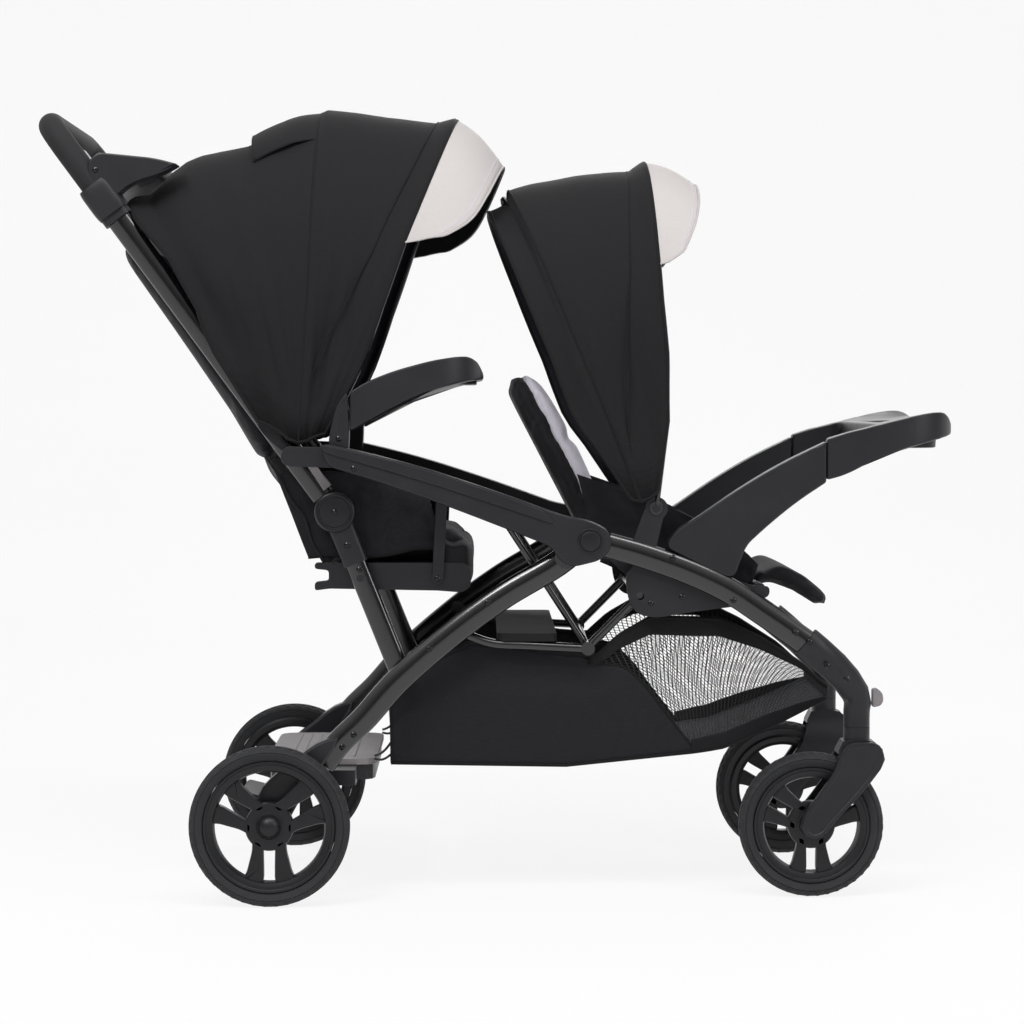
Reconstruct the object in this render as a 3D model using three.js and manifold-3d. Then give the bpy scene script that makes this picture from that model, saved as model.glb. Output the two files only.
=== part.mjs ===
// Sit-and-stand double stroller, in millimetres.
// +X points forward, +Z points up, the floor is z = 0 and the stroller is symmetric about y = 0.
// Side pieces are drawn on the right (negative Y) side and mirrored to the left.
import * as THREE from 'three';
import * as BufferGeometryUtils from 'three/addons/utils/BufferGeometryUtils.js';
import Module from 'manifold-3d';

const wasm = await Module();
wasm.setup();

// Fits shared by the whole frame
const FIT = 0.3;
const RUN = 0.5;
const OVERRUN = 4;
const BLEND = 1;
const SAG = 0.14;

// Pivots of the folding frame, seen from the side
const HUB_X = 118;
const HUB_Z = 472;
const KNUCKLE_X = -213;
const KNUCKLE_Z = 508;
const RAIL_END_X = -268;
const RAIL_END_Z = 581;
const STRUT_FOOT_X = -127;
const STRUT_FOOT_Z = 294;
const BASKET_REAR_X = -57;
const BASKET_REAR_Z = 354;
const BASKET_CORNER_X = 117;
const BASKET_CORNER_Z = 329;
const BASKET_FRONT_X = 185;
const BASKET_FRONT_Z = 398;
const STAY_TOP_X = 6;
const STAY_TOP_Z = 500;
const SEAT_PIVOT_X = -180;
const SEAT_PIVOT_Z = 421.5;
const HANGER_FOOT_X = -79.5;
const HANGER_FOOT_Z = 420;
const HANGER_TOP_X = -74;
const HANGER_TOP_Z = 527;

// Leg tubes
const LEG_MID = 218;
const TUBE_WIDE = 19;
const TUBE_DEEP = 34;
const LEG_START = 25;
const LEG_FOOT_X = -229;
const LEG_FOOT_Z = 180;
const REAR_LEG_BOW = 21;
const ELBOW_X = 415;
const ELBOW_Z = 326;
const FRONT_LEG_BOW = 21;
const EYE_R = 20;
const SPACER_R = 15;
const PIN_R = 7;
const RIVET_R = 5;
const HEAD_R = 7.5;
const HEAD_TALL = 2.2;

// Side rails
const RAIL_GAP = 4.5;
const RAIL_WIDE = 26;
const RAIL_DEEP = 40;
const RAIL_EDGE = 4;
const RAIL_ROUND = 26;
const TONGUE_WIDE = 6;
const TONGUE_R = 13;
const HUB_BUTTON_R = 13;
const HUB_BUTTON_TALL = 1.5;
const BOSS_R = 8;

// Lower struts, knuckle and handle
const STRUT_GAP = 2.5;
const STRUT_WIDE = 18;
const STRUT_DEEP = 28;
const KNUCKLE_R = 27;
const KNUCKLE_WIDE = 30;
const KNUCKLE_SET = 2;
const KNUCKLE_START = 33;
const COLLAR_LONG = 42;
const COLLAR_GROW = 3;
const HANDLE_TOP_X = -585;
const HANDLE_TOP_Z = 1013;
const HANDLE_DEEP = 32;
const HANDLE_CORNER = 48;
const GRIP_R = 17;
const LATCH_THICK = 3;
const LATCH_WIDE = 15;
const LATCH_START = 2;
const LATCH_LONG = 48;

// Rear wheels, axle and brackets
const REAR_R = 104;
const REAR_AXLE_X = -296;
const REAR_WIDE = 32;
const REAR_GAP = 2;
const AXLE_R = 8;
const BRACKET_IN = 204;
const BRACKET_OUT = 236;
const BRACKET_LOW = 31;
const BRACKET_TALL = 143;
const BRACKET_EDGE = 3;
const BRACKET_LONG = 114;
const BRACKET_BACK = 26;
const PEDAL_HALF = 62;
const PEDAL_SLEEVE = 5;
const PEDAL_REACH = 44;
const PEDAL_THICK = 7;

// Front wheels, forks and elbows
const FRONT_R = 95;
const CASTER_X = 472;
const CASTER_Y = 180;
const TRAIL = 60;
const FRONT_WIDE = 38;
const FORK_GAP = 2.5;
const BLADE_THICK = 8;
const FORK_EDGE = 2;
const FORK_X = 397;
const FORK_Z = 78;
const FORK_LONG = 110;
const FORK_TALL = 128;
const TYRE_CLEAR = 6;
const FRONT_BOLT_R = 4.5;
const STEM_R = 6;
const STEM_TALL = 38;
const COLLAR_R = 17.5;
const COLLAR_LOW_Z = 200;
const ELBOW_LOW_Z = 224;
const ELBOW_TURN_Z = 262;
const ELBOW_WIDE = 28;
const ELBOW_DEEP = 43;
const SOCKET_DEEP = 26;
const LOCK_WIDE = 12;
const LOCK_TALL = 26;
const LOCK_OUT = 2.45;
const LOCK_LONG = 15;
const LOCK_ROUND = 4;
const LOCK_MID_Z = 262;

// Wheel sections
const TYRE_BAND = 18;
const RIM_LIP = 7;
const RIM_HUB_R = 21;
const RIM_LAP = 2;
const RIM_HUB_EDGE = 3;
const SPOKE_WIDE = 13;
const SLOT_WIDE = 10;
const CAP_R = 15;
const CAP_TALL = 9;
const WHEEL_SIDES = 26;

// Standing platform
const DECK_LONG = 146;
const DECK_FRONT_X = -161;
const DECK_HALF = 150;
const DECK_TOP_Z = 178;
const DECK_THICK = 8;
const DECK_ROUND = 26;
const PAN_DEEP = 20;
const PAN_FOOT_LONG = 78;
const RIB_WIDE = 3;
const RIB_TALL = 1.2;
const RIB_PITCH = 14;

// Front seat
const SIDE_PLATE_THICK = 6;
const PLATE_X = 165;
const PLATE_Z = 369;
const PLATE_LONG = 150;
const PLATE_TALL = 68;
const PLATE_ROUND = 12;
const SLEEVE_ROOM = 2;
const EAR_ROUND = 4;
const EAR_GAP = 6;
const SEAT_PAN_THICK = 6;
const SEAT_PAN_Z = 396;
const SEAT_TUBE_R = 9;
const FOOT_HINGE_X = 341;
const FOOT_HINGE_Z = 406;
const CUSHION_THICK = 30;
const CUSHION_GAP = 0.3;
const FRONT_CUSHION_LONG = 120;
const FRONT_CUSHION_X = 197;
const FRONT_CUSHION_SET = 6;
const FRONT_CUSHION_HALF = 160;
const RECLINE_X = 150;
const RECLINE_Z = 448;
const BACK_LEAN = 117.5;
const BACK_TALL = 258;
const BACK_HALF = 152;
const BACK_THICK = 30;
const BACK_BOARD = 5;
const BACK_HINGE_R = 9;
const BACK_PIN_DEEP = 12;
const BOARD_IN = 14;
const BARREL_IN = 2;
const FOOTREST_HALF = 150;
const FOOTREST_LONG = 108;
const FOOTREST_TALL = 51;
const FOOTREST_SLEEVE = 5;
const FOOTREST_FORE = 4;
const FOOTREST_DROP = 24;
const FOOTREST_EDGE = 4;

// Arm panels and front tray
const ARM_IN = 196;
const ARM_OUT = 224;
const ARM_X = 216;
const ARM_Z = 421;
const ARM_LONG = 210;
const ARM_EDGE = 3;
const TRAY_SEAM_X = 426;
const TRAY_X = 427;
const TRAY_Z = 545;
const TRAY_LONG = 173;
const TRAY_TALL = 94;
const TRAY_BAR = 104;
const TRAY_CORNER = 96;
const TRAY_STUB = 26;
const STUB_TALL = 22;
const STUB_WIDE = 12;
const CUP_R = 36;
const CUP_WALL = 3;
const CUP_Y = 112;
const CUP_LOW_Z = 590;
const SNACK_DEEP = 9;
const SNACK_HALF = 58;

// Rear tray
const REAR_TRAY_IN = 218;
const REAR_TRAY_OUT = 242;
const REAR_TRAY_X = -192;
const REAR_TRAY_Z = 613;
const REAR_TRAY_LONG = 173;
const REAR_TRAY_TALL = 97;
const REAR_TRAY_BAR = 92;
const REAR_TRAY_CORNER = 88;
const REAR_CUP_LOW_Z = 652;
const TRAY_POST_LONG = 30;
const TRAY_POST_TALL = 78;
const TRAY_POST_X = -222;
const TRAY_POST_Z = 586;
const POST_ROUND = 3;

// Parent tray on the handle
const PARENT_SHARE = 0.815;
const PARENT_BLOCK_LONG = 62;
const PARENT_BLOCK_DEEP = 42;
const PARENT_WALL = 5;
const PARENT_LONG = 84;
const PARENT_HALF = 176;
const PARENT_DEEP = 48;
const PARENT_TOP_Z = 979;
const PARENT_FRONT_X = -444;
const PARENT_CUP_R = 34;
const PARENT_CUP_Y = 112;
const TRIGGER_LONG = 70;
const TRIGGER_WIDE = 14;
const TRIGGER_THICK = 10;
const TRIGGER_GAP = 4;
const TRIGGER_STEM_R = 3;
const TRIGGER_STEM_Y = 22;
const TRIGGER_STEM_IN = 12;
const BLOCK_ROUND = 8;
const BLOCK_EDGE = 2;
const TRAY_ARM_BACK = 6;
const TRAY_ARM_LAP = 8;
const BOWL_ROUND = 24;
const TROUGH_ROUND = 14;

// Rear seat
const SEAT_BAR_THICK = 15;
const SEAT_BAR_X = -241;
const SEAT_BAR_Z = 401;
const SEAT_BAR_LONG = 205;
const SEAT_BAR_TALL = 39;
const SEAT_CROSS_R = 7;
const SEAT_BAR_ROUND = 4;
const SEAT_BOARD_THICK = 4;
const REAR_CUSHION_LONG = 188;
const REAR_CUSHION_X = -222;
const REAR_CUSHION_ROOM = 7;
const REAR_CUSHION_THICK = 36;
const HANGER_THICK = 5;
const HANGER_GAP = 1.5;
const HANGER_ROOM = 1.5;
const HANGER_DEEP = 15;
const REAR_BACK_THICK = 26;
const REAR_BACK_LOW_SHARE = 0.16;
const REAR_BACK_HIGH_SHARE = 0.74;
const REAR_BACK_SAG = 20;

// Basket, its tubes and the bench
const BASKET_TUBE_R = 6;
const BASKET_REAR_MID = 200.5;
const BASKET_FRONT_MID = 187.5;
const STAY_MID = 175;
const STAY_R = 5;
const BASKET_EYE_R = 9;
const BASKET_DROP = 12;
const BASKET_X = -145;
const BASKET_Z = 170;
const BASKET_LONG = 586;
const BASKET_TALL = 212;
const BASKET_TOP_HALF = 187;
const BASKET_LOW_HALF = 166;
const BASKET_NOSE_HALF = 138;
const BASKET_WALL = 3;
const BENCH_X = -2;
const BENCH_LONG = 78;
const BENCH_Z = 338.5;
const BENCH_THICK = 11;
const BENCH_ROUND = 10;
const FLOOR_BACK_SHARE = 0.034;
const FLOOR_FRONT_SHARE = 0.498;
const FLOOR_UP_SHARE = 0.0444;
const FLOOR_ROOM = 10;
const FLOOR_THICK = 4;
const RIM_GAP = 0.3;

// Canopies
const BOW_R = 3.5;
const BOW_SINK = 0.9;
const BOW_EYE_R = 10;
const BOW_STRAP = 70;
const BOW_STRAP_WIDE = 16;
const BOW_PLATE = 3;
const BOW_POWER = 2.9;
const FABRIC_THICK = 2.4;
const FABRIC_CLEAR = 1.2;
const REAR_CANOPY_X = -258;
const REAR_CANOPY_Z = 606;
const REAR_CANOPY_R = 430;
const REAR_CANOPY_LOW = 34;
const REAR_MIDDLE_DEG = 88;
const REAR_FRONT_DEG = 67;
const REAR_EDGE_DEG = 63;
const REAR_SIDE_DEG = 130;
const REAR_TOP_DEG = 111;
const MOUNT_THICK = 5.7;
const FRONT_CANOPY_X = 205;
const FRONT_CANOPY_Z = 513;
const FRONT_CANOPY_R = 448;
const FRONT_CANOPY_LOW = 30;
const FRONT_REAR_DEG = 115.5;
const FRONT_BOW_DEG = 90.5;
const FRONT_EDGE_DEG = 88.5;
const FRONT_HEM_DEG = 118.5;
const CLIP_IN = 209;
const CLIP_OUT = 222;
const CLIP_WIDE = 36;
const CLIP_DISC_R = 15;
const CLIP_ROUND = 4;
const VISOR_LONG = 88;
const VISOR_SPAN_SHARE = 0.62;
const REAR_VISOR_DROP_DEG = 22;
const FRONT_VISOR_DROP_DEG = 30;

// Places worked out from the sizes above
const legOut = LEG_MID + TUBE_WIDE / 2;
const legIn = LEG_MID - TUBE_WIDE / 2;
const railIn = legOut + RAIL_GAP;
const railOut = railIn + RAIL_WIDE;
const strutOut = legIn - STRUT_GAP;
const strutIn = strutOut - STRUT_WIDE;
const strutMid = (strutIn + strutOut) / 2;
const plateOut = legIn - FIT;
const plateIn = plateOut - SIDE_PLATE_THICK;
const knuckleIn = strutMid - KNUCKLE_WIDE / 2 + KNUCKLE_SET;
const knuckleOut = knuckleIn + KNUCKLE_WIDE;
const hangerOut = strutIn - HANGER_ROOM;
const hangerIn = hangerOut - HANGER_THICK;
const seatBarOut = hangerIn - HANGER_GAP;
const seatBarIn = seatBarOut - SEAT_BAR_THICK;
const rearCushionHalf = seatBarIn - REAR_CUSHION_ROOM;
const rearIn = BRACKET_OUT + REAR_GAP;
const rearOut = rearIn + REAR_WIDE;
const axleX = CASTER_X - TRAIL;
const armTall = TRAY_Z + TRAY_TALL * 0.585 - ARM_Z;
const deg = THREE.MathUtils.degToRad;

const hub = new THREE.Vector2(HUB_X, HUB_Z);
const knuckle = new THREE.Vector2(KNUCKLE_X, KNUCKLE_Z);
const railEnd = new THREE.Vector2(RAIL_END_X, RAIL_END_Z);
const strutFoot = new THREE.Vector2(STRUT_FOOT_X, STRUT_FOOT_Z);
const legFoot = new THREE.Vector2(LEG_FOOT_X, LEG_FOOT_Z);
const elbow = new THREE.Vector2(ELBOW_X, ELBOW_Z);
const handleTop = new THREE.Vector2(HANDLE_TOP_X, HANDLE_TOP_Z);
const seatPivot = new THREE.Vector2(SEAT_PIVOT_X, SEAT_PIVOT_Z);
const hangerTop = new THREE.Vector2(HANGER_TOP_X, HANGER_TOP_Z);
const hangerFoot = new THREE.Vector2(HANGER_FOOT_X, HANGER_FOOT_Z);
const stayTop = new THREE.Vector2(STAY_TOP_X, STAY_TOP_Z);
const basketRear = new THREE.Vector2(BASKET_REAR_X, BASKET_REAR_Z);
const basketCorner = new THREE.Vector2(BASKET_CORNER_X, BASKET_CORNER_Z);
const basketFront = new THREE.Vector2(BASKET_FRONT_X, BASKET_FRONT_Z);

// Materials
const finish = (color, roughness, metalness = 0) =>
  new THREE.MeshStandardMaterial({ color, roughness, metalness });
const paint = finish(0x141416, 0.28, 0.5);
const plastic = finish(0x3a3a3e, 0.6);
const fabric = finish(0x2b2a2e, 0.95);
const cream = finish(0xe0d9d7, 0.9);
const grey = finish(0x8a8587, 0.7);
const rubber = finish(0x2e2e31, 0.9);
const foam = finish(0x242427, 0.95);
const steel = finish(0x8e9094, 0.4, 0.9);

// A point between two anchors: a share of the way along, and a distance to the left of the way
function between(from, to, along, aside = 0) {
  const way = to.clone().sub(from);
  const left = new THREE.Vector2(-way.y, way.x).normalize();
  return from.clone().addScaledVector(way, along).addScaledVector(left, aside);
}

// A table of shares laid out between two anchors, its second column a share of the depth
function alongShares(from, to, deep, shares) {
  return shares.map(([along, aside]) => between(from, to, along, aside * deep));
}

// A table of shares laid out in a box that starts at its low corner
function boxShares(x, z, long, tall, shares) {
  return shares.map(([u, v]) => new THREE.Vector2(x + u * long, z + v * tall));
}

// The same mesh without its normals and uvs, its shared vertices merged and its faces pointing out
function closed(geometry) {
  const bare = geometry.clone();
  bare.deleteAttribute('normal');
  bare.deleteAttribute('uv');
  const merged = BufferGeometryUtils.mergeVertices(bare, 1e-4);
  const index = Array.from(merged.index.array);
  const place = merged.attributes.position;
  const corner = new THREE.Vector3();
  const next = new THREE.Vector3();
  const last = new THREE.Vector3();
  const kept = [];
  let volume = 0;
  for (let i = 0; i < index.length; i += 3) {
    const [a, b, c] = index.slice(i, i + 3);
    if (a === b || b === c || c === a) continue;
    kept.push(a, b, c);
    corner.fromBufferAttribute(place, a);
    next.fromBufferAttribute(place, b);
    last.fromBufferAttribute(place, c);
    volume += corner.dot(next.cross(last));
  }
  if (volume < 0) {
    for (let i = 0; i < kept.length; i += 3) {
      [kept[i + 1], kept[i + 2]] = [kept[i + 2], kept[i + 1]];
    }
  }
  merged.setIndex(kept);
  return merged;
}

function toSolid(geometry) {
  const shell = closed(geometry);
  return new wasm.Manifold(new wasm.Mesh({
    numProp: 3,
    vertProperties: new Float32Array(shell.attributes.position.array),
    triVerts: new Uint32Array(shell.index.array),
  }));
}

function toGeometry(solid) {
  const found = solid.asOriginal().simplify(SAG).getMesh();
  const geometry = new THREE.BufferGeometry();
  geometry.setAttribute('position', new THREE.BufferAttribute(new Float32Array(found.vertProperties), 3));
  geometry.setIndex(Array.from(found.triVerts));
  return geometry;
}

const join = (...pieces) => toGeometry(pieces.map(toSolid).reduce((a, b) => a.add(b)));
const cut = (piece, ...tools) => {
  const solids = tools.map(toSolid);
  return toGeometry(solids.reduce((a, b) => a.subtract(b), toSolid(piece)));
};
const meet = (...pieces) => toGeometry(pieces.map(toSolid).reduce((a, b) => a.intersect(b)));

// A plate drawn in the side view, between two distances out from the middle on the right side
function plate(outline, from, to, edge = 0, segments = 3) {
  const shape = outline instanceof THREE.Shape ? outline : new THREE.Shape(outline);
  const geometry = new THREE.ExtrudeGeometry(shape, {
    depth: to - from - 2 * edge,
    bevelEnabled: edge > 0,
    bevelThickness: edge,
    bevelSize: edge,
    bevelOffset: -edge,
    bevelSegments: 1,
    curveSegments: segments,
  });
  geometry.rotateX(Math.PI / 2);
  geometry.translate(0, -from - edge, 0);
  return geometry;
}

// A smooth closed outline through the given points
function smooth(points, count = 40) {
  const raised = points.map((p) => new THREE.Vector3(p.x, p.y, 0));
  const curve = new THREE.CatmullRomCurve3(raised, true, 'centripetal');
  return new THREE.Shape(curve.getSpacedPoints(count).slice(0, -1).map((p) => new THREE.Vector2(p.x, p.y)));
}

// An outline with every corner rounded
function rounded(points, radius) {
  const shape = new THREE.Shape();
  points.forEach((corner, i) => {
    const before = points[(i + points.length - 1) % points.length];
    const after = points[(i + 1) % points.length];
    const back = before.clone().sub(corner);
    const forth = after.clone().sub(corner);
    const reach = Math.min(radius, back.length() / 2.1, forth.length() / 2.1);
    const start = corner.clone().addScaledVector(back.normalize(), reach);
    const end = corner.clone().addScaledVector(forth.normalize(), reach);
    if (i === 0) shape.moveTo(start.x, start.y);
    else shape.lineTo(start.x, start.y);
    shape.quadraticCurveTo(corner.x, corner.y, end.x, end.y);
  });
  shape.closePath();
  return shape;
}

// A round bar along Y on the right side
function pin(at, radius, from, to, sides = 10) {
  const geometry = new THREE.CylinderGeometry(radius, radius, to - from, sides);
  geometry.translate(at.x, -(from + to) / 2, at.y);
  return geometry;
}

// A bore along Y, its flats standing off the pin
function hole(at, radius, from, to, sides = 10) {
  return pin(at, radius / Math.cos(Math.PI / sides), from, to, sides);
}

// A flat link with round ends
function link(from, to, wide, inner, outer) {
  const way = to.clone().sub(from).angle();
  const shape = new THREE.Shape();
  shape.absarc(from.x, from.y, wide / 2, way + Math.PI / 2, way + Math.PI * 1.5, false);
  shape.absarc(to.x, to.y, wide / 2, way - Math.PI / 2, way + Math.PI / 2, false);
  shape.closePath();
  return plate(shape, inner, outer, 0, 3);
}

// A curve in a plane of constant Y, whose section keeps its width along Y
class SideCurve extends THREE.CatmullRomCurve3 {
  constructor(points, y) {
    super(points.map((p) => new THREE.Vector3(p.x, y, p.y)), false, 'centripetal');
  }

  computeFrenetFrames(steps) {
    const tangents = [];
    const normals = [];
    const binormals = [];
    for (let i = 0; i <= steps; i += 1) {
      const tangent = this.getTangentAt(i / steps);
      tangents.push(tangent);
      normals.push(new THREE.Vector3(0, 1, 0));
      binormals.push(new THREE.Vector3(-tangent.z, 0, tangent.x));
    }
    return { tangents, normals, binormals };
  }
}

// A flat-sided oval bar along a side curve
function ovalBar(points, mid, wide, deep, steps = 10, grow = 0) {
  const section = new THREE.Shape();
  section.absellipse(0, 0, wide / 2 + grow, deep / 2 + grow, 0, Math.PI * 2);
  return new THREE.ExtrudeGeometry(section, {
    extrudePath: new SideCurve(points, -mid),
    steps,
    curveSegments: 5,
    bevelEnabled: false,
  });
}

// A round bar along any curve
function roundBar(curve, radius, steps = 24, sides = 6) {
  const section = new THREE.Shape();
  section.absellipse(0, 0, radius, radius, 0, Math.PI * 2);
  return new THREE.ExtrudeGeometry(section, {
    extrudePath: curve,
    steps,
    curveSegments: sides / 2,
    bevelEnabled: false,
  });
}

// A closed skin over rings of equal size, each ring a list of points
function skin(rings) {
  const count = rings[0].length;
  const points = rings.flat();
  const faces = [];
  for (let r = 0; r < rings.length - 1; r += 1) {
    for (let i = 0; i < count; i += 1) {
      const j = (i + 1) % count;
      const a = r * count + i;
      const b = r * count + j;
      const c = a + count;
      const d = b + count;
      faces.push(a, b, d, a, d, c);
    }
  }
  const addCap = (ring, turned) => {
    const middle = ring.reduce((sum, p) => sum.add(p), new THREE.Vector3()).divideScalar(count);
    const at = points.push(middle) - 1;
    const start = turned ? 0 : (rings.length - 1) * count;
    for (let i = 0; i < count; i += 1) {
      const j = (i + 1) % count;
      if (turned) faces.push(at, start + j, start + i);
      else faces.push(at, start + i, start + j);
    }
  };
  addCap(rings[0], true);
  addCap(rings[rings.length - 1], false);
  const geometry = new THREE.BufferGeometry().setFromPoints(points);
  geometry.setIndex(faces);
  return geometry;
}

// A thin closed sheet between an outer and an inner grid of points
function sheet(outer, inner) {
  const rows = outer.length;
  const columns = outer[0].length;
  const points = [...outer.flat(), ...inner.flat()];
  const back = rows * columns;
  const at = (r, c) => r * columns + c;
  const faces = [];
  for (let r = 0; r < rows - 1; r += 1) {
    for (let c = 0; c < columns - 1; c += 1) {
      const [a, b, d, e] = [at(r, c), at(r, c + 1), at(r + 1, c), at(r + 1, c + 1)];
      faces.push(a, b, e, a, e, d);
      faces.push(back + a, back + e, back + b, back + a, back + d, back + e);
    }
  }
  const edge = [];
  for (let c = 0; c < columns - 1; c += 1) edge.push([at(0, c), at(0, c + 1)]);
  for (let r = 0; r < rows - 1; r += 1) edge.push([at(r, columns - 1), at(r + 1, columns - 1)]);
  for (let c = columns - 1; c > 0; c -= 1) edge.push([at(rows - 1, c), at(rows - 1, c - 1)]);
  for (let r = rows - 1; r > 0; r -= 1) edge.push([at(r, 0), at(r - 1, 0)]);
  edge.forEach(([a, b]) => faces.push(b, a, back + a, b, back + a, back + b));
  const geometry = new THREE.BufferGeometry().setFromPoints(points);
  geometry.setIndex(faces);
  return geometry;
}

// A solid of revolution about the Y axis through a point, its profile given as [radius, distance out]
function turned(at, profile, sides = WHEEL_SIDES) {
  const geometry = new THREE.LatheGeometry(profile.map(([r, out]) => new THREE.Vector2(r, -out)), sides);
  geometry.translate(at.x, 0, at.y);
  return geometry;
}

// A crowned pad of length, half width and thickness, with its back low corner at the origin
function pad(long, half, thick, channels, pull = 0.035) {
  const levelShares = [
    [0.9, 0], [1, 0.25], [1.012, 0.5], [0.96, 0.8], [0.8, 1], [0.4, 1.08],
  ];
  const sides = 22;
  const rings = levelShares.map(([size, level]) => {
    const ring = [];
    for (let i = 0; i < sides; i += 1) {
      const turn = (i / sides) * Math.PI * 2;
      const u = Math.sign(Math.cos(turn)) * Math.abs(Math.cos(turn)) ** 0.42;
      const v = Math.sign(Math.sin(turn)) * Math.abs(Math.sin(turn)) ** 0.42;
      const drawnU = u * (1 - pull * (1 - v * v));
      const drawnV = v * (1 - pull * (1 - u * u));
      const x = (0.5 + 0.5 * drawnU * size) * long;
      const y = drawnV * size * half;
      const dip = level > 0.9 ? 0.1 * Math.cos((x / long) * Math.PI * 2 * channels) : 0;
      ring.push(new THREE.Vector3(x, y, (level - dip * 0.6) * thick));
    }
    return ring;
  });
  return skin(rings);
}

// Half of a hoop in the plane through a pivot, as radius and width shares
function hoopShare(turn, power = BOW_POWER) {
  const up = Math.abs(Math.sin(turn)) ** (2 / power);
  const out = Math.sign(Math.cos(turn)) * Math.abs(Math.cos(turn)) ** (2 / power);
  return [up, out];
}

function hoopPoint(centre, angle, radius, half, turn) {
  const [up, out] = hoopShare(turn);
  return new THREE.Vector3(
    centre.x + radius * up * Math.cos(angle),
    -half * out,
    centre.y + radius * up * Math.sin(angle),
  );
}

// A canopy bow: a round hoop whose two feet are flat straps with an eye round the pivot
function bow(centre, degrees, radius, half, plateIn) {
  const angle = deg(degrees);
  const startTurn = 0.06;
  const count = 22;
  const points = [];
  for (let i = 0; i <= count; i += 1) {
    const turn = startTurn + (Math.PI - 2 * startTurn) * (i / count);
    points.push(hoopPoint(centre, angle, radius, half, turn));
  }
  const hoop = roundBar(new THREE.CatmullRomCurve3(points, false, 'centripetal'), BOW_R, 20, 6);
  const way = new THREE.Vector2(Math.cos(angle), Math.sin(angle));
  const end = centre.clone().addScaledVector(way, BOW_STRAP);
  const foot = cut(
    link(centre, end, BOW_STRAP_WIDE, plateIn, plateIn + BOW_PLATE),
    hole(centre, RIVET_R + FIT, plateIn - OVERRUN, plateIn + BOW_PLATE + OVERRUN, 10),
  );
  return { hoop, foot };
}

// The right-hand foot copied to the left side
function mirrored(geometry) {
  const copy = geometry.clone();
  copy.scale(1, -1, 1);
  return closed(copy);
}

// Fabric over a pivot from one angle to another, its radius given by shares of the full radius
function canopy(centre, fullRadius, half, low, fromDeg, toDeg, radiusAt, stops, rows = 24) {
  const grid = (inset) => {
    const table = [];
    for (const stop of stops) {
      const line = [];
      for (let r = 0; r <= rows; r += 1) {
        const turn = Math.PI * (r / rows);
        const side = Math.abs(Math.cos(turn)) ** 1.5;
        const last = toDeg(side);
        const angle = fromDeg + (last - fromDeg) * stop;
        const radius = fullRadius * radiusAt(angle);
        const [up, out] = hoopShare(turn);
        const reach = low + (radius - low) * up - inset * up;
        const spread = (half - inset) * out;
        line.push(new THREE.Vector3(
          centre.x + reach * Math.cos(deg(angle)),
          -spread,
          centre.y + reach * Math.sin(deg(angle)),
        ));
      }
      table.push(line);
    }
    return table;
  };
  return sheet(grid(0), grid(FABRIC_THICK));
}

// A value read off a table of [place, value] shares
function readShare(shares, place) {
  const last = shares[shares.length - 1];
  if (place <= shares[0][0]) return shares[0][1];
  if (place >= last[0]) return last[1];
  const next = shares.findIndex(([at]) => at > place);
  const [a, va] = shares[next - 1];
  const [b, vb] = shares[next];
  const t = (place - a) / (b - a);
  return va + (vb - va) * t * t * (3 - 2 * t);
}

// Scene graph
const stroller = new THREE.Group();
const bodies = {};
function bodyGroup(name) {
  bodies[name] = new THREE.Group();
  stroller.add(bodies[name]);
}
const groupNames = [
  'rear_frame', 'front_frame', 'rails', 'struts', 'handle', 'rear_seat', 'basket', 'casters', 'wheels', 'canopies',
];
groupNames.forEach(bodyGroup);

function add(body, name, geometry, material) {
  const piece = new THREE.Mesh(closed(toGeometry(toSolid(geometry))), material);
  piece.name = name;
  bodies[body].add(piece);
  return piece;
}

function addPair(body, name, geometry, material) {
  add(body, `${name}_right`, geometry, material);
  const left = add(body, `${name}_left`, geometry, material);
  left.scale.y = -1;
}

// Rear legs
const rearLegShares = [
  [0.133, -0.18], [0.292, -0.75], [0.465, -1.02], [0.67, -0.97], [0.825, -0.5], [0.923, -0.35], [1, 0],
];
const rearLegLine = alongShares(hub, legFoot, REAR_LEG_BOW, rearLegShares);
const rearLegStart = between(hub, rearLegLine[0], LEG_START / hub.distanceTo(rearLegLine[0]));
const rearLegPath = [rearLegStart, ...rearLegLine];

function rearLeg() {
  const bar = ovalBar(rearLegPath, LEG_MID, TUBE_WIDE, TUBE_DEEP, 7);
  const half = LEG_MID + FIT / 2;
  const tab = link(hub, between(hub, rearLegStart, 1.5), EYE_R * 1.5, half, legOut);
  const disc = pin(hub, EYE_R, half, legOut, 14);
  const spacer = pin(hub, SPACER_R, legOut - BLEND, railIn - FIT, 24);
  return cut(
    join(bar, tab, disc, spacer),
    hole(hub, PIN_R + FIT, half - OVERRUN, railIn + OVERRUN, 10),
    hole(strutFoot, RIVET_R + FIT, legIn - OVERRUN, legOut + OVERRUN, 10),
    hole(basketRear, RIVET_R + FIT, legIn - OVERRUN, legOut + OVERRUN, 10),
  );
}
addPair('rear_frame', 'rear_leg', rearLeg(), paint);

// Wheel brackets with the brake housing, clamped on the leg's foot and the axle
const rearHub = new THREE.Vector2(REAR_AXLE_X, REAR_R);
const bracketShares = [
  [1, 1], [0.795, 0.709], [0.568, 0.436], [0.432, 0.236], [0.352, 0.055], [0.2, 0],
  [0.03, 0.1], [0.034, 0.327], [0.136, 0.545], [0.284, 0.664], [0.568, 0.836], [0.727, 0.936],
];

// The room for a leg tube and for its foot
function barRoom(path) {
  const foot = path[path.length - 1];
  const before = path[path.length - 2];
  const way = foot.distanceTo(before);
  const ends = [between(before, foot, 1 - TUBE_WIDE / way), between(before, foot, 1 + (2 * FIT) / way)];
  return [
    ovalBar(path, LEG_MID, TUBE_WIDE, TUBE_DEEP, 7, FIT),
    ovalBar([ends[0], between(ends[0], ends[1], 0.5), ends[1]], LEG_MID, TUBE_WIDE, TUBE_DEEP, 1, 2 * FIT),
  ];
}

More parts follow.
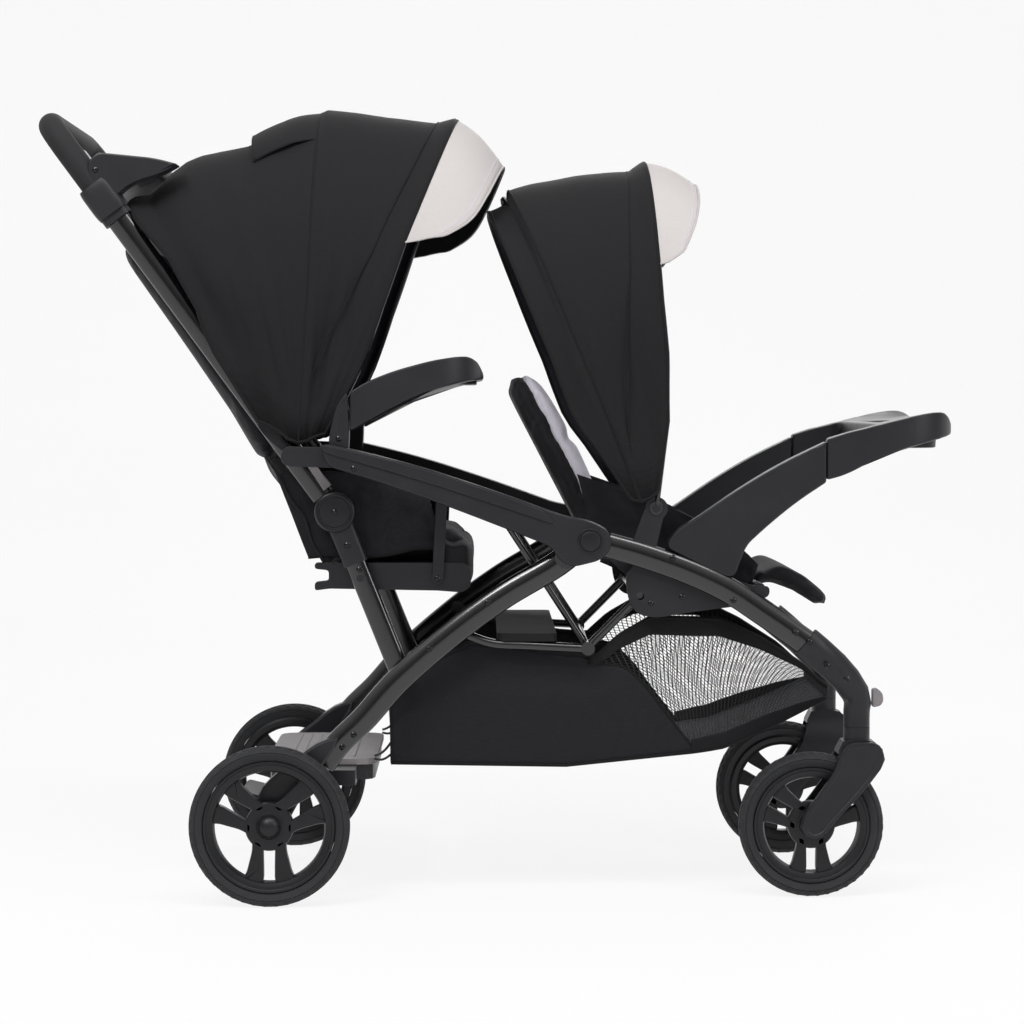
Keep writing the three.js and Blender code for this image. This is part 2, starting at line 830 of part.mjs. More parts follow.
function wheelBracket() {
  const x = REAR_AXLE_X - BRACKET_BACK;
  const outline = boxShares(x, REAR_R - BRACKET_LOW, BRACKET_LONG, BRACKET_TALL, bracketShares);
  const body = plate(smooth(outline, 26), BRACKET_IN, BRACKET_OUT, BRACKET_EDGE);
  const drum = pin(rearHub, AXLE_R * 2.6, BRACKET_IN, BRACKET_OUT, 24);
  return cut(
    join(body, drum),
    ...barRoom(rearLegPath),
    hole(rearHub, AXLE_R + FIT, BRACKET_IN - OVERRUN, BRACKET_OUT + OVERRUN, 10),
  );
}
addPair('rear_frame', 'wheel_bracket', wheelBracket(), plastic);

const axleEnd = rearOut - RIM_LIP;
const axleGeometry = new THREE.CylinderGeometry(AXLE_R, AXLE_R, 2 * axleEnd, 20);
axleGeometry.translate(REAR_AXLE_X, 0, REAR_R);
add('rear_frame', 'rear_axle', axleGeometry, steel);

// Standing platform: a ribbed grey deck on a black pan that reaches both brackets
function plan(points, lowZ, highZ, radius) {
  const shape = rounded(points, radius);
  const options = { depth: highZ - lowZ, bevelEnabled: false, curveSegments: 3 };
  const geometry = new THREE.ExtrudeGeometry(shape, options);
  geometry.translate(0, 0, lowZ);
  return geometry;
}

function flat(x0, x1, half, lowZ, highZ, radius) {
  const corners = [[x0, -half], [x1, -half], [x1, half], [x0, half]];
  return plan(corners.map(([x, y]) => new THREE.Vector2(x, y)), lowZ, highZ, radius);
}

function brick(x0, x1, y0, y1, z0, z1) {
  const geometry = new THREE.BoxGeometry(x1 - x0, y1 - y0, z1 - z0);
  geometry.translate((x0 + x1) / 2, (y0 + y1) / 2, (z0 + z1) / 2);
  return geometry;
}

const deckBackX = DECK_FRONT_X - DECK_LONG;
const deckLowZ = DECK_TOP_Z - DECK_THICK;
function standingDeck() {
  const board = flat(deckBackX, DECK_FRONT_X, DECK_HALF, deckLowZ, DECK_TOP_Z, DECK_ROUND);
  const ribs = [];
  const count = Math.floor((DECK_LONG - 2 * DECK_ROUND) / RIB_PITCH);
  for (let i = 0; i <= count; i += 1) {
    const x = (deckBackX + DECK_FRONT_X) / 2 + (i - count / 2) * RIB_PITCH;
    const reach = DECK_HALF - DECK_ROUND;
    const start = x - RIB_WIDE / 2;
    ribs.push(brick(start, start + RIB_WIDE, -reach, reach, DECK_TOP_Z - BLEND, DECK_TOP_Z + RIB_TALL));
  }
  return join(board, ...ribs);
}
add('rear_frame', 'standing_platform', standingDeck(), grey);

function platformPan() {
  const top = deckLowZ - FIT;
  const low = top - PAN_DEEP;
  const middleHalf = DECK_HALF - RIB_WIDE;
  const middle = flat(deckBackX + RIB_WIDE, DECK_FRONT_X - RIB_WIDE, middleHalf, low, top, DECK_ROUND);
  const footBack = DECK_FRONT_X - RIB_WIDE - PAN_FOOT_LONG;
  const feet = flat(footBack, DECK_FRONT_X - DECK_ROUND, BRACKET_IN - FIT, low, top, RIB_WIDE);
  const grown = ovalBar(rearLegPath, LEG_MID, TUBE_WIDE, TUBE_DEEP, 7, FIT);
  return cut(join(middle, feet), grown, mirrored(grown));
}
add('rear_frame', 'platform_pan', platformPan(), plastic);

// Brake pedal: a sleeve on the axle with a foot bar behind it
function brakePedal() {
  const sleeve = pin(rearHub, AXLE_R + FIT + PEDAL_SLEEVE, -PEDAL_HALF / 2, PEDAL_HALF / 2, 24);
  const tip = new THREE.Vector2(REAR_AXLE_X - PEDAL_REACH, REAR_R + PEDAL_REACH / 4);
  const arm = link(rearHub, tip, PEDAL_THICK * 1.6, -PEDAL_HALF / 3, PEDAL_HALF / 3);
  const bar = link(
    between(rearHub, tip, 0.72),
    between(rearHub, tip, 1.12),
    PEDAL_THICK * 1.7,
    -PEDAL_HALF,
    PEDAL_HALF,
  );
  return cut(join(sleeve, arm, bar), hole(rearHub, AXLE_R + FIT, -PEDAL_HALF, PEDAL_HALF, 20));
}
add('rear_frame', 'brake_pedal', brakePedal(), plastic);

// Wheels: a rounded tyre on a rim with three pairs of spokes
const tyreSectionShares = [
  [0, 0.14], [0.55, 0], [0.88, 0.12], [1, 0.36], [1, 0.64], [0.88, 0.88], [0.55, 1], [0, 0.86],
];
function tyre(at, radius, from, wide) {
  const seat = radius - TYRE_BAND;
  const profile = tyreSectionShares.map(([r, out]) => [seat + r * TYRE_BAND, from + out * wide]);
  return turned(at, [...profile, profile[0]]);
}

const capShares = [[0.8, 0.7], [0.4, 1], [0, 1]];
function rim(at, radius, from, wide, bore, blind) {
  const seat = radius - TYRE_BAND - FIT;
  const lip = seat - RIM_LIP;
  const mid = from + wide / 2;
  const low = from + wide * tyreSectionShares[0][1];
  const high = from + wide * (1 - tyreSectionShares[0][1]);
  const ring = turned(at, [[lip, low], [seat, low], [seat, high], [lip, high], [lip, low]]);
  const circle = [];
  const discR = lip + RIM_LAP;
  for (let i = 0; i < WHEEL_SIDES; i += 1) {
    const turn = (i / WHEEL_SIDES) * Math.PI * 2;
    circle.push(new THREE.Vector2(at.x + discR * Math.cos(turn), at.y + discR * Math.sin(turn)));
  }
  const disc = new THREE.Shape(circle);
  const pairs = 3;
  for (let i = 0; i < pairs; i += 1) {
    const along = deg(270 + (i * 360) / pairs);
    const slot = new THREE.Path();
    const near = RIM_HUB_R + SLOT_WIDE / 2;
    const far = lip - SLOT_WIDE / 2;
    const point = (r, side) => [
      at.x + r * Math.cos(along) - side * Math.sin(along),
      at.y + r * Math.sin(along) + side * Math.cos(along),
    ];
    slot.moveTo(...point(near, -SLOT_WIDE / 2.6));
    slot.lineTo(...point(far, -SLOT_WIDE / 2));
    slot.lineTo(...point(far, SLOT_WIDE / 2));
    slot.lineTo(...point(near, SLOT_WIDE / 2.6));
    slot.closePath();
    disc.holes.push(slot);
    const window = new THREE.Path();
    const nextAlong = along + (Math.PI * 2) / pairs;
    const inner = RIM_HUB_R + SPOKE_WIDE * 0.7;
    const wall = SPOKE_WIDE + SLOT_WIDE / 2;
    const steps = 4;
    const startAt = (r) => Math.asin(wall / r);
    const outerAngle = startAt(lip) + 0.1;
    const arc = [];
    for (let k = 0; k <= steps; k += 1) {
      const turn = along + outerAngle + ((Math.PI * 2) / pairs - 2 * outerAngle) * (k / steps);
      arc.push([at.x + (lip - BLEND) * Math.cos(turn), at.y + (lip - BLEND) * Math.sin(turn)]);
    }
    const middle = (along + nextAlong) / 2;
    const waist = inner + SPOKE_WIDE * 0.55;
    [[waist, 0.42], [inner, 0.14], [inner, -0.14], [waist, -0.42]].forEach(([r, off]) => {
      arc.push([at.x + r * Math.cos(middle + off), at.y + r * Math.sin(middle + off)]);
    });
    arc.forEach(([x, y], k) => (k === 0 ? window.moveTo(x, y) : window.lineTo(x, y)));
    window.closePath();
    disc.holes.push(window);
  }
  const spokes = plate(disc, mid - wide * 0.22, mid + wide * 0.22, 0, 4);
  const hubIn = from + FIT * 2;
  const hubOut = from + wide - FIT;
  const barrel = turned(at, [
    [0, hubIn],
    [RIM_HUB_R * 0.8, hubIn],
    [RIM_HUB_R, hubIn + RIM_HUB_EDGE],
    [RIM_HUB_R, hubOut - RIM_HUB_EDGE],
    [CAP_R, hubOut],
    ...(blind ? capShares.map(([r, out]) => [CAP_R * r, hubOut + CAP_TALL * out]) : [[0, hubOut]]),
  ], 14);
  const bored = blind ? hole(at, bore + FIT, from - OVERRUN, axleEnd + RUN, 20)
    : hole(at, bore + FIT, from - OVERRUN, from + wide + OVERRUN, 10);
  return cut(join(ring, spokes, barrel), bored);
}

addPair('wheels', 'rear_tyre', tyre(rearHub, REAR_R, rearIn, REAR_WIDE), rubber);
addPair('wheels', 'rear_rim', rim(rearHub, REAR_R, rearIn, REAR_WIDE, AXLE_R, true), plastic);

// Front legs
const frontLegShares = [[0.217, 0.62], [0.4, 0.95], [0.578, 1], [0.751, 0.66], [0.935, 0.24], [1, 0]];
const frontLegLine = alongShares(hub, elbow, FRONT_LEG_BOW, frontLegShares);
const frontLegStart = between(hub, frontLegLine[0], LEG_START / hub.distanceTo(frontLegLine[0]));
const frontLegPath = [frontLegStart, ...frontLegLine];
const frontLegBar = (grow = 0) => ovalBar(frontLegPath, LEG_MID, TUBE_WIDE, TUBE_DEEP, 7, grow);

function frontLeg() {
  const half = LEG_MID - FIT / 2;
  const tab = link(hub, between(hub, frontLegStart, 1.5), EYE_R * 1.5, legIn, half);
  const disc = pin(hub, EYE_R, legIn, half, 14);
  return cut(join(frontLegBar(), tab, disc), hole(hub, PIN_R + FIT, legIn - OVERRUN, half + OVERRUN, 10));
}
addPair('front_frame', 'front_leg', frontLeg(), paint);

// Elbow housings that take the leg's end and carry the caster's stem
const casterTop = new THREE.Vector2(CASTER_X, ELBOW_LOW_Z);
function elbowHousing() {
  const before = between(frontLegLine[4], elbow, 0.1);
  const stations = [
    [before.x, LEG_MID, before.y, ELBOW_WIDE, ELBOW_DEEP],
    [elbow.x, LEG_MID, elbow.y, ELBOW_WIDE, ELBOW_DEEP],
    [elbow.x + (CASTER_X - elbow.x) * 0.62, LEG_MID - (LEG_MID - CASTER_Y) * 0.35,
      elbow.y - (elbow.y - ELBOW_TURN_Z) * 0.5, ELBOW_WIDE, ELBOW_DEEP * 0.93],
    [CASTER_X, CASTER_Y + (LEG_MID - CASTER_Y) * 0.16, ELBOW_TURN_Z, COLLAR_R * 2, COLLAR_R * 2.1],
    [CASTER_X, CASTER_Y, (ELBOW_TURN_Z + ELBOW_LOW_Z) / 2, COLLAR_R * 2, COLLAR_R * 2],
    [CASTER_X, CASTER_Y, ELBOW_LOW_Z, COLLAR_R * 2, COLLAR_R * 2],
  ];
  const sides = 16;
  const places = stations.map(([x, y, z]) => new THREE.Vector3(x, -y, z));
  const spine = new THREE.CatmullRomCurve3(places, false, 'centripetal');
  const rings = [];
  const count = 9;
  for (let k = 0; k <= count; k += 1) {
    const t = k / count;
    const at = spine.getPoint(t);
    const tangent = spine.getTangent(t);
    const slot = Math.min(stations.length - 2, Math.floor(t * (stations.length - 1)));
    const mix = t * (stations.length - 1) - slot;
    const wide = THREE.MathUtils.lerp(stations[slot][3], stations[slot + 1][3], mix);
    const deep = THREE.MathUtils.lerp(stations[slot][4], stations[slot + 1][4], mix);
    const across = new THREE.Vector3(0, 1, 0);
    const up = new THREE.Vector3(-tangent.z, 0, tangent.x).normalize();
    const level = k === count;
    const ring = [];
    for (let i = 0; i < sides; i += 1) {
      const turn = (i / sides) * Math.PI * 2;
      const point = at.clone()
        .addScaledVector(across, (Math.cos(turn) * wide) / 2)
        .addScaledVector(up, (Math.sin(turn) * deep) / 2);
      if (level) point.z = ELBOW_LOW_Z;
      ring.push(point);
    }
    rings.push(ring);
  }
  const bore = new THREE.CylinderGeometry(STEM_R + 2 * FIT, STEM_R + 2 * FIT, 2 * (STEM_TALL + RUN), 16);
  bore.rotateX(Math.PI / 2);
  bore.translate(CASTER_X, -CASTER_Y, ELBOW_LOW_Z);
  return cut(skin(rings), ...barRoom(frontLegPath), bore);
}
addPair('front_frame', 'caster_housing', elbowHousing(), plastic);

function casterLock() {
  const x = CASTER_X + COLLAR_R + LOCK_OUT;
  const shares = [[0, 0], [0.75, 0.1], [1, 0.35], [0.9, 0.75], [0.4, 1], [0, 0.95]];
  const outline = boxShares(x, LOCK_MID_Z - LOCK_TALL / 2, LOCK_LONG, LOCK_TALL, shares);
  return plate(rounded(outline, LOCK_ROUND), CASTER_Y - LOCK_WIDE / 2, CASTER_Y + LOCK_WIDE / 2, BLEND);
}
addPair('front_frame', 'caster_lock', casterLock(), grey);

// Caster forks: two blades from a crown, with the wheel's bolt and the swivel stem
const frontHub = new THREE.Vector2(axleX, FRONT_R);
const forkIn = CASTER_Y - FRONT_WIDE / 2 - FORK_GAP - BLADE_THICK;
const forkOut = CASTER_Y + FRONT_WIDE / 2 + FORK_GAP + BLADE_THICK;
const forkShares = [
  [0.5, 1], [0.4, 0.72], [0.2, 0.46], [0.02, 0.24], [0, 0.09], [0.12, 0],
  [0.26, 0.03], [0.36, 0.14], [0.8, 0.56], [1, 0.84], [0.93, 0.97], [0.85, 1],
];
function casterFork() {
  const outline = boxShares(FORK_X, FORK_Z, FORK_LONG, FORK_TALL, forkShares);
  const block = plate(smooth(outline, 26), forkIn, forkOut, FORK_EDGE);
  const shoulder = new THREE.Shape();
  const waist = COLLAR_R;
  const top = FORK_Z + FORK_TALL + OVERRUN;
  const drop = top - FORK_TALL * 0.34;
  shoulder.moveTo(-CASTER_Y - waist, top);
  const high = drop + waist;
  shoulder.bezierCurveTo(-CASTER_Y - waist, high, -forkOut, high, -forkOut - BLEND, drop - waist);
  shoulder.lineTo(-forkOut - BLEND, 0);
  shoulder.lineTo(-forkIn + BLEND, 0);
  shoulder.lineTo(-forkIn + BLEND, drop - waist);
  shoulder.bezierCurveTo(-forkIn, high, -CASTER_Y + waist, high, -CASTER_Y + waist, top);
  shoulder.closePath();
  const options = { depth: FORK_LONG * 2, bevelEnabled: false, curveSegments: 6 };
  const front = new THREE.ExtrudeGeometry(shoulder, options);
  front.rotateX(Math.PI / 2);
  front.rotateZ(Math.PI / 2);
  front.translate(FORK_X - FORK_LONG / 2, 0, 0);
  const wheelRoom = pin(frontHub, FRONT_R + TYRE_CLEAR, forkIn + BLADE_THICK, forkOut - BLADE_THICK, 28);
  const collar = new THREE.CylinderGeometry(COLLAR_R, COLLAR_R, ELBOW_LOW_Z - FIT - COLLAR_LOW_Z, 20);
  collar.rotateX(Math.PI / 2);
  collar.translate(CASTER_X, -CASTER_Y, (ELBOW_LOW_Z - FIT + COLLAR_LOW_Z) / 2);
  const stem = new THREE.CylinderGeometry(STEM_R, STEM_R, STEM_TALL + COLLAR_R, 16);
  stem.rotateX(Math.PI / 2);
  stem.translate(CASTER_X, -CASTER_Y, ELBOW_LOW_Z + (STEM_TALL - COLLAR_R) / 2);
  const body = cut(meet(block, front), wheelRoom);
  return join(body, collar, stem, pin(frontHub, FRONT_BOLT_R, forkIn + BLEND, forkOut - BLEND, 10));
}
addPair('casters', 'caster_fork', casterFork(), plastic);

const frontTyreIn = CASTER_Y - FRONT_WIDE / 2;
addPair('wheels', 'front_tyre', tyre(frontHub, FRONT_R, frontTyreIn, FRONT_WIDE), rubber);
addPair('wheels', 'front_rim', rim(frontHub, FRONT_R, frontTyreIn, FRONT_WIDE, FRONT_BOLT_R, false), plastic);

// Side rails: a moulded shell over the hub, with bosses for what hangs from it and a post for the tray
const railShares = [
  [0.925, -0.7], [0.579, -0.83], [0.338, -0.73], [0.1, -0.56], [0.02, -0.65], [-0.05, -0.5], [-0.075, 0],
  [-0.05, 0.5], [0.03, 0.955], [0.075, 0.9], [0.112, 0.521], [0.267, 0.359], [0.47, 0.166], [0.712, 0.017],
  [0.88, -0.016],
];
function railBoss(at, to, hole) {
  const boss = pin(at, BOSS_R, to + FIT, railIn + BLEND, 10);
  return join(boss, pin(at, hole, to - HANGER_THICK - FIT, to + BLEND, 10));
}

function sideRail() {
  const outline = alongShares(hub, railEnd, RAIL_DEEP, railShares);
  const shell = plate(rounded(outline, RAIL_ROUND), railIn, railOut, RAIL_EDGE, 4);
  const tongueStart = between(hub, railEnd, 0.86, -0.36 * RAIL_DEEP);
  const tongue = link(tongueStart, railEnd, TONGUE_R * 2, railIn, railIn + TONGUE_WIDE);
  const button = pin(hub, HUB_BUTTON_R, railOut - BLEND, railOut + HUB_BUTTON_TALL, 24);
  const hubPin = pin(hub, PIN_R, legIn, railIn + BLEND, 10);
  const endBoss = pin(railEnd, BOSS_R, strutOut + LATCH_THICK + FIT, railIn + BLEND, 10);
  const postShares = [[0.87, 1], [1, 0.35], [0.92, -0.1], [0.1, -0.02], [0.1, 0.3], [0.435, 0.783]];
  const post = plate(
    rounded(boxShares(TRAY_POST_X, TRAY_POST_Z, TRAY_POST_LONG, TRAY_POST_TALL, postShares), POST_ROUND),
    REAR_TRAY_IN,
    REAR_TRAY_OUT,
  );
  const stubMid = (REAR_TRAY_IN + REAR_TRAY_OUT) / 2;
  const stubX = TRAY_POST_X + TRAY_POST_LONG * 0.8;
  const stubZ = TRAY_POST_Z + TRAY_POST_TALL * 0.62;
  const stub = brick(
    stubX,
    REAR_TRAY_X + TRAY_STUB,
    -stubMid - STUB_WIDE / 2,
    -stubMid + STUB_WIDE / 2,
    stubZ - STUB_TALL / 3,
    stubZ + STUB_TALL / 3,
  );
  const stayBoss = railBoss(stayTop, STAY_MID + STAY_R, RIVET_R - BLEND);
  const hangerBoss = railBoss(hangerTop, hangerOut, RIVET_R - BLEND);
  return join(shell, tongue, button, hubPin, endBoss, post, stub, stayBoss, hangerBoss);
}
addPair('rails', 'side_rail', sideRail(), plastic);

// Trays are a side profile met with a plan outline, with wells let in from above
function trayPlan(x0, x1, inner, outer, bar, corner, lowZ, highZ) {
  const whole = new THREE.Shape();
  const draw = (shape, edge, front, round) => {
    shape.moveTo(x0, -edge);
    shape.lineTo(front - round, -edge);
    shape.quadraticCurveTo(front, -edge, front, -edge + round);
    shape.lineTo(front, edge - round);
    shape.quadraticCurveTo(front, edge, front - round, edge);
    shape.lineTo(x0, edge);
    shape.closePath();
  };
  draw(whole, outer, x1, corner);
  const hollow = new THREE.Shape();
  const back = x0 - OVERRUN;
  const edge = inner;
  const front = x1 - bar;
  const round = corner * 0.6;
  hollow.moveTo(back, -edge);
  hollow.lineTo(front - round, -edge);
  hollow.quadraticCurveTo(front, -edge, front, -edge + round);
  hollow.lineTo(front, edge - round);
  hollow.quadraticCurveTo(front, edge, front - round, edge);
  hollow.lineTo(back, edge);
  hollow.closePath();
  const options = { depth: highZ - lowZ, bevelEnabled: false, curveSegments: 6 };
  const outerSolid = new THREE.ExtrudeGeometry(whole, options);
  const innerSolid = new THREE.ExtrudeGeometry(hollow, { ...options, depth: options.depth + 2 * OVERRUN });
  outerSolid.translate(0, 0, lowZ);
  innerSolid.translate(0, 0, lowZ - OVERRUN);
  return cut(outerSolid, innerSolid);
}

function upright(x, y, radius, lowZ, highZ, sides = 16) {
  const geometry = new THREE.CylinderGeometry(radius, radius, highZ - lowZ, sides);
  geometry.rotateX(Math.PI / 2);
  geometry.translate(x, y, (lowZ + highZ) / 2);
  return geometry;
}

const frontTrayShares = [
  [0, 0.62], [0.345, 0.797], [0.732, 0.965], [0.855, 1], [0.93, 0.95], [1, 0.78],
  [0.95, 0.66], [0.863, 0.615], [0.576, 0.476], [0.345, 0.322], [0.15, 0.14], [0, 0.05],
];
function frontTray() {
  const profile = new THREE.Shape(boxShares(TRAY_X, TRAY_Z, TRAY_LONG, TRAY_TALL, frontTrayShares));
  const side = plate(profile, -ARM_OUT, ARM_OUT);
  const top = TRAY_Z + TRAY_TALL + OVERRUN;
  const end = TRAY_X + TRAY_LONG;
  const shape = trayPlan(TRAY_X, end, ARM_IN, ARM_OUT, TRAY_BAR, TRAY_CORNER, TRAY_Z - OVERRUN, top);
  const cupX = end - TRAY_BAR / 2;
  const cupTop = TRAY_Z + TRAY_TALL * 0.8;
  const cups = [-CUP_Y, CUP_Y].map((y) => upright(cupX, y, CUP_R + CUP_WALL, CUP_LOW_Z, cupTop));
  const wells = [-CUP_Y, CUP_Y].map((y) => upright(cupX, y, CUP_R, CUP_LOW_Z + CUP_WALL, top));
  const snackZ = cupTop - SNACK_DEEP;
  const snack = flat(cupX - CUP_R, cupX + CUP_R * 0.8, SNACK_HALF, snackZ, top, CUP_R / 2);
  const stubMid = (ARM_IN + ARM_OUT) / 2;
  const stubZ = TRAY_Z + TRAY_TALL * 0.33;
  const socket = [-stubMid, stubMid].map((y) => brick(
    TRAY_X - OVERRUN,
    TRAY_X + TRAY_STUB + FIT,
    y - STUB_WIDE / 2 - FIT,
    y + STUB_WIDE / 2 + FIT,
    stubZ - STUB_TALL / 2 - FIT,
    stubZ + STUB_TALL / 2 + FIT,
  ));
  return cut(join(meet(side, shape), ...cups), ...wells, snack, ...socket);
}
add('front_frame', 'front_tray', frontTray(), plastic);

// Arm panels stand on the front legs and end in a stub for the tray
const armShares = [
  [0, 0.235], [0.064, 0.351], [0.206, 0.451], [0.467, 0.667], [0.728, 0.848], [1, 1], [1, 0.703],
  [0.814, 0.558], [0.641, 0.391], [0.51, 0.25], [0.47, 0.14], [0.461, -0.12], [0.1, -0.1],
];
function armPanel() {
  const outline = boxShares(ARM_X, ARM_Z, ARM_LONG, armTall, armShares);
  const body = plate(new THREE.Shape(outline), ARM_IN, ARM_OUT, ARM_EDGE);
  const stubMid = (ARM_IN + ARM_OUT) / 2;
  const stubZ = TRAY_Z + TRAY_TALL * 0.33;
  const stub = brick(
    TRAY_SEAM_X - TRAY_STUB,
    TRAY_X + TRAY_STUB,
    -stubMid - STUB_WIDE / 2,
    -stubMid + STUB_WIDE / 2,
    stubZ - STUB_TALL / 2,
    stubZ + STUB_TALL / 2,
  );
  const below = frontLegLine.map((p) => p.clone());
  const under = new THREE.Shape([
    ...[hub, ...below],
    new THREE.Vector2(elbow.x, ARM_Z - armTall),
    new THREE.Vector2(hub.x, ARM_Z - armTall),
  ]);
  const beside = plate(under, ARM_IN - OVERRUN, plateOut + FIT);
  beside.translate(0, 0, TUBE_DEEP * 0.75);
  return cut(join(body, stub), frontLegBar(FIT), plate(under, ARM_IN - OVERRUN, ARM_OUT + OVERRUN), beside);
}
addPair('front_frame', 'arm_panel', armPanel(), plastic);

// Front seat base: the pan, its two side plates and the tube under the footrest's hinge
const sidePlateShares = [
  [0, 0.827], [0.1, 1.1], [0.4, 1.2], [0.75, 0.95], [1.1, 0.62], [1.26, 0.62], [1.26, 0.42], [0.983, 0.231],
  [0.565, 0.115], [0.261, 0], [0.1, 0.08], [0.03, 0.346],
];
const footHinge = new THREE.Vector2(FOOT_HINGE_X, FOOT_HINGE_Z);
const recline = new THREE.Vector2(RECLINE_X, RECLINE_Z);
function frontSeatBase() {
  const outline = boxShares(PLATE_X, PLATE_Z, PLATE_LONG, PLATE_TALL, sidePlateShares);
  const side = cut(
    plate(rounded(outline, PLATE_ROUND), plateIn, plateOut),
    hole(basketFront, RIVET_R + FIT, plateIn - OVERRUN, plateOut + OVERRUN, 10),
  );
  const panFront = FOOT_HINGE_X - SEAT_TUBE_R - FOOTREST_SLEEVE - SLEEVE_ROOM;
  const panTop = SEAT_PAN_Z + SEAT_PAN_THICK;
  const pan = flat(FRONT_CUSHION_X, panFront, plateIn + BLEND, SEAT_PAN_Z, panTop, BLEND);
  const tube = pin(footHinge, SEAT_TUBE_R, -plateIn - BLEND, plateIn + BLEND, 10);
  const reclineEar = (from) => {
    const outlineEar = [
      new THREE.Vector2(RECLINE_X - BACK_HINGE_R, RECLINE_Z),
      new THREE.Vector2(RECLINE_X, RECLINE_Z + BACK_HINGE_R),
      new THREE.Vector2(RECLINE_X + BACK_HINGE_R, RECLINE_Z),
      new THREE.Vector2(FRONT_CUSHION_X + 3 * BACK_HINGE_R, SEAT_PAN_Z + SEAT_PAN_THICK),
      new THREE.Vector2(FRONT_CUSHION_X, SEAT_PAN_Z),
    ];
    return plate(rounded(outlineEar, EAR_ROUND), from, from + SIDE_PLATE_THICK);
  };
  const earIn = BACK_HALF + EAR_GAP;
  const ear = reclineEar(earIn);
  const reclinePin = pin(recline, RIVET_R, BACK_HALF - BACK_PIN_DEEP, earIn + BLEND, 10);
  const otherSide = [side, ear, reclinePin].map(mirrored);
  return join(side, pan, tube, ear, reclinePin, ...otherSide);
}
add('front_frame', 'front_seat_base', frontSeatBase(), plastic);

// Front seat cushion
function frontCushion() {
  const geometry = pad(FRONT_CUSHION_LONG, FRONT_CUSHION_HALF, CUSHION_THICK, 2);
  geometry.translate(FRONT_CUSHION_X + FRONT_CUSHION_SET, 0, SEAT_PAN_Z + SEAT_PAN_THICK + CUSHION_GAP);
  return geometry;
}
add('front_frame', 'front_seat_cushion', frontCushion(), fabric);

// Front seat back: a padded board that turns on the pins at its foot
function frontSeatBack() {
  const cushion = pad(BACK_TALL, BACK_HALF, BACK_THICK, 3);
  cushion.rotateX(Math.PI);
  cushion.rotateY(-deg(BACK_LEAN));
  const lean = deg(BACK_LEAN);
  const up = new THREE.Vector2(Math.cos(lean), Math.sin(lean));
  const back = new THREE.Vector2(-Math.sin(lean), Math.cos(lean));
  const place = (along, behind) => new THREE.Vector2(RECLINE_X, RECLINE_Z)
    .addScaledVector(up, along)
    .addScaledVector(back, behind);
  const padStart = place(BACK_HINGE_R * 2, BACK_BOARD / 2);
  cushion.translate(padStart.x, 0, padStart.y);
  const low = place(0, 0);
  const board = plate(
    new THREE.Shape([
      place(0, BACK_BOARD),
      place(BACK_TALL * 0.9, BACK_BOARD * 2),
      place(BACK_TALL * 0.9, 0),
      place(0, -BACK_BOARD),
    ]),
    -BACK_HALF + BOARD_IN,
    BACK_HALF - BOARD_IN,
  );
  const barrel = pin(low, BACK_HINGE_R, -BACK_HALF + BARREL_IN, BACK_HALF - BARREL_IN, 10);
  const bores = [
    hole(low, RIVET_R + FIT, BACK_HALF - BACK_PIN_DEEP - BLEND, BACK_HALF + OVERRUN, 10),
    hole(low, RIVET_R + FIT, -BACK_HALF - OVERRUN, -BACK_HALF + BACK_PIN_DEEP + BLEND, 10),
  ];
  return cut(join(cushion, board, barrel), ...bores);
}
add('front_frame', 'front_seat_back', frontSeatBack(), fabric);

// Footrest on the seat's front tube
const footrestShares = [
  [0.1, 0.75], [0.2, 1], [0.33, 1], [0.568, 0.816], [0.827, 0.447], [0.96, 0.2], [1, 0.1], [0.88, 0.02],
  [0.654, 0.211], [0.358, 0.395], [0.185, 0.368], [0.05, 0.3],
];
function footrest() {
  const x = FOOT_HINGE_X + FOOTREST_FORE;
  const z = FOOT_HINGE_Z - FOOTREST_DROP;
  const outline = boxShares(x, z, FOOTREST_LONG, FOOTREST_TALL, footrestShares);
  const board = plate(smooth(outline, 22), -FOOTREST_HALF, FOOTREST_HALF, FOOTREST_EDGE);
  const sleeve = pin(footHinge, SEAT_TUBE_R + FIT + FOOTREST_SLEEVE, -FOOTREST_HALF, FOOTREST_HALF, 24);
  const over = FOOTREST_HALF + OVERRUN;
  return cut(join(board, sleeve), hole(footHinge, SEAT_TUBE_R + FIT, -over, over, 10));
}
add('front_frame', 'footrest', footrest(), fabric);

// Lower struts with their half of the knuckle
const knuckleHalf = knuckleIn + KNUCKLE_WIDE / 2;
function lowerStrut() {
  const way = knuckle.distanceTo(strutFoot);
  const start = between(knuckle, strutFoot, KNUCKLE_START / way);
  const bar = ovalBar([start, between(knuckle, strutFoot, 0.5), strutFoot.clone().lerp(knuckle, -0.06)],
    strutMid, STRUT_WIDE, STRUT_DEEP, 1);
  const collarEnd = between(knuckle, strutFoot, (KNUCKLE_START + COLLAR_LONG) / way);
  const collar = ovalBar([start, between(start, collarEnd, 0.5), collarEnd],
    strutMid, STRUT_WIDE + COLLAR_GROW, STRUT_DEEP + 2 * COLLAR_GROW, 1);
  const disc = pin(knuckle, KNUCKLE_R - BLEND, knuckleIn, knuckleHalf - FIT / 2, 28);
  const web = link(knuckle, start, STRUT_DEEP, strutIn, knuckleHalf - FIT / 2);
  const rivet = join(
    pin(strutFoot, RIVET_R, strutIn + BLEND, legOut + FIT + BLEND, 10),
    pin(strutFoot, HEAD_R, legOut + FIT, legOut + FIT + HEAD_TALL, 20),
  );
  return cut(
    join(bar, collar, disc, web, rivet),
    hole(knuckle, PIN_R + FIT, knuckleIn - OVERRUN, knuckleOut, 20),
    hole(seatPivot, RIVET_R + FIT, strutIn - OVERRUN, strutOut + OVERRUN, 10),
  );
}
addPair('struts', 'lower_strut', lowerStrut(), paint);

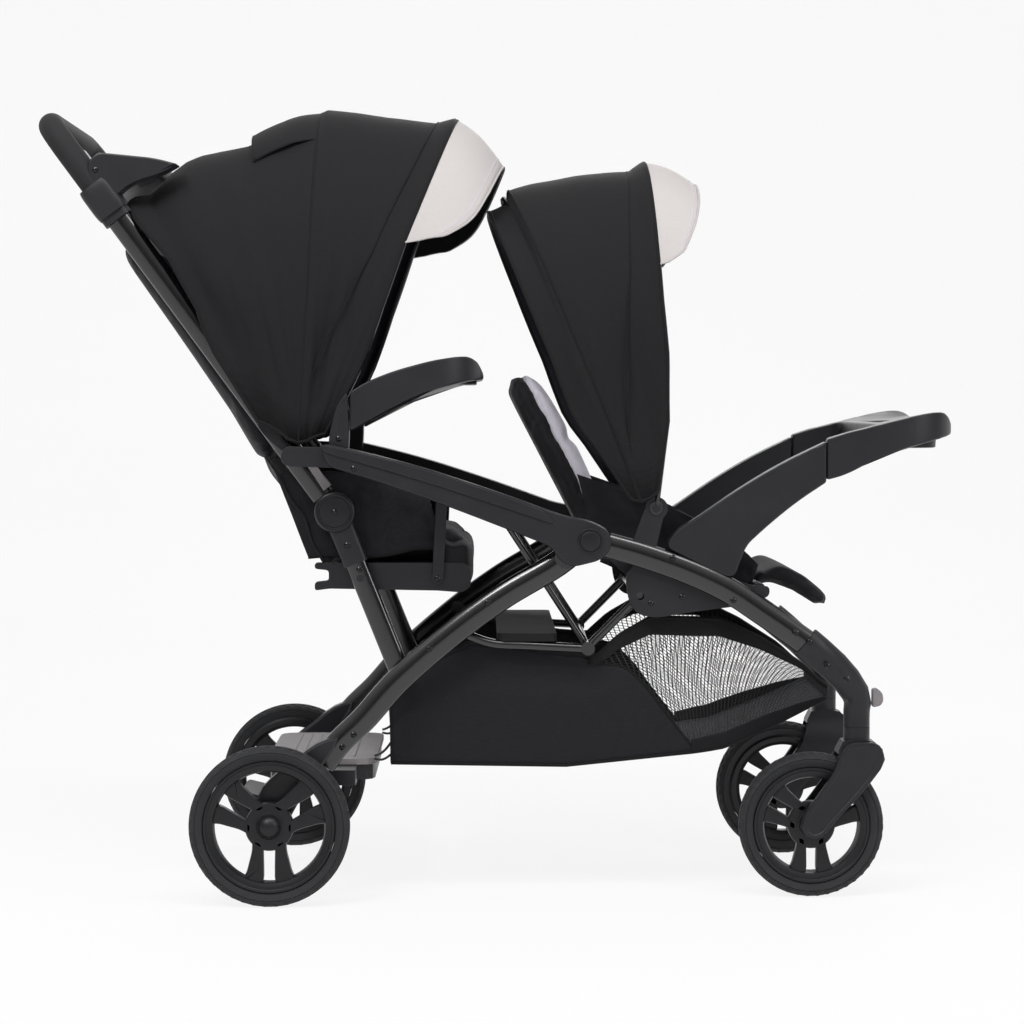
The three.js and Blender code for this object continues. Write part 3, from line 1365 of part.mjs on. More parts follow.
// Handle tubes with their half of the knuckle, the latch strip and the canopy mount
const canopyPivot = new THREE.Vector2(REAR_CANOPY_X, REAR_CANOPY_Z);
const handleWay = knuckle.distanceTo(handleTop);
const tubeEndShare = PARENT_SHARE - 0.01;
const middleBowIn = strutOut + MOUNT_THICK + FIT + FIT;
const frontBowIn = middleBowIn + BOW_PLATE + FIT;
function handleTube() {
  const start = between(knuckle, handleTop, KNUCKLE_START / handleWay);
  const end = between(knuckle, handleTop, tubeEndShare);
  const bar = ovalBar([start, between(start, end, 0.5), end], strutMid, STRUT_WIDE, HANDLE_DEEP, 1);
  const disc = pin(knuckle, KNUCKLE_R, knuckleHalf + FIT / 2, knuckleOut, 28);
  const web = link(knuckle, start, HANDLE_DEEP * 0.9, knuckleHalf + FIT / 2, strutOut);
  const knucklePin = pin(knuckle, PIN_R, knuckleIn, knuckleHalf + BLEND, 10);
  const side = -HANDLE_DEEP / 2 + LATCH_WIDE / 3;
  const strip = link(
    between(knuckle, handleTop, (KNUCKLE_R + LATCH_START) / handleWay, side),
    between(knuckle, handleTop, (KNUCKLE_R + LATCH_LONG) / handleWay, side),
    LATCH_WIDE,
    strutOut - LATCH_THICK,
    strutOut + LATCH_THICK,
  );
  const mountRoot = between(knuckle, handleTop, 0.2);
  const mount = link(mountRoot, canopyPivot, BOW_EYE_R * 2.4, strutOut - BLEND, strutOut + MOUNT_THICK);
  const mountPin = pin(canopyPivot, RIVET_R, strutOut, frontBowIn + BOW_PLATE + BLEND, 10);
  return join(bar, disc, web, knucklePin, strip, mount, mountPin);
}
addPair('handle', 'handle_tube', handleTube(), paint);

// Grip: a foam-covered bar bent across the top of the handle
const gripPoint = (share, y) => {
  const at = between(knuckle, handleTop, share);
  return new THREE.Vector3(at.x, y, at.y);
};
function gripCurve() {
  const path = new THREE.CurvePath();
  const round = HANDLE_CORNER / handleWay;
  const legs = [];
  for (const side of [-1, 1]) {
    legs.push([
      gripPoint(PARENT_SHARE, side * strutMid),
      gripPoint(1 - round, side * strutMid),
      gripPoint(1, side * strutMid),
      gripPoint(1, side * (strutMid - HANDLE_CORNER)),
    ]);
  }
  const [near, far] = legs;
  path.add(new THREE.LineCurve3(near[0], near[1]));
  path.add(new THREE.QuadraticBezierCurve3(near[1], near[2], near[3]));
  path.add(new THREE.LineCurve3(near[3], far[3]));
  path.add(new THREE.QuadraticBezierCurve3(far[3], far[2], far[1]));
  path.add(new THREE.LineCurve3(far[1], far[0]));
  return path;
}
class PathCurve extends THREE.Curve {
  constructor(path) {
    super();
    this.path = path;
  }

  getPoint(t) {
    return this.path.getPoint(t);
  }
}
const gripPath = new PathCurve(gripCurve());
add('handle', 'handle_grip', cut(
  roundBar(gripPath, GRIP_R, 30, 10),
  ...[-TRIGGER_STEM_Y, TRIGGER_STEM_Y].map((y) => alongHandle(
    TRIGGER_STEM_R + 2 * FIT,
    GRIP_R - TRIGGER_STEM_IN - TRIGGER_GAP - RUN,
    GRIP_R + OVERRUN,
    y,
  )),
), foam);

// Parent tray: cups and a shallow trough between two blocks that clamp both tubes and the grip's feet
function parentTray() {
  const middle = between(knuckle, handleTop, PARENT_SHARE);
  const half = PARENT_BLOCK_LONG / 2 / handleWay;
  const block = plate(
    rounded([
      between(knuckle, handleTop, PARENT_SHARE - half, PARENT_BLOCK_DEEP / 2),
      between(knuckle, handleTop, PARENT_SHARE + half, PARENT_BLOCK_DEEP / 2),
      between(knuckle, handleTop, PARENT_SHARE + half, -PARENT_BLOCK_DEEP / 2),
      between(knuckle, handleTop, PARENT_SHARE - half, -PARENT_BLOCK_DEEP / 2),
    ], BLOCK_ROUND),
    strutMid - GRIP_R - PARENT_WALL,
    strutMid + GRIP_R + PARENT_WALL,
    BLOCK_EDGE,
  );
  const back = PARENT_FRONT_X - PARENT_LONG;
  const low = PARENT_TOP_Z - PARENT_DEEP;
  const arm = brick(
    middle.x - TRAY_ARM_BACK,
    PARENT_FRONT_X - PARENT_LONG / 2,
    -strutMid,
    -PARENT_HALF + TRAY_ARM_LAP,
    PARENT_TOP_Z - PARENT_DEEP * 0.8,
    PARENT_TOP_Z - PARENT_DEEP * 0.3,
  );
  const over = PARENT_TOP_Z + OVERRUN;
  const bowl = flat(back, PARENT_FRONT_X, PARENT_HALF, low, PARENT_TOP_Z, BOWL_ROUND);
  const trough = flat(
    back + PARENT_WALL,
    PARENT_FRONT_X - PARENT_WALL,
    PARENT_HALF * 0.36,
    low + PARENT_WALL,
    over,
    TROUGH_ROUND,
  );
  const cupX = (back + PARENT_FRONT_X) / 2;
  const cupLow = low + PARENT_WALL;
  const cups = [-PARENT_CUP_Y, PARENT_CUP_Y].map((y) => upright(cupX, y, PARENT_CUP_R, cupLow, over));
  const tubeEnd = between(knuckle, handleTop, tubeEndShare + FIT / handleWay);
  const tubeStart = between(knuckle, handleTop, PARENT_SHARE - 3 * half);
  const tubePath = [tubeStart, between(tubeStart, tubeEnd, 0.5), tubeEnd];
  const tubeRoom = ovalBar(tubePath, strutMid, STRUT_WIDE, HANDLE_DEEP, 1, FIT);
  const gripFoot = gripPoint(PARENT_SHARE - FIT / handleWay, -strutMid);
  const gripRoom = roundBar(new THREE.LineCurve3(gripFoot, gripPoint(1, -strutMid)), GRIP_R + 2 * FIT, 1, 16);
  const rooms = [tubeRoom, gripRoom];
  const tray = join(block, arm, bowl, mirrored(block), mirrored(arm));
  return cut(tray, trough, ...cups, ...rooms, ...rooms.map(mirrored));
}
add('handle', 'parent_tray', parentTray(), plastic);

// Fold trigger: a finger bar on two stems that run up into the grip
function alongHandle(radius, from, to, y) {
  const geometry = new THREE.CylinderGeometry(radius, radius, to - from, 10);
  geometry.translate(0, -(from + to) / 2, 0);
  const way = handleTop.clone().sub(knuckle);
  geometry.rotateX(Math.PI / 2);
  geometry.rotateY(Math.PI / 2 - way.angle());
  geometry.translate(handleTop.x, y, handleTop.y);
  return geometry;
}

function foldTrigger() {
  const start = GRIP_R + TRIGGER_GAP + TRIGGER_THICK / 2;
  const near = between(knuckle, handleTop, 1 - start / handleWay);
  const far = between(knuckle, handleTop, 1 - (start + TRIGGER_WIDE) / handleWay);
  const body = link(near, far, TRIGGER_THICK, -TRIGGER_LONG / 2, TRIGGER_LONG / 2);
  const stemTop = GRIP_R - TRIGGER_STEM_IN;
  const stems = [-TRIGGER_STEM_Y, TRIGGER_STEM_Y].map((y) => alongHandle(TRIGGER_STEM_R, stemTop, start, y));
  return join(body, ...stems);
}
add('handle', 'fold_trigger', foldTrigger(), grey);

// Rear seat frame: two bars joined by cross tubes, turning on the struts
const seatBarShares = [
  [0, 1], [0.78, 1], [0.96, 1], [1, 0.8], [1, 0.2], [0.944, 0], [0.781, 0.067], [0.094, 0.133], [0, 0.067],
  [0, 0.35], [0.09, 0.4], [0.09, 0.75], [0, 0.8],
];
function rearSeatFrame() {
  const outline = boxShares(SEAT_BAR_X, SEAT_BAR_Z, SEAT_BAR_LONG, SEAT_BAR_TALL, seatBarShares);
  const bar = plate(rounded(outline, SEAT_BAR_ROUND), seatBarIn, seatBarOut);
  const pivot = pin(seatPivot, RIVET_R, seatBarIn + BLEND, strutOut, 16);
  const spacer = pin(seatPivot, BOSS_R, seatBarOut - BLEND, strutIn - FIT, 12);
  const footBoss = pin(hangerFoot, BOSS_R, seatBarOut - BLEND, hangerIn - FIT, 12);
  const crossAt = [0.16, 0.9].map((share) => new THREE.Vector2(
    SEAT_BAR_X + share * SEAT_BAR_LONG,
    SEAT_BAR_Z + SEAT_BAR_TALL / 2,
  ));
  const crosses = crossAt.map((at) => pin(at, SEAT_CROSS_R, -seatBarIn - BLEND, seatBarIn + BLEND, 10));
  const board = flat(
    SEAT_BAR_X + SEAT_BAR_LONG * 0.1,
    SEAT_BAR_X + SEAT_BAR_LONG * 0.94,
    seatBarIn + BLEND,
    SEAT_BAR_Z + SEAT_BAR_TALL - SEAT_BOARD_THICK,
    SEAT_BAR_Z + SEAT_BAR_TALL,
    BLEND,
  );
  const right = [bar, pivot, spacer, footBoss];
  return join(...right, ...right.map(mirrored), ...crosses, board);
}
add('rear_seat', 'rear_seat_frame', rearSeatFrame(), plastic);

function rearCushion() {
  const geometry = pad(REAR_CUSHION_LONG, rearCushionHalf, REAR_CUSHION_THICK, 2);
  geometry.translate(REAR_CUSHION_X, 0, SEAT_BAR_Z + SEAT_BAR_TALL + CUSHION_GAP);
  return geometry;
}
add('rear_seat', 'rear_seat_cushion', rearCushion(), fabric);

// Seat hangers: straps from the rails to the front of the seat
function seatHanger() {
  const strap = link(hangerTop, hangerFoot, HANGER_DEEP, hangerIn, hangerOut);
  return cut(strap, hole(hangerTop, RIVET_R - BLEND + FIT, hangerIn - OVERRUN, hangerOut + OVERRUN, 10));
}
addPair('rear_seat', 'seat_hanger', seatHanger(), plastic);

// Rear seat back: sling between the handle tubes, bowed to the rear
function rearSeatBack() {
  const columns = 8;
  const rows = 10;
  const grid = (shift) => {
    const table = [];
    for (let r = 0; r <= rows; r += 1) {
      const t = r / rows;
      const share = REAR_BACK_LOW_SHARE + (REAR_BACK_HIGH_SHARE - REAR_BACK_LOW_SHARE) * t;
      const line = [];
      for (let c = 0; c <= columns; c += 1) {
        const v = (2 * c) / columns - 1;
        const sag = REAR_BACK_SAG * (1 - v * v) * (1 - 0.5 * t) + shift;
        const at = between(knuckle, handleTop, share, sag);
        line.push(new THREE.Vector3(at.x, v * (strutIn - RUN), at.y));
      }
      table.push(line);
    }
    return table;
  };
  return sheet(grid(REAR_BACK_THICK / 2), grid(-REAR_BACK_THICK / 2));
}
add('handle', 'rear_seat_back', rearSeatBack(), fabric);

// Basket tubes and stay rod
function roundSide(points, mid, radius, steps) {
  return ovalBar(points, mid, 2 * radius, 2 * radius, steps);
}

const rearTubeShares = [[0.13, -0.5], [0.3, -0.92], [0.55, -0.6]];
const rearTubeBend = alongShares(basketRear, basketCorner, BASKET_DROP, rearTubeShares);
const rearTubePath = [basketRear, ...rearTubeBend, basketCorner];
const benchCross = rearTubePath[3];
function basketRearTube() {
  const bar = roundSide(rearTubePath, BASKET_REAR_MID, BASKET_TUBE_R, 7);
  const inner = BASKET_REAR_MID - BASKET_TUBE_R;
  const cornerEye = pin(basketCorner, BASKET_EYE_R, inner, BASKET_REAR_MID + BASKET_TUBE_R, 20);
  const rearEye = pin(basketRear, BASKET_EYE_R, inner, legIn - FIT, 12);
  const rivet = pin(basketRear, RIVET_R, BASKET_REAR_MID, legOut + FIT + BLEND, 10);
  const head = pin(basketRear, HEAD_R, legOut + FIT, legOut + FIT + HEAD_TALL, 10);
  const cross = pin(benchCross, BASKET_TUBE_R, -BASKET_REAR_MID, BASKET_REAR_MID, 10);
  const right = [bar, cornerEye, rearEye, rivet, head];
  return join(...right, ...right.map(mirrored), cross);
}
add('basket', 'basket_rear_tube', basketRearTube(), paint);

function basketFrontTube() {
  const path = [basketFront, between(basketFront, basketCorner, 0.5), basketCorner];
  const bar = roundSide(path, BASKET_FRONT_MID, BASKET_TUBE_R, 1);
  const inner = BASKET_FRONT_MID - BASKET_TUBE_R;
  const outer = BASKET_REAR_MID - BASKET_TUBE_R - FIT;
  const cornerEye = pin(basketCorner, BASKET_EYE_R, inner, outer, 12);
  const topEye = pin(basketFront, BASKET_EYE_R, inner, plateIn - FIT, 12);
  const rivet = pin(basketFront, RIVET_R, inner, plateOut, 16);
  const cross = pin(basketFront, BASKET_TUBE_R, -BASKET_FRONT_MID, BASKET_FRONT_MID, 16);
  const right = [bar, cornerEye, topEye, rivet];
  return join(...right, ...right.map(mirrored), cross);
}
add('basket', 'basket_front_tube', basketFrontTube(), paint);

function stayRod() {
  const bar = roundSide([stayTop, between(stayTop, basketCorner, 0.5), basketCorner], STAY_MID, STAY_R, 1);
  const inner = STAY_MID - STAY_R;
  const topEye = pin(stayTop, BASKET_EYE_R, inner, STAY_MID + STAY_R, 20);
  const bored = hole(stayTop, RIVET_R - BLEND + FIT, inner - OVERRUN, STAY_MID + STAY_R + OVERRUN, 10);
  const lowEye = pin(basketCorner, BASKET_EYE_R, inner, BASKET_FRONT_MID - BASKET_TUBE_R - FIT, 12);
  const cross = pin(basketCorner, STAY_R, -STAY_MID, STAY_MID, 16);
  const right = [cut(join(bar, topEye), bored), lowEye];
  return join(...right, ...right.map(mirrored), cross);
}
add('basket', 'stay_rod', stayRod(), paint);

// Bench for the standing child, clipped over the basket's rear tubes
function benchSeat() {
  const half = BASKET_REAR_MID + BASKET_TUBE_R;
  const board = flat(BENCH_X, BENCH_X + BENCH_LONG, half, BENCH_Z, BENCH_Z + BENCH_THICK, BENCH_ROUND);
  const room = ovalBar(rearTubePath, BASKET_REAR_MID, 2 * BASKET_TUBE_R, 2 * BASKET_TUBE_R, 7, FIT);
  const crossRoom = hole(benchCross, BASKET_TUBE_R + FIT, -BASKET_REAR_MID, BASKET_REAR_MID);
  return cut(board, room, mirrored(room), crossRoom);
}
add('basket', 'bench_seat', benchSeat(), plastic);

// Basket: a sewn bag, open at the top, wider at its rim and narrower at its nose
const basketFrontShares = [
  [0, 0.02], [0.4, 0], [0.69, 0.08], [0.74, 0.1], [1, 0.4], [1, 0.46], [0.9, 0.62], [0.8, 0.84], [0.74, 0.93],
];
const basketBesideTubeShares = [[0.892, -3.86], [0.394, -0.95], [-0.026, -2.08]];
const basketRearShares = [[0.41, 0.72], [0.2, 0.76], [0.15, 0.79], [0.02, 0.5]];
const basketHollowShares = [
  [0.006, 0.035], [0.4, 0.015], [0.685, 0.095], [0.735, 0.115], [0.994, 0.41], [0.994, 0.6], [0.8, 1.2],
  [0.1, 1.2], [0.1, 0.79], [0.026, 0.5],
];
function basketBag() {
  const laid = (shares) => boxShares(BASKET_X, BASKET_Z, BASKET_LONG, BASKET_TALL, shares);
  const beside = alongShares(basketCorner, basketFront, BASKET_TUBE_R + RIM_GAP, basketBesideTubeShares);
  const outside = [...laid(basketFrontShares), ...beside, ...laid(basketRearShares)];
  const form = (profile, inset) => {
    const wide = BASKET_TOP_HALF - inset;
    const low = BASKET_LOW_HALF - inset;
    const nose = BASKET_NOSE_HALF - inset;
    const side = plate(new THREE.Shape(profile), -wide, wide);
    const cross = new THREE.Shape([
      new THREE.Vector2(-low, BASKET_Z - OVERRUN),
      new THREE.Vector2(low, BASKET_Z - OVERRUN),
      new THREE.Vector2(wide, BASKET_Z + BASKET_TALL * 0.6),
      new THREE.Vector2(wide, BASKET_Z + BASKET_TALL * 2),
      new THREE.Vector2(-wide, BASKET_Z + BASKET_TALL * 2),
      new THREE.Vector2(-wide, BASKET_Z + BASKET_TALL * 0.6),
    ]);
    const front = new THREE.ExtrudeGeometry(cross, { depth: BASKET_LONG * 1.2, bevelEnabled: false });
    front.rotateX(Math.PI / 2);
    front.rotateZ(Math.PI / 2);
    front.translate(BASKET_X - BASKET_LONG * 0.1, 0, 0);
    const end = BASKET_X + BASKET_LONG;
    const tapered = new THREE.Shape([
      new THREE.Vector2(BASKET_X - OVERRUN, -wide),
      new THREE.Vector2(BASKET_X + BASKET_LONG * 0.72, -wide),
      new THREE.Vector2(end + OVERRUN, -nose),
      new THREE.Vector2(end + OVERRUN, nose),
      new THREE.Vector2(BASKET_X + BASKET_LONG * 0.72, wide),
      new THREE.Vector2(BASKET_X - OVERRUN, wide),
    ]);
    const top = new THREE.ExtrudeGeometry(tapered, { depth: BASKET_TALL * 2, bevelEnabled: false });
    top.translate(0, 0, BASKET_Z - OVERRUN);
    return meet(side, front, top);
  };
  return cut(form(outside, 0), form(laid(basketHollowShares), BASKET_WALL));
}
add('basket', 'basket_bag', basketBag(), fabric);

// Stiff board on the bottom of the bag
const floorX = BASKET_X + FLOOR_BACK_SHARE * BASKET_LONG;
const floorEndX = BASKET_X + FLOOR_FRONT_SHARE * BASKET_LONG;
const floorZ = BASKET_Z + FLOOR_UP_SHARE * BASKET_TALL;
const floorHalf = BASKET_LOW_HALF - FLOOR_ROOM;
const floorBoard = flat(floorX, floorEndX, floorHalf, floorZ, floorZ + FLOOR_THICK, BLEND);
add('basket', 'basket_floor', floorBoard, plastic);

// Rear tray on the rails' posts
const rearTrayShares = [
  [0, 0.527], [0.12, 0.662], [0.308, 0.791], [0.504, 0.892], [0.662, 0.959], [0.868, 1], [0.95, 0.92],
  [1, 0.76], [0.895, 0.676], [0.707, 0.595], [0.504, 0.473], [0.256, 0.257], [0.023, 0],
];
function rearTray() {
  const profile = boxShares(REAR_TRAY_X, REAR_TRAY_Z, REAR_TRAY_LONG, REAR_TRAY_TALL, rearTrayShares);
  const side = plate(new THREE.Shape(profile), -REAR_TRAY_OUT, REAR_TRAY_OUT);
  const end = REAR_TRAY_X + REAR_TRAY_LONG;
  const top = REAR_TRAY_Z + REAR_TRAY_TALL + OVERRUN;
  const shape = trayPlan(
    REAR_TRAY_X,
    end,
    REAR_TRAY_IN,
    REAR_TRAY_OUT,
    REAR_TRAY_BAR,
    REAR_TRAY_CORNER,
    REAR_TRAY_Z - OVERRUN,
    top,
  );
  const cupX = end - REAR_TRAY_BAR / 2;
  const cupTop = REAR_TRAY_Z + REAR_TRAY_TALL * 0.8;
  const cups = [-CUP_Y, CUP_Y].map((y) => upright(cupX, y, CUP_R + CUP_WALL, REAR_CUP_LOW_Z, cupTop));
  const wells = [-CUP_Y, CUP_Y].map((y) => upright(cupX, y, CUP_R, REAR_CUP_LOW_Z + CUP_WALL, top));
  const snack = flat(cupX - CUP_R, cupX + CUP_R * 0.8, SNACK_HALF, cupTop - SNACK_DEEP * 0.4, top, CUP_R / 2);
  const stubMid = (REAR_TRAY_IN + REAR_TRAY_OUT) / 2;
  const stubZ = TRAY_POST_Z + TRAY_POST_TALL * 0.62;
  const socket = [-stubMid, stubMid].map((y) => brick(
    REAR_TRAY_X - OVERRUN,
    REAR_TRAY_X + TRAY_STUB + FIT,
    y - STUB_WIDE / 2 - FIT,
    y + STUB_WIDE / 2 + FIT,
    stubZ - STUB_TALL / 3 - FIT,
    stubZ + STUB_TALL / 3 + FIT,
  ));
  return cut(join(meet(side, shape), ...cups), ...wells, snack, ...socket);
}
add('rails', 'rear_tray', rearTray(), plastic);

// Rear canopy
function bowPiece(centre, degrees, radius, half, eyeIn) {
  const { hoop, foot } = bow(centre, degrees, radius, half, eyeIn);
  return join(hoop, foot, mirrored(foot));
}
const rearRadiusShares = [
  [63, 1.085], [67, 1.06], [77, 1.012], [87.5, 1.015], [95, 0.985], [103, 0.935], [115, 0.95], [131, 0.95],
];
const rearStops = [0, 0.0833, 0.2, 0.3, 0.41, 0.521, 0.66, 0.8, 0.9, 1];
const bowDepth = FABRIC_THICK + BOW_R + BOW_SINK;
const bowRadius = (radius, shares, degrees) => radius * readShare(shares, degrees) - bowDepth;
const middleBowR = bowRadius(REAR_CANOPY_R, rearRadiusShares, REAR_MIDDLE_DEG);
const frontBowR = bowRadius(REAR_CANOPY_R, rearRadiusShares, REAR_FRONT_DEG);
add('canopies', 'rear_canopy_middle_bow',
  bowPiece(canopyPivot, REAR_MIDDLE_DEG, middleBowR, middleBowIn + BOW_PLATE / 2, middleBowIn), paint);
add('canopies', 'rear_canopy_front_bow',
  bowPiece(canopyPivot, REAR_FRONT_DEG, frontBowR, frontBowIn + BOW_PLATE / 2, frontBowIn), paint);

const frontHalf = frontBowIn + BOW_PLATE;
const rearFabric = canopy(
  canopyPivot,
  REAR_CANOPY_R,
  frontHalf + BOW_R + FABRIC_CLEAR + FABRIC_THICK,
  REAR_CANOPY_LOW,
  REAR_EDGE_DEG,
  (side) => REAR_TOP_DEG + (REAR_SIDE_DEG - REAR_TOP_DEG) * side,
  (angle) => readShare(rearRadiusShares, angle),
  rearStops,
);
add('canopies', 'rear_canopy_fabric', rearFabric, fabric);

// Front canopy: clips on the front legs carry a fixed rear bow and the turning front bow
const frontPivot = new THREE.Vector2(FRONT_CANOPY_X, FRONT_CANOPY_Z);
const frontRadiusShares = [
  [88, 1.035], [90.5, 1.02], [94, 1.015], [103, 1.03], [113, 1.055], [115.5, 1.04], [119, 1.02],
];
const frontStops = [0, 0.0667, 0.3, 0.55, 0.75, 0.9, 1];
const frontEyeIn = CLIP_OUT + FIT;
function frontCanopyMount() {
  const block = cut(
    join(
      pin(frontPivot, CLIP_DISC_R, CLIP_IN, CLIP_OUT, 24),
      plate(rounded([
        new THREE.Vector2(FRONT_CANOPY_X - CLIP_WIDE, HUB_Z - TUBE_DEEP / 2),
        new THREE.Vector2(FRONT_CANOPY_X - CLIP_WIDE / 6, HUB_Z - TUBE_DEEP),
        new THREE.Vector2(FRONT_CANOPY_X + CLIP_DISC_R * 0.8, FRONT_CANOPY_Z),
        new THREE.Vector2(FRONT_CANOPY_X - CLIP_DISC_R, FRONT_CANOPY_Z),
      ], CLIP_ROUND), CLIP_IN, CLIP_OUT),
    ),
    frontLegBar(FIT),
    plate(new THREE.Shape([
      hub,
      ...frontLegLine,
      new THREE.Vector2(elbow.x, hub.y - TUBE_DEEP * 5),
      new THREE.Vector2(hub.x, hub.y - TUBE_DEEP * 5),
    ]), CLIP_IN - OVERRUN, CLIP_OUT + OVERRUN),
  );
  const axis = pin(frontPivot, RIVET_R, CLIP_OUT - BLEND, frontEyeIn + BOW_PLATE + BLEND, 10);
  const hoopR = bowRadius(FRONT_CANOPY_R, frontRadiusShares, FRONT_REAR_DEG);
  const { hoop } = bow(frontPivot, FRONT_REAR_DEG, hoopR, CLIP_IN + BOW_R + BLEND, CLIP_IN);
  const angle = deg(FRONT_REAR_DEG);
  const way = new THREE.Vector2(Math.cos(angle), Math.sin(angle));
  const end = frontPivot.clone().addScaledVector(way, BOW_STRAP);
  const foot = link(frontPivot, end, BOW_STRAP_WIDE, CLIP_IN, CLIP_IN + BOW_PLATE * 2);
  const right = [block, axis, foot];
  return join(...right, ...right.map(mirrored), hoop);
}
add('canopies', 'front_canopy_mount', frontCanopyMount(), plastic);
add('canopies', 'front_canopy_front_bow',
  bowPiece(frontPivot, FRONT_BOW_DEG, bowRadius(FRONT_CANOPY_R, frontRadiusShares, FRONT_BOW_DEG),
    frontEyeIn + BOW_PLATE / 2, frontEyeIn), paint);

const frontFabric = canopy(
  frontPivot,
  FRONT_CANOPY_R,
  frontEyeIn + BOW_PLATE + BOW_R + FABRIC_CLEAR + FABRIC_THICK,
  FRONT_CANOPY_LOW,
  FRONT_EDGE_DEG,
  () => FRONT_HEM_DEG,
  (angle) => readShare(frontRadiusShares, angle),
  frontStops,
);
add('canopies', 'front_canopy_fabric', frontFabric, fabric);

// Visors: stiffened brims that start just ahead of each canopy's front edge
function visor(centre, edgeDeg, radius, half, dropDeg, long) {
  const rows = 14;
  const columns = 3;
  const grid = (inset) => {
    const table = [];
    for (let c = 0; c <= columns; c += 1) {
      const line = [];
      for (let r = 0; r <= rows; r += 1) {
        const span = (r / rows - 0.5) * VISOR_SPAN_SHARE * Math.PI;
        const turn = Math.PI / 2 + span;
        const [up, out] = hoopShare(turn);
        const fade = Math.sqrt(Math.max(0, 1 - ((2 * r) / rows - 1) ** 2)) * 0.92 + 0.08;
        const reach = (c / columns) * long * fade + FIT;
        const angle = deg(edgeDeg);
        const away = deg(edgeDeg - 90 - dropDeg * (c / columns));
        const curl = inset * (0.4 + 0.6 * up);
        line.push(new THREE.Vector3(
          centre.x + (radius - curl) * up * Math.cos(angle) + reach * Math.cos(away),
          -(half - inset) * out,
          centre.y + (radius - curl) * up * Math.sin(angle) + reach * Math.sin(away),
        ));
      }
      table.push(line);
    }
    return table;
  };
  return sheet(grid(0), grid(FABRIC_THICK));
}
const rearVisorR = REAR_CANOPY_R * rearRadiusShares[0][1];
const frontVisorR = FRONT_CANOPY_R * frontRadiusShares[0][1];
const rearVisorHalf = frontHalf + BOW_R + FABRIC_CLEAR;
const frontVisorHalf = frontEyeIn + BOW_PLATE + BOW_R;
const rearBrimRoot = [canopyPivot, REAR_EDGE_DEG, rearVisorR, rearVisorHalf];
const frontBrimRoot = [frontPivot, FRONT_EDGE_DEG, frontVisorR, frontVisorHalf];
const rearVisor = visor(...rearBrimRoot, REAR_VISOR_DROP_DEG, VISOR_LONG);
const frontVisor = visor(...frontBrimRoot, FRONT_VISOR_DROP_DEG, VISOR_LONG);
add('canopies', 'rear_canopy_visor', rearVisor, cream);
add('canopies', 'front_canopy_visor', frontVisor, cream);

export default stroller;
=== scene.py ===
"""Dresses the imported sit-and-stand stroller: tubes, shells, wheels, canopies, seats and basket."""
import math

import bmesh
import bpy
from bpy.props import FloatProperty, IntProperty, PointerProperty
from mathutils import Matrix, Vector, noise
from mathutils.kdtree import KDTree


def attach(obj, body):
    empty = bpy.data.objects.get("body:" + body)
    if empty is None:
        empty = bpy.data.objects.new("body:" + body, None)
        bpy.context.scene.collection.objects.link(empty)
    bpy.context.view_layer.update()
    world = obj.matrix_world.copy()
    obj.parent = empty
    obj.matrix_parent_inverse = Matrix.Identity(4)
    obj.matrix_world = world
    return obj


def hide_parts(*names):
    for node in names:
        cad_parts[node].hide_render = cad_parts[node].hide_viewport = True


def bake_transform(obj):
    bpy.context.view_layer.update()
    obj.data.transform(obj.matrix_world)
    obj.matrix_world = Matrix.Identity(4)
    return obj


bl_info = {
    "name": "Tandem Stroller Dressing",
    "version": (1, 0, 0),
    "blender": (4, 5, 0),
    "location": "View3D > Sidebar > Stroller",
    "description": "Builds the visible pieces of a two-child stroller round its packed frame",
    "category": "Object",
}

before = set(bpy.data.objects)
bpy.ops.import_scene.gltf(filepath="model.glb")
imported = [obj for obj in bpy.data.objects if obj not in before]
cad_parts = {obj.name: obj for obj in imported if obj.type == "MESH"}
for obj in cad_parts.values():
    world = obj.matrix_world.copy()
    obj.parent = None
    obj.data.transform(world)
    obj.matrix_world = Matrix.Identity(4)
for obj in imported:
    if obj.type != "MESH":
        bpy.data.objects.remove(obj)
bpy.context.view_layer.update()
MM = 0.001
SIDES = (("right", -1.0), ("left", 1.0))

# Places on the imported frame, in millimetres seen from the side: forward, then up
HUB = (118, 472)
KNUCKLE = (-213, 508)
HANDLE_TOP = (-585, 1013)
STRUT_FOOT = (-127, 294)
LEG_FOOT = (-229, 180)
ELBOW = (415, 326)
RAIL_END = (-268, 581)
REAR_AXLE = (-296, 104)
FRONT_AXLE = (412, 95)
BASKET_REAR = (-57, 354)
BASKET_CORNER = (117, 329)
BASKET_FRONT = (185, 398)
STAY_TOP = (6, 500)
HANGER_TOP = (-77, 527.6)
RECLINE = (150, 448)
LEG_Y = 218
STRUT_Y = 197
STRUT_WAY = math.dist(KNUCKLE, STRUT_FOOT)
HANDLE_WAY = math.dist(KNUCKLE, HANDLE_TOP)
CUP_Y = 112


class StrollerSizes(bpy.types.PropertyGroup):
    """Sizes that shape the sewn and moulded pieces"""

    tube_wide: FloatProperty(name="Tube width", description="Oval tube across the stroller",
                             default=0.019, unit="LENGTH")
    leg_deep: FloatProperty(name="Leg depth", description="Oval leg tube seen from the side",
                            default=0.034, unit="LENGTH")
    grip_radius: FloatProperty(name="Grip radius", description="Foam grip on the handle bar",
                               default=0.0168, unit="LENGTH")
    cloth_thick: FloatProperty(name="Cloth thickness", description="Canopy cloth with its lining",
                               default=0.0014, unit="LENGTH")
    tyre_band: FloatProperty(name="Tyre band", description="Tyre seen from the side",
                             default=0.018, unit="LENGTH")
    notch_count: IntProperty(name="Tread notches", description="Notches round each tyre shoulder",
                             default=44)
    swell: FloatProperty(name="Pad swell", description="How far a pad's skin may swell",
                         default=0.009, unit="LENGTH")


def sizes():
    return bpy.context.scene.stroller_sizes


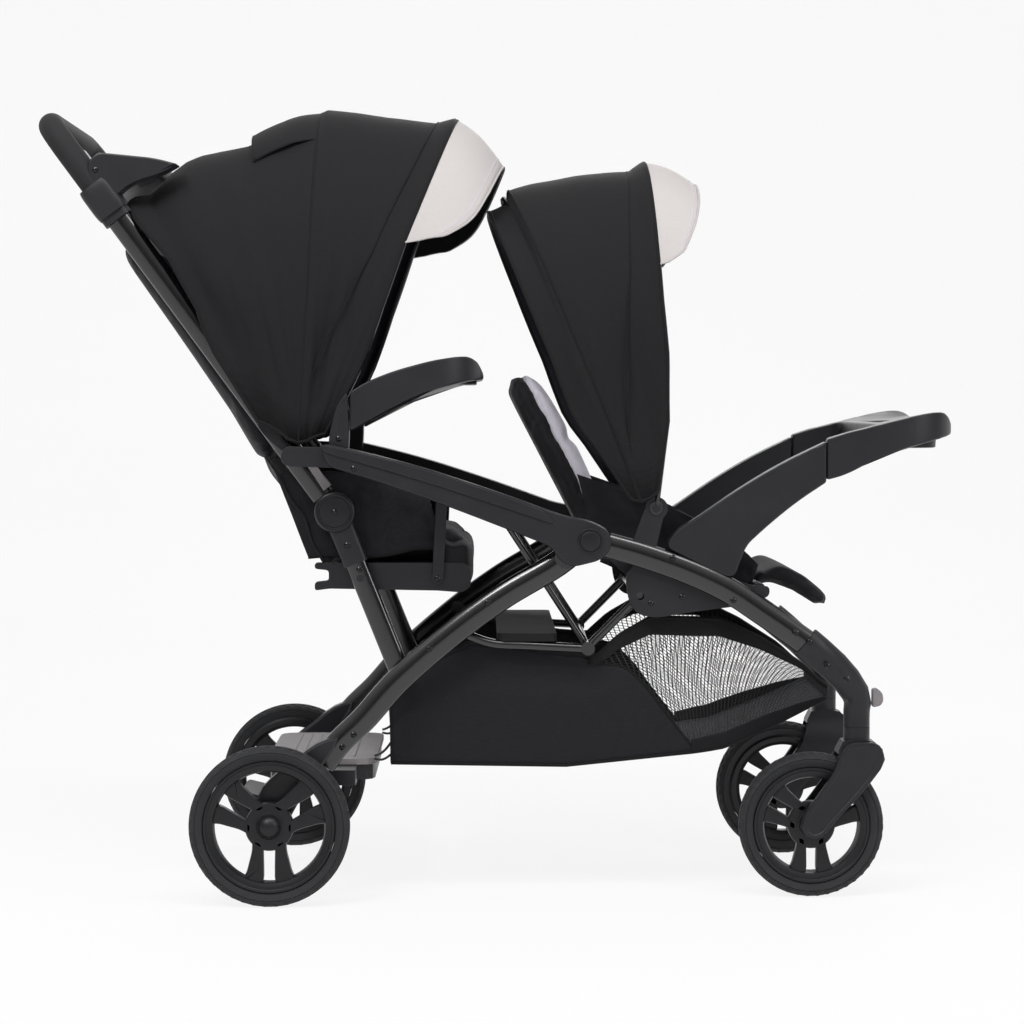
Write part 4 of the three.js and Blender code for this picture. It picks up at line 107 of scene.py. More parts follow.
def mm(*values):
    """A vector in metres from millimetres."""
    return Vector(values) * MM


# Materials
def linear(hex_text):
    """A linear colour from a web colour."""
    parts = [int(hex_text[i:i + 2], 16) / 255 for i in (1, 3, 5)]
    return tuple(c / 12.92 if c <= 0.04045 else ((c + 0.055) / 1.055) ** 2.4 for c in parts) + (1.0,)


def add_node(tree, kind, inputs=None, **settings):
    """A node with its settings, its values and its links."""
    node = tree.nodes.new(kind)
    for name, value in settings.items():
        setattr(node, name, value)
    for name, value in (inputs or {}).items():
        if isinstance(value, bpy.types.NodeSocket):
            tree.links.new(value, node.inputs[name])
        else:
            node.inputs[name].default_value = value
    return node


def start_material(name, base, rough, **shader):
    """A material, its tree, its main shader and the coordinates that its patterns read."""
    material = bpy.data.materials.new(name)
    material.use_nodes = True
    tree = material.node_tree
    surface = tree.nodes["Principled BSDF"]
    surface.inputs["Base Color"].default_value = linear(base)
    surface.inputs["Roughness"].default_value = rough
    for key, value in shader.items():
        surface.inputs[key.replace("_", " ")].default_value = value
    return material, tree, surface, add_node(tree, "ShaderNodeTexCoord").outputs


def tint(tree, surface, factor, dark, light):
    """Runs the surface's colour between two tones."""
    mix = add_node(tree, "ShaderNodeMix", {0: factor, 6: linear(dark), 7: linear(light)},
                   data_type="RGBA")
    tree.links.new(mix.outputs[2], surface.inputs["Base Color"])


def rough_range(tree, surface, factor, low, high):
    """Runs the surface's roughness between two values."""
    span = add_node(tree, "ShaderNodeMapRange", {"Value": factor, "To Min": low, "To Max": high})
    tree.links.new(span.outputs[0], surface.inputs["Roughness"])


def bump(tree, surface, height, strength, deep):
    """Raises the surface by a pattern, its depth in metres."""
    node = add_node(tree, "ShaderNodeBump", {"Height": height, "Strength": strength, "Distance": deep})
    tree.links.new(node.outputs[0], surface.inputs["Normal"])


def cells(size_mm):
    """Noise scale that repeats about once in the given size."""
    return 1.0 / (size_mm * MM)


def bands(size_mm):
    """Wave texture scale whose bands lie the given size apart."""
    return math.pi / 10 / (size_mm * MM)


def tube_paint():
    # Powder-coated steel tube: glossy black with a faint orange peel, so highlights run long and soft
    material, tree, surface, spot = start_material(
        "powder_coated_steel", "#0a0a0c", 0.2, Specular_IOR_Level=0.5, Coat_Weight=0.6, Coat_Roughness=0.12)
    peel = add_node(tree, "ShaderNodeTexNoise", {"Vector": spot["Object"], "Scale": cells(2.2)})
    wear = add_node(tree, "ShaderNodeTexNoise", {"Vector": spot["Object"], "Scale": cells(60), "Detail": 6.0})
    tint(tree, surface, wear.outputs[0], "#060608", "#0d0d10")
    rough_range(tree, surface, wear.outputs[0], 0.15, 0.27)
    bump(tree, surface, peel.outputs[0], 0.12, 0.0002)
    return material


def moulded(name, dark, light, low, high):
    # Injection-moulded polypropylene: spark-eroded grain breaks the shine into a satin
    material, tree, surface, spot = start_material(name, light, high, Specular_IOR_Level=0.32)
    grain = add_node(tree, "ShaderNodeTexVoronoi", {"Vector": spot["Object"], "Scale": cells(0.9)})
    cloud = add_node(tree, "ShaderNodeTexNoise",
                     {"Vector": spot["Object"], "Scale": cells(45), "Detail": 5.0})
    tint(tree, surface, cloud.outputs[0], dark, light)
    rough_range(tree, surface, cloud.outputs[0], low, high)
    bump(tree, surface, grain.outputs["Distance"], 0.16, 0.00025)
    return material


def woven(name, dark, light, sheen=0.12, source="UV"):
    # Plain-woven polyester: warp and weft show as a fine grid, slubs run along it, nap gives a sheen
    material, tree, surface, spot = start_material(
        name, light, 0.8, Sheen_Weight=sheen, Sheen_Roughness=0.4, Specular_IOR_Level=0.25)
    warp, weft = (add_node(tree, "ShaderNodeTexWave", {
        "Vector": spot[source], "Scale": bands(1.8), "Distortion": 0.6}, bands_direction=way) for way in "XY")
    weave = add_node(tree, "ShaderNodeMath", {0: warp.outputs[1], 1: weft.outputs[1]}, operation="MAXIMUM")
    long = add_node(tree, "ShaderNodeMapping", {"Vector": spot[source], "Scale": (1.0, 7.0, 1.0)})
    slub = add_node(tree, "ShaderNodeTexNoise",
                    {"Vector": long.outputs[0], "Scale": cells(14), "Detail": 4.0})
    mixed = add_node(tree, "ShaderNodeMath", {0: weave.outputs[0], 1: slub.outputs[0]}, operation="MULTIPLY")
    tint(tree, surface, mixed.outputs[0], dark, light)
    bump(tree, surface, weave.outputs[0], 0.35, 0.0003)
    return material


def netting():
    # Knitted polyester net: black cords round open cells, so what is behind shows through
    material, tree, surface, spot = start_material("knitted_net", "#19191b", 0.8)
    gaps = []
    for turn in (0.6, 2.54):
        turned = add_node(tree, "ShaderNodeMapping", {"Vector": spot["UV"], "Rotation": (0.0, 0.0, turn)})
        wave = add_node(tree, "ShaderNodeTexWave", {"Vector": turned.outputs[0], "Scale": bands(4.6)},
                        bands_direction="X")
        gaps.append(add_node(tree, "ShaderNodeMath", {0: wave.outputs[1], 1: 0.1}, operation="GREATER_THAN"))
    cell = add_node(tree, "ShaderNodeMath", {0: gaps[0].outputs[0], 1: gaps[1].outputs[0]},
                    operation="MULTIPLY")
    closed = add_node(tree, "ShaderNodeMath", {0: 1.0, 1: cell.outputs[0]}, operation="SUBTRACT")
    tree.links.new(closed.outputs[0], surface.inputs["Alpha"])
    return material


def rubber(name, dark, light, size_mm, deep):
    # Foamed rubber: matt, with a pebbled skin that holds a little dust on its high spots
    material, tree, surface, spot = start_material(name, light, 0.82, IOR=1.5)
    skin = add_node(tree, "ShaderNodeTexNoise", {"Vector": spot["Object"], "Scale": cells(size_mm),
                                                 "Detail": 6.0, "Roughness": 0.65})
    dust = add_node(tree, "ShaderNodeTexNoise", {"Vector": spot["Object"], "Scale": cells(35), "Detail": 8.0})
    tint(tree, surface, dust.outputs[0], dark, light)
    rough_range(tree, surface, skin.outputs[0], 0.7, 0.92)
    bump(tree, surface, skin.outputs[0], 0.4, deep)
    return material


def zinc_steel():
    # Zinc-plated steel: bright metal with a fine drawn grain
    material, tree, surface, spot = start_material("zinc_plated_axle", "#7c7e82", 0.35, Metallic=1.0)
    drawn = add_node(tree, "ShaderNodeMapping", {"Vector": spot["Object"], "Scale": (9.0, 1.0, 9.0)})
    grain = add_node(tree, "ShaderNodeTexNoise",
                     {"Vector": drawn.outputs[0], "Scale": cells(6), "Detail": 5.0})
    rough_range(tree, surface, grain.outputs[0], 0.28, 0.455)
    bump(tree, surface, grain.outputs[0], 0.08, 0.0001)
    return material


def webbing():
    # Woven nylon webbing: ribs across the strap every couple of millimetres
    material, tree, surface, spot = start_material("nylon_webbing", "#1d1d20", 0.7, Sheen_Weight=0.2)
    ribs = add_node(tree, "ShaderNodeTexWave", {"Vector": spot["Object"], "Scale": bands(2.2)},
                    bands_direction="Z")
    tint(tree, surface, ribs.outputs[1], "#151517", "#29292c")
    bump(tree, surface, ribs.outputs[1], 0.4, 0.0004)
    return material


def seen_directly(tree):
    """One for camera, glossy and transmission rays, nought for the rest."""
    path = add_node(tree, "ShaderNodeLightPath")
    both = add_node(tree, "ShaderNodeMath",
                    {0: path.outputs["Is Camera Ray"], 1: path.outputs["Is Glossy Ray"]}, operation="MAXIMUM")
    return add_node(tree, "ShaderNodeMath", {0: both.outputs[0], 1: path.outputs["Is Transmission Ray"]},
                    operation="MAXIMUM").outputs[0]


def stage_paper():
    # Matt studio paper: bright to the camera, with only a trace of the object's shadow
    material, tree, surface, spot = start_material("studio_paper", "#f2f2f2", 0.95, Specular_IOR_Level=0.1)
    fibre = add_node(tree, "ShaderNodeTexNoise", {"Vector": spot["Object"], "Scale": cells(400)})
    tint(tree, surface, fibre.outputs[0], "#eeeeee", "#f6f6f6")
    share = add_node(tree, "ShaderNodeMath", {0: seen_directly(tree), 1: 0.86}, operation="MULTIPLY")
    lit = add_node(tree, "ShaderNodeEmission", {"Color": (1.0, 1.0, 1.0, 1.0), "Strength": 1.0})
    mix = add_node(tree, "ShaderNodeMixShader", {0: share.outputs[0], 1: surface.outputs[0],
                                                 2: lit.outputs[0]})
    # Seen from its back, the paper is out of the way
    side = add_node(tree, "ShaderNodeNewGeometry")
    clear = add_node(tree, "ShaderNodeBsdfTransparent")
    one_way = add_node(tree, "ShaderNodeMixShader", {0: side.outputs["Backfacing"], 1: mix.outputs[0],
                                                     2: clear.outputs[0]})
    tree.links.new(one_way.outputs[0], tree.nodes["Material Output"].inputs["Surface"])
    return material


MAKERS = {
    "paint": tube_paint,
    "plastic": lambda: moulded("grained_polypropylene", "#1b1b1e", "#252529", 0.34, 0.46),
    "dark_plastic": lambda: moulded("dark_polypropylene", "#151517", "#1e1e21", 0.32, 0.44),
    "matt": lambda: moulded("matt_polypropylene", "#0e0e10", "#141416", 0.8, 0.9),
    "grey": lambda: moulded("grey_polypropylene", "#777274", "#8d888a", 0.5, 0.62),
    "cloth": lambda: woven("canopy_polyester", "#242229", "#3b3843"),
    "bag_cloth": lambda: woven("basket_polyester", "#141317", "#25242a"),
    "pad_cloth": lambda: woven("seat_polyester", "#121215", "#232227", source="Object"),
    "lining": lambda: woven("lining_polyester", "#0e0e10", "#1a1a1d", sheen=0.05),
    "cream": lambda: woven("visor_polyester", "#bdb8b7", "#cdc8c6", sheen=0.05),
    "pale": lambda: woven("pale_lining_polyester", "#cdc9d4", "#e2dfe9", source="Object"),
    "net": netting,
    "tyre": lambda: rubber("foam_rubber_tyre", "#19191b", "#29292c", 1.8, 0.0003),
    "foam": lambda: rubber("closed_cell_foam", "#0f0f11", "#1b1b1e", 1.2, 0.0005),
    "steel": zinc_steel,
    "rivet": lambda: moulded("glossy_rivet_cap", "#0c0c0e", "#131316", 0.06, 0.12),
    "strap": webbing,
    "paper": stage_paper,
}
made_materials = {}


def material(key):
    if key not in made_materials:
        made_materials[key] = MAKERS[key]()
    return made_materials[key]


# Shapes
def between(start, end, along, aside=0.0):
    """A point a share of the way along, and a distance to the left of the way, seen from the side."""
    dx, dz = end[0] - start[0], end[1] - start[1]
    long = math.hypot(dx, dz)
    return start[0] + dx * along - dz / long * aside, start[1] + dz * along + dx / long * aside


def table_at(table, place):
    """A value read smoothly off a table of places and values."""
    if place <= table[0][0]:
        return table[0][1]
    for (a, va), (b, vb) in zip(table, table[1:]):
        if place <= b:
            t = (place - a) / (b - a)
            return va + (vb - va) * t
    return table[-1][1]


def smooth_at(table, place):
    """A pair of values read off a table with its corners eased."""
    knots = [Vector(pair) for _, pair in table]
    stops = [stop for stop, _ in table]
    k = max(i for i, stop in enumerate(stops[:-1]) if stop <= place or i == 0)
    t = (place - stops[k]) / (stops[k + 1] - stops[k])
    before = knots[k - 1] if k else knots[k] * 2 - knots[k + 1]
    after = knots[k + 2] if k + 2 < len(knots) else knots[k + 1] * 2 - knots[k]
    a, b = knots[k], knots[k + 1]
    return 0.5 * (2 * a + (b - before) * t + (2 * before - 5 * a + 4 * b - after) * t * t
                  + (3 * a - before - 3 * b + after) * t ** 3)


def smooth_path(points, count):
    """Evenly spaced points on a smooth curve through the given ones."""
    knots = [Vector(p) for p in points]
    knots = [knots[0] * 2 - knots[1]] + knots + [knots[-1] * 2 - knots[-2]]
    fine = []
    for a, b, c, d in zip(knots, knots[1:], knots[2:], knots[3:]):
        for step in range(12):
            t = step / 12
            fine.append(0.5 * (2 * b + (c - a) * t + (2 * a - 5 * b + 4 * c - d) * t * t
                               + (3 * b - a - 3 * c + d) * t ** 3))
    fine.append(knots[-2])
    lengths = [0.0]
    for a, b in zip(fine, fine[1:]):
        lengths.append(lengths[-1] + (b - a).length)
    out, k = [], 0
    for i in range(count + 1):
        want = lengths[-1] * i / count
        while k < len(fine) - 2 and lengths[k + 1] < want:
            k += 1
        span = max(lengths[k + 1] - lengths[k], 1e-9)
        out.append(fine[k].lerp(fine[k + 1], (want - lengths[k]) / span))
    return out


def add_loft(bm, stations, sides, point, caps=True):
    """A skin through rings: point(station, slot) gives each corner's place."""
    slot = bm.verts.layers.int.get("slot") or bm.verts.layers.int.new("slot")
    ring = bmesh.ops.create_circle(bm, segments=sides, radius=1.0, cap_ends=False)["verts"]
    for vert in ring:
        vert[slot] = round(math.atan2(-vert.co.x, vert.co.y) / (2 * math.pi) * sides) % sides
    for vert in ring:
        vert.co = point(0, vert[slot])
    edges = list({edge for vert in ring for edge in vert.link_edges})
    rims = [list(edges)]
    new = list(ring)
    for s in range(1, stations):
        geom = bmesh.ops.extrude_edge_only(bm, edges=edges)["geom"]
        edges = [g for g in geom if isinstance(g, bmesh.types.BMEdge) and g.is_boundary]
        verts = [g for g in geom if isinstance(g, bmesh.types.BMVert)]
        for vert in verts:
            vert.co = point(s, vert[slot])
        new += verts
    rims.append(edges)
    if caps:
        for rim in rims:
            bmesh.ops.holes_fill(bm, edges=rim, sides=sides)
    return new


def add_rings(bm, frames, wide, deep, sides, power=1.0, fade=None):
    """A skin round a row of frames, each a place with its two cross ways; a low power makes it squarer."""
    def point(s, k):
        place, side, up = frames[s]
        turn = 2 * math.pi * k / sides
        grow = (fade(s / (len(frames) - 1)) if fade else 1.0) / 2
        c, n = (math.copysign(abs(part) ** power, part) for part in (math.cos(turn), math.sin(turn)))
        return place + side * (c * wide * grow) + up * (n * deep * grow)
    add_loft(bm, len(frames), sides, point)


def ways_along(path):
    """The way that a path runs at each of its points."""
    last = len(path) - 1
    return [(path[min(i + 1, last)] - path[max(i - 1, 0)]).normalized() for i in range(len(path))]


def add_tube(bm, path, wide, deep=None, sides=20, power=1.0, fade=None, up_hint=None):
    """A round or oval tube along a path, its width across the stroller."""
    across_way = up_hint or Vector((0, 1, 0))
    frames = []
    for place, tangent in zip(path, ways_along(path)):
        side = across_way - tangent * across_way.dot(tangent)
        if side.length < 0.05:
            side = frames[-1][1] if frames else tangent.orthogonal()
            side = side - tangent * side.dot(tangent)
        side.normalize()
        if frames and up_hint is None and frames[-1][1].dot(side) < 0:
            side = -side
        frames.append((place, side, side.cross(tangent)))
    add_rings(bm, frames, wide, wide if deep is None else deep, sides, power, fade)


def add_lathe(bm, centre, profile, sides=48, closed=False):
    """Turns a profile of radius and depth pairs (mm) round a line across the stroller."""
    x, z = centre[0] * MM, centre[1] * MM
    verts = [bm.verts.new((x + r * MM, y * MM, z)) for r, y in profile]
    pairs = list(zip(verts, verts[1:])) + ([(verts[-1], verts[0])] if closed else [])
    edges = [bm.edges.new(pair) for pair in pairs]
    bmesh.ops.spin(bm, geom=verts + edges, cent=(x, 0, z), axis=(0, 1, 0), dvec=(0, 0, 0),
                   angle=2 * math.pi, steps=sides, use_merge=True, use_duplicate=False)
    bmesh.ops.remove_doubles(bm, verts=bm.verts[:], dist=1e-6)


def add_plate(bm, outline, from_y, to_y, edge=0.0):
    """A plate drawn in the side view (mm), between two distances along Y (mm)."""
    face = bm.faces.new([bm.verts.new(mm(x, from_y, z)) for x, z in outline])
    made = bmesh.ops.extrude_face_region(bm, geom=[face])["geom"]
    moved = [g for g in made if isinstance(g, bmesh.types.BMVert)]
    bmesh.ops.translate(bm, verts=moved, vec=(0, (to_y - from_y) * MM, 0))
    if edge:
        far = next(g for g in made if isinstance(g, bmesh.types.BMFace))
        rims = list({e for f in (face, far) if f.is_valid for e in f.edges})
        bmesh.ops.bevel(bm, geom=rims, offset=edge * MM, segments=2, profile=0.5, affect="EDGES",
                        material=-1, clamp_overlap=True)


def rounded(points, radius, steps=5):
    """An outline with every corner rounded, by its own radius where a point has a third number."""
    out = []
    count = len(points)
    for i, spot in enumerate(points):
        corner = Vector(spot[:2])
        back = Vector(points[i - 1][:2]) - corner
        forth = Vector(points[(i + 1) % count][:2]) - corner
        reach = min(spot[2] if len(spot) > 2 else radius, back.length / 2.02, forth.length / 2.02)
        start, end = corner + back.normalized() * reach, corner + forth.normalized() * reach
        for k in range(steps + 1):
            t = k / steps
            out.append(tuple(start * (1 - t) ** 2 + corner * (2 * t * (1 - t)) + end * t * t))
    return out


def add_shell(bm, outline, section, lay=lambda a, b, out: mm(a, out, b)):
    """A moulded shell on an outline (mm): its section lists each ring's inset and its place across."""
    ring = [Vector(p) for k, p in enumerate(outline) if math.dist(p, outline[k - 1]) > 0.25]
    area = sum(a.x * b.y - b.x * a.y for a, b in zip(ring, ring[1:] + ring[:1]))
    if area < 0:
        ring.reverse()
    count = len(ring)
    inward = []
    for k in range(count):
        along = (ring[(k + 1) % count] - ring[k - 1]).normalized()
        inward.append(Vector((-along.y, along.x)))

    rings = []
    for inset, _ in section:
        moved = [spot + way * inset for spot, way in zip(ring, inward)]
        for _ in range(10):
            for k in range(count):
                if (moved[k] - moved[k - 1]).dot(ring[k] - ring[k - 1]) < 0:
                    middle = (moved[k] + moved[k - 1]) / 2
                    moved[k], moved[k - 1] = middle, middle.copy()
        rings.append(moved)
    made = add_loft(bm, len(section), count,
                    lambda s, k: lay(rings[s][k].x, rings[s][k].y, section[s][1]))
    bmesh.ops.remove_doubles(bm, verts=made, dist=2e-5)


def finely(outline, step):
    """The same outline with points no further apart than a step (mm)."""
    out = []
    for a, b in zip(outline, outline[1:] + outline[:1]):
        count = max(1, math.ceil(math.dist(a, b) / step))
        out += [(a[0] + (b[0] - a[0]) * k / count, a[1] + (b[1] - a[1]) * k / count) for k in range(count)]
    return out


def across(wide_from, wide_to, edge=3.0):
    """The section of a shell with rounded edges between two places along Y (mm, both negative)."""
    return [(edge, wide_from), (edge * 0.3, wide_from - edge * 0.3), (0, wide_from - edge),
            (0, wide_to + edge), (edge * 0.3, wide_to + edge * 0.3), (edge, wide_to)]


def add_tray(bm, outline, heights, edge=3.0):
    """A moulded band drawn in plan (mm); its low and high edges follow a table along X."""
    def lay(x, y, out):
        low, high = smooth_at(heights, min(max(x, heights[0][0]), heights[-1][0]))
        share, rise = out
        return mm(x, y, low + (high - low) * share + rise)
    add_shell(bm, finely(outline, 7), [(edge, (0, 0)), (edge * 0.3, (0, edge * 0.3)), (0, (0, edge)),
                                       (0, (1, -edge)), (edge * 0.3, (1, -edge * 0.3)), (edge, (1, 0))], lay)


def carve(piece, *cutters):
    """Takes shapes out of a piece for good; each cutter is a function that fills a bmesh."""
    for build in cutters:
        bm = bmesh.new()
        build(bm)
        bmesh.ops.recalc_face_normals(bm, faces=bm.faces)
        mesh = bpy.data.meshes.new("cutter")
        bm.to_mesh(mesh)
        tool = bpy.data.objects.new("cutter", mesh)
        bpy.context.scene.collection.objects.link(tool)
        piece.modifiers.clear()
        add_modifier(piece, "BOOLEAN", operation="DIFFERENCE", solver="EXACT", object=tool)
        apply_modifiers(piece)
        bpy.data.objects.remove(tool)
    piece.data.set_sharp_from_angle(angle=math.radians(40))
    add_modifier(piece, "WEIGHTED_NORMAL", name="Normals", keep_sharp=True, weight=60)


def u_outline(back, front, inner, outer, bar, corner):
    """A U-shaped tray seen from above (mm), open towards the back."""
    return rounded([(back, -outer), (front, -outer, corner), (front, outer, corner), (back, outer),
                    (back, inner), (front - bar, inner, 26), (front - bar, -inner, 26), (back, -inner)],
                   4, 10)


def add_sheet(bm, nu, nv, place, flat=(1.0, 1.0)):
    """A grid of cloth laid out by place(u, v), with its own map in metres."""
    layer = bm.loops.layers.uv.get("flat") or bm.loops.layers.uv.new("flat")
    made = bmesh.ops.create_grid(bm, x_segments=nu, y_segments=nv, size=0.5)["verts"]
    where = {vert: (vert.co.x + 0.5, vert.co.y + 0.5) for vert in made}
    for face in {f for v in made for f in v.link_faces}:
        for loop in face.loops:
            u, v = where[loop.vert]
            loop[layer].uv = (u * flat[0], v * flat[1])
    for vert, (u, v) in where.items():
        vert.co = place(min(max(u, 0.0), 1.0), min(max(v, 0.0), 1.0))
    return made


def cut_size(place, rows=16, steps=40):
    """The flat cut of a sheet: how long it runs along each of its two ways, on average."""
    spans = []
    for spot in (lambda a, b: place(b, a), lambda a, b: place(a, b)):
        total = 0.0
        for row in range(rows):
            line = [spot((row + 0.5) / rows, k / steps) for k in range(steps + 1)]
            total += sum((b - a).length for a, b in zip(line, line[1:]))
        spans.append(total / rows)
    return tuple(spans)


def add_dome(bm, place, radius, tall, normal, sides=12):
    """A rivet's domed head on a surface."""
    made = bmesh.ops.create_uvsphere(bm, u_segments=sides, v_segments=6, radius=radius * MM)["verts"]
    turn = Vector((0, 0, 1)).rotation_difference(Vector(normal)).to_matrix().to_4x4()
    bmesh.ops.scale(bm, verts=made, vec=(1, 1, tall / radius))
    bmesh.ops.transform(bm, verts=made, matrix=Matrix.Translation(place) @ turn)


def new_piece(name, bm, look, body=None, slot=None, replaces=(), sharp=32):
    """Turns a bmesh into a finished piece that rides on a body; edges over the sharp angle stay hard."""
    bmesh.ops.recalc_face_normals(bm, faces=bm.faces)
    mesh = bpy.data.meshes.new(name)
    bm.to_mesh(mesh)
    bm.free()
    mesh.shade_smooth()
    mesh.set_sharp_from_angle(angle=math.radians(sharp))
    piece = bpy.data.objects.new(name, mesh)
    bpy.context.scene.collection.objects.link(piece)
    for key in (look if isinstance(look, tuple) else (look,)):
        mesh.materials.append(material(key))
    if sharp < 60:
        add_modifier(piece, "WEIGHTED_NORMAL", name="Normals", keep_sharp=True, weight=60)
    if body:
        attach(piece, body)
    if replaces:
        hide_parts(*replaces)
    return piece


def new_pair(name, build, look, body, slot=None, replaces=None, **more):
    """The same piece on both sides, drawn on the right side and mirrored to the left."""
    pair = []
    for side, sign in SIDES:
        bm = bmesh.new()
        build(bm)
        if sign > 0:
            bmesh.ops.scale(bm, verts=bm.verts, vec=(1, -1, 1))
            bmesh.ops.reverse_faces(bm, faces=bm.faces)
        swapped = tuple(f"{node}_{side}" for node in (replaces or ()))
        where = body.format(side=side)
        pair.append(new_piece(f"{name}_{side}", bm, look, where, slot, swapped, **more))
    return pair


def add_modifier(piece, kind, name=None, **settings):
    modifier = piece.modifiers.new(name or kind.title(), kind)
    for key, value in settings.items():
        setattr(modifier, key, value)
    return modifier


def side_path(points, y, count=40):
    return smooth_path([(x * MM, y * MM, z * MM) for x, z in points], count)


def lay_shares(start, end, deep, shares):
    return [between(start, end, along, aside * deep) for along, aside in shares]


REAR_LEG_SHARES = ((0.133, -0.18), (0.292, -0.75), (0.465, -1.02), (0.67, -0.97), (0.825, -0.5),
                   (0.923, -0.35), (1, 0))
FRONT_LEG_SHARES = ((0.217, 0.62), (0.4, 0.95), (0.578, 1), (0.751, 0.66), (0.935, 0.24), (1, 0))
LEG_BOW = 21
LEG_START = 25


def leg_line(end, shares):
    line = lay_shares(HUB, end, LEG_BOW, shares)
    way = math.dist(HUB, line[0])
    return [between(HUB, line[0], LEG_START / way)] + line


REAR_LEG_LINE = leg_line(LEG_FOOT, REAR_LEG_SHARES)
FRONT_LEG_LINE = leg_line(ELBOW, FRONT_LEG_SHARES)


# Turned profiles: radius, and distance out from the middle plane of the tubes
REAR_EYE = ((7.4, 0.2), (20, 0.2), (20, 9.5), (15, 9.5), (15, 13.6), (7.4, 13.6))
FRONT_EYE = ((7.4, -9.5), (20, -9.5), (20, -0.2), (7.4, -0.2))
KNUCKLE_DISC = ((0, -12.5), (24, -12.5), (26.5, -10), (26.8, 11), (25.5, 13.5), (23.4, 14.6), (22.4, 13.4),
                (20.5, 13.0), (19.5, 13.9), (8, 14.4), (0, 14.5))
CANOPY_BRACKET = ((-315, 624), (-308, 634), (-296, 636), (-291, 622), (-281, 604), (-270, 590), (-278, 585),
                  (-295, 598), (-309, 613))
EYE_TAB = 30
GRIP_CORNER = 48


def turned(centre, profile, plane, sides, closed=False):
    """A builder of a turned piece whose profile is measured outwards from a plane (mm)."""
    return lambda bm: add_lathe(bm, centre, [(r, -plane - out) for r, out in profile], sides, closed)


def link_outline(start, end, wide, steps=10):
    """A link's outline, with round ends."""
    turn = math.atan2(end[1] - start[1], end[0] - start[0])
    out = []
    for at, first in ((end, turn - math.pi / 2), (start, turn + math.pi / 2)):
        for k in range(steps + 1):
            a = first + math.pi * k / steps
            out.append((at[0] + wide / 2 * math.cos(a), at[1] + wide / 2 * math.sin(a)))
    return out


class STROLLER_OT_tubes(bpy.types.Operator):
    """Oval legs, struts and handle tubes with their pivot discs"""

    bl_idname = "stroller.tubes"
    bl_label = "Oval tubes"

    def leg(self, line, near, far, eye):
        """A leg tube with the flat tab and the eye that hold it on the hub."""
        def build(bm):
            add_tube(bm, side_path(line, -LEG_Y, 56), sizes().tube_wide, sizes().leg_deep, 28)
            tab = between(HUB, line[0], 1.5)
            add_plate(bm, link_outline(HUB, tab, EYE_TAB), -LEG_Y - near, -LEG_Y - far)
            turned(HUB, eye, LEG_Y, 32, True)(bm)
        return build

    def bar(self, end, shares, wide, deep, sides, power=1.0, taper=0.0, count=24, out=STRUT_Y, aside=0.0):
        """A bar from the knuckle towards an end, through shares of the way."""
        path = side_path([between(KNUCKLE, end, share, aside) for share in shares], -out, count)
        return lambda bm: add_tube(bm, path, wide, deep, sides, power, lambda t: 1.0 - taper * t)

    def execute(self, context):
        new_pair("rear_leg_tube", self.leg(REAR_LEG_LINE, 0.2, 9.5, REAR_EYE), "paint", "rear_frame",
                 "black_paint", ["rear_leg"])
        new_pair("front_leg_tube", self.leg(FRONT_LEG_LINE, -9.5, -0.2, FRONT_EYE), "paint", "front_frame",
                 "black_paint", ["front_leg"])
        strut = self.bar(STRUT_FOOT, (30 / STRUT_WAY, 0.55, 1.06), 0.018, 0.028, 24, 0.62)
        new_pair("lower_strut_tube", strut, "paint", "lower_struts", "black_paint", ["lower_strut"])
        socket = self.bar(STRUT_FOOT, [t / STRUT_WAY for t in (18, 45, 73)], 0.0212, 0.034,
                          28, 0.55, 0.05, 16)
        new_pair("strut_socket", socket, "plastic", "lower_struts", "black_plastic", sharp=40)
        handle = self.bar(HANDLE_TOP, (26 / HANDLE_WAY, 0.3, 0.55, 0.8), 0.018, 0.032, 28, count=30)
        new_pair("handle_side_tube", handle, "paint", "handle", "black_paint", ["handle_tube"])
        new_pair("knuckle_disc", turned(KNUCKLE, KNUCKLE_DISC, STRUT_Y, 56), "dark_plastic", "handle",
                 "black_plastic", sharp=24)
        latch = self.bar(HANDLE_TOP, [t / HANDLE_WAY for t in (31, 52, 75)], 0.006, 0.013, 16, 0.5, 0.35, 10,
                         STRUT_Y + 7.4, -11)
        new_pair("latch_strip", latch, "grey", "handle", "grey_plastic")
        new_pair("canopy_bracket", lambda bm: add_plate(bm, rounded(CANOPY_BRACKET, 7), -206.2, -209.4, 0.8),
                 "plastic", "handle", "black_plastic")
        return {"FINISHED"}


class STROLLER_OT_grip(bpy.types.Operator):
    """Foam grip bent across the top of the handle"""

    bl_idname = "stroller.grip"
    bl_label = "Handle grip"

    def execute(self, context):
        def at(share, y):
            x, z = between(KNUCKLE, HANDLE_TOP, share)
            return mm(x, y, z)
        path = []
        for side in (-1, 1):
            y = side * STRUT_Y
            start, bend = at(1 - GRIP_CORNER / HANDLE_WAY, y), at(1, y)
            end = at(1, side * (STRUT_Y - GRIP_CORNER))
            leg = [at(0.815, y), at(0.87, y)]
            leg += [start * (1 - t) ** 2 + bend * 2 * t * (1 - t) + end * t * t
                    for t in (i / 10 for i in range(11))]
            path += leg if side < 0 else leg[::-1]
        half = len(path) // 2
        middle = [path[half - 1].lerp(path[half], k / 20) for k in range(1, 20)]
        path = path[:half] + middle + path[half:]
        normal = (at(1, 0) - at(0, 0)).cross(Vector((0, 1, 0))).normalized()
        frames = [(place, normal, normal.cross(way)) for place, way in zip(path, ways_along(path))]
        wide = 2 * sizes().grip_radius
        bm = bmesh.new()
        add_rings(bm, frames, wide, wide, 28)
        new_piece("foam_grip", bm, "foam", "handle", "grip_foam", ["handle_grip"])
        return {"FINISHED"}


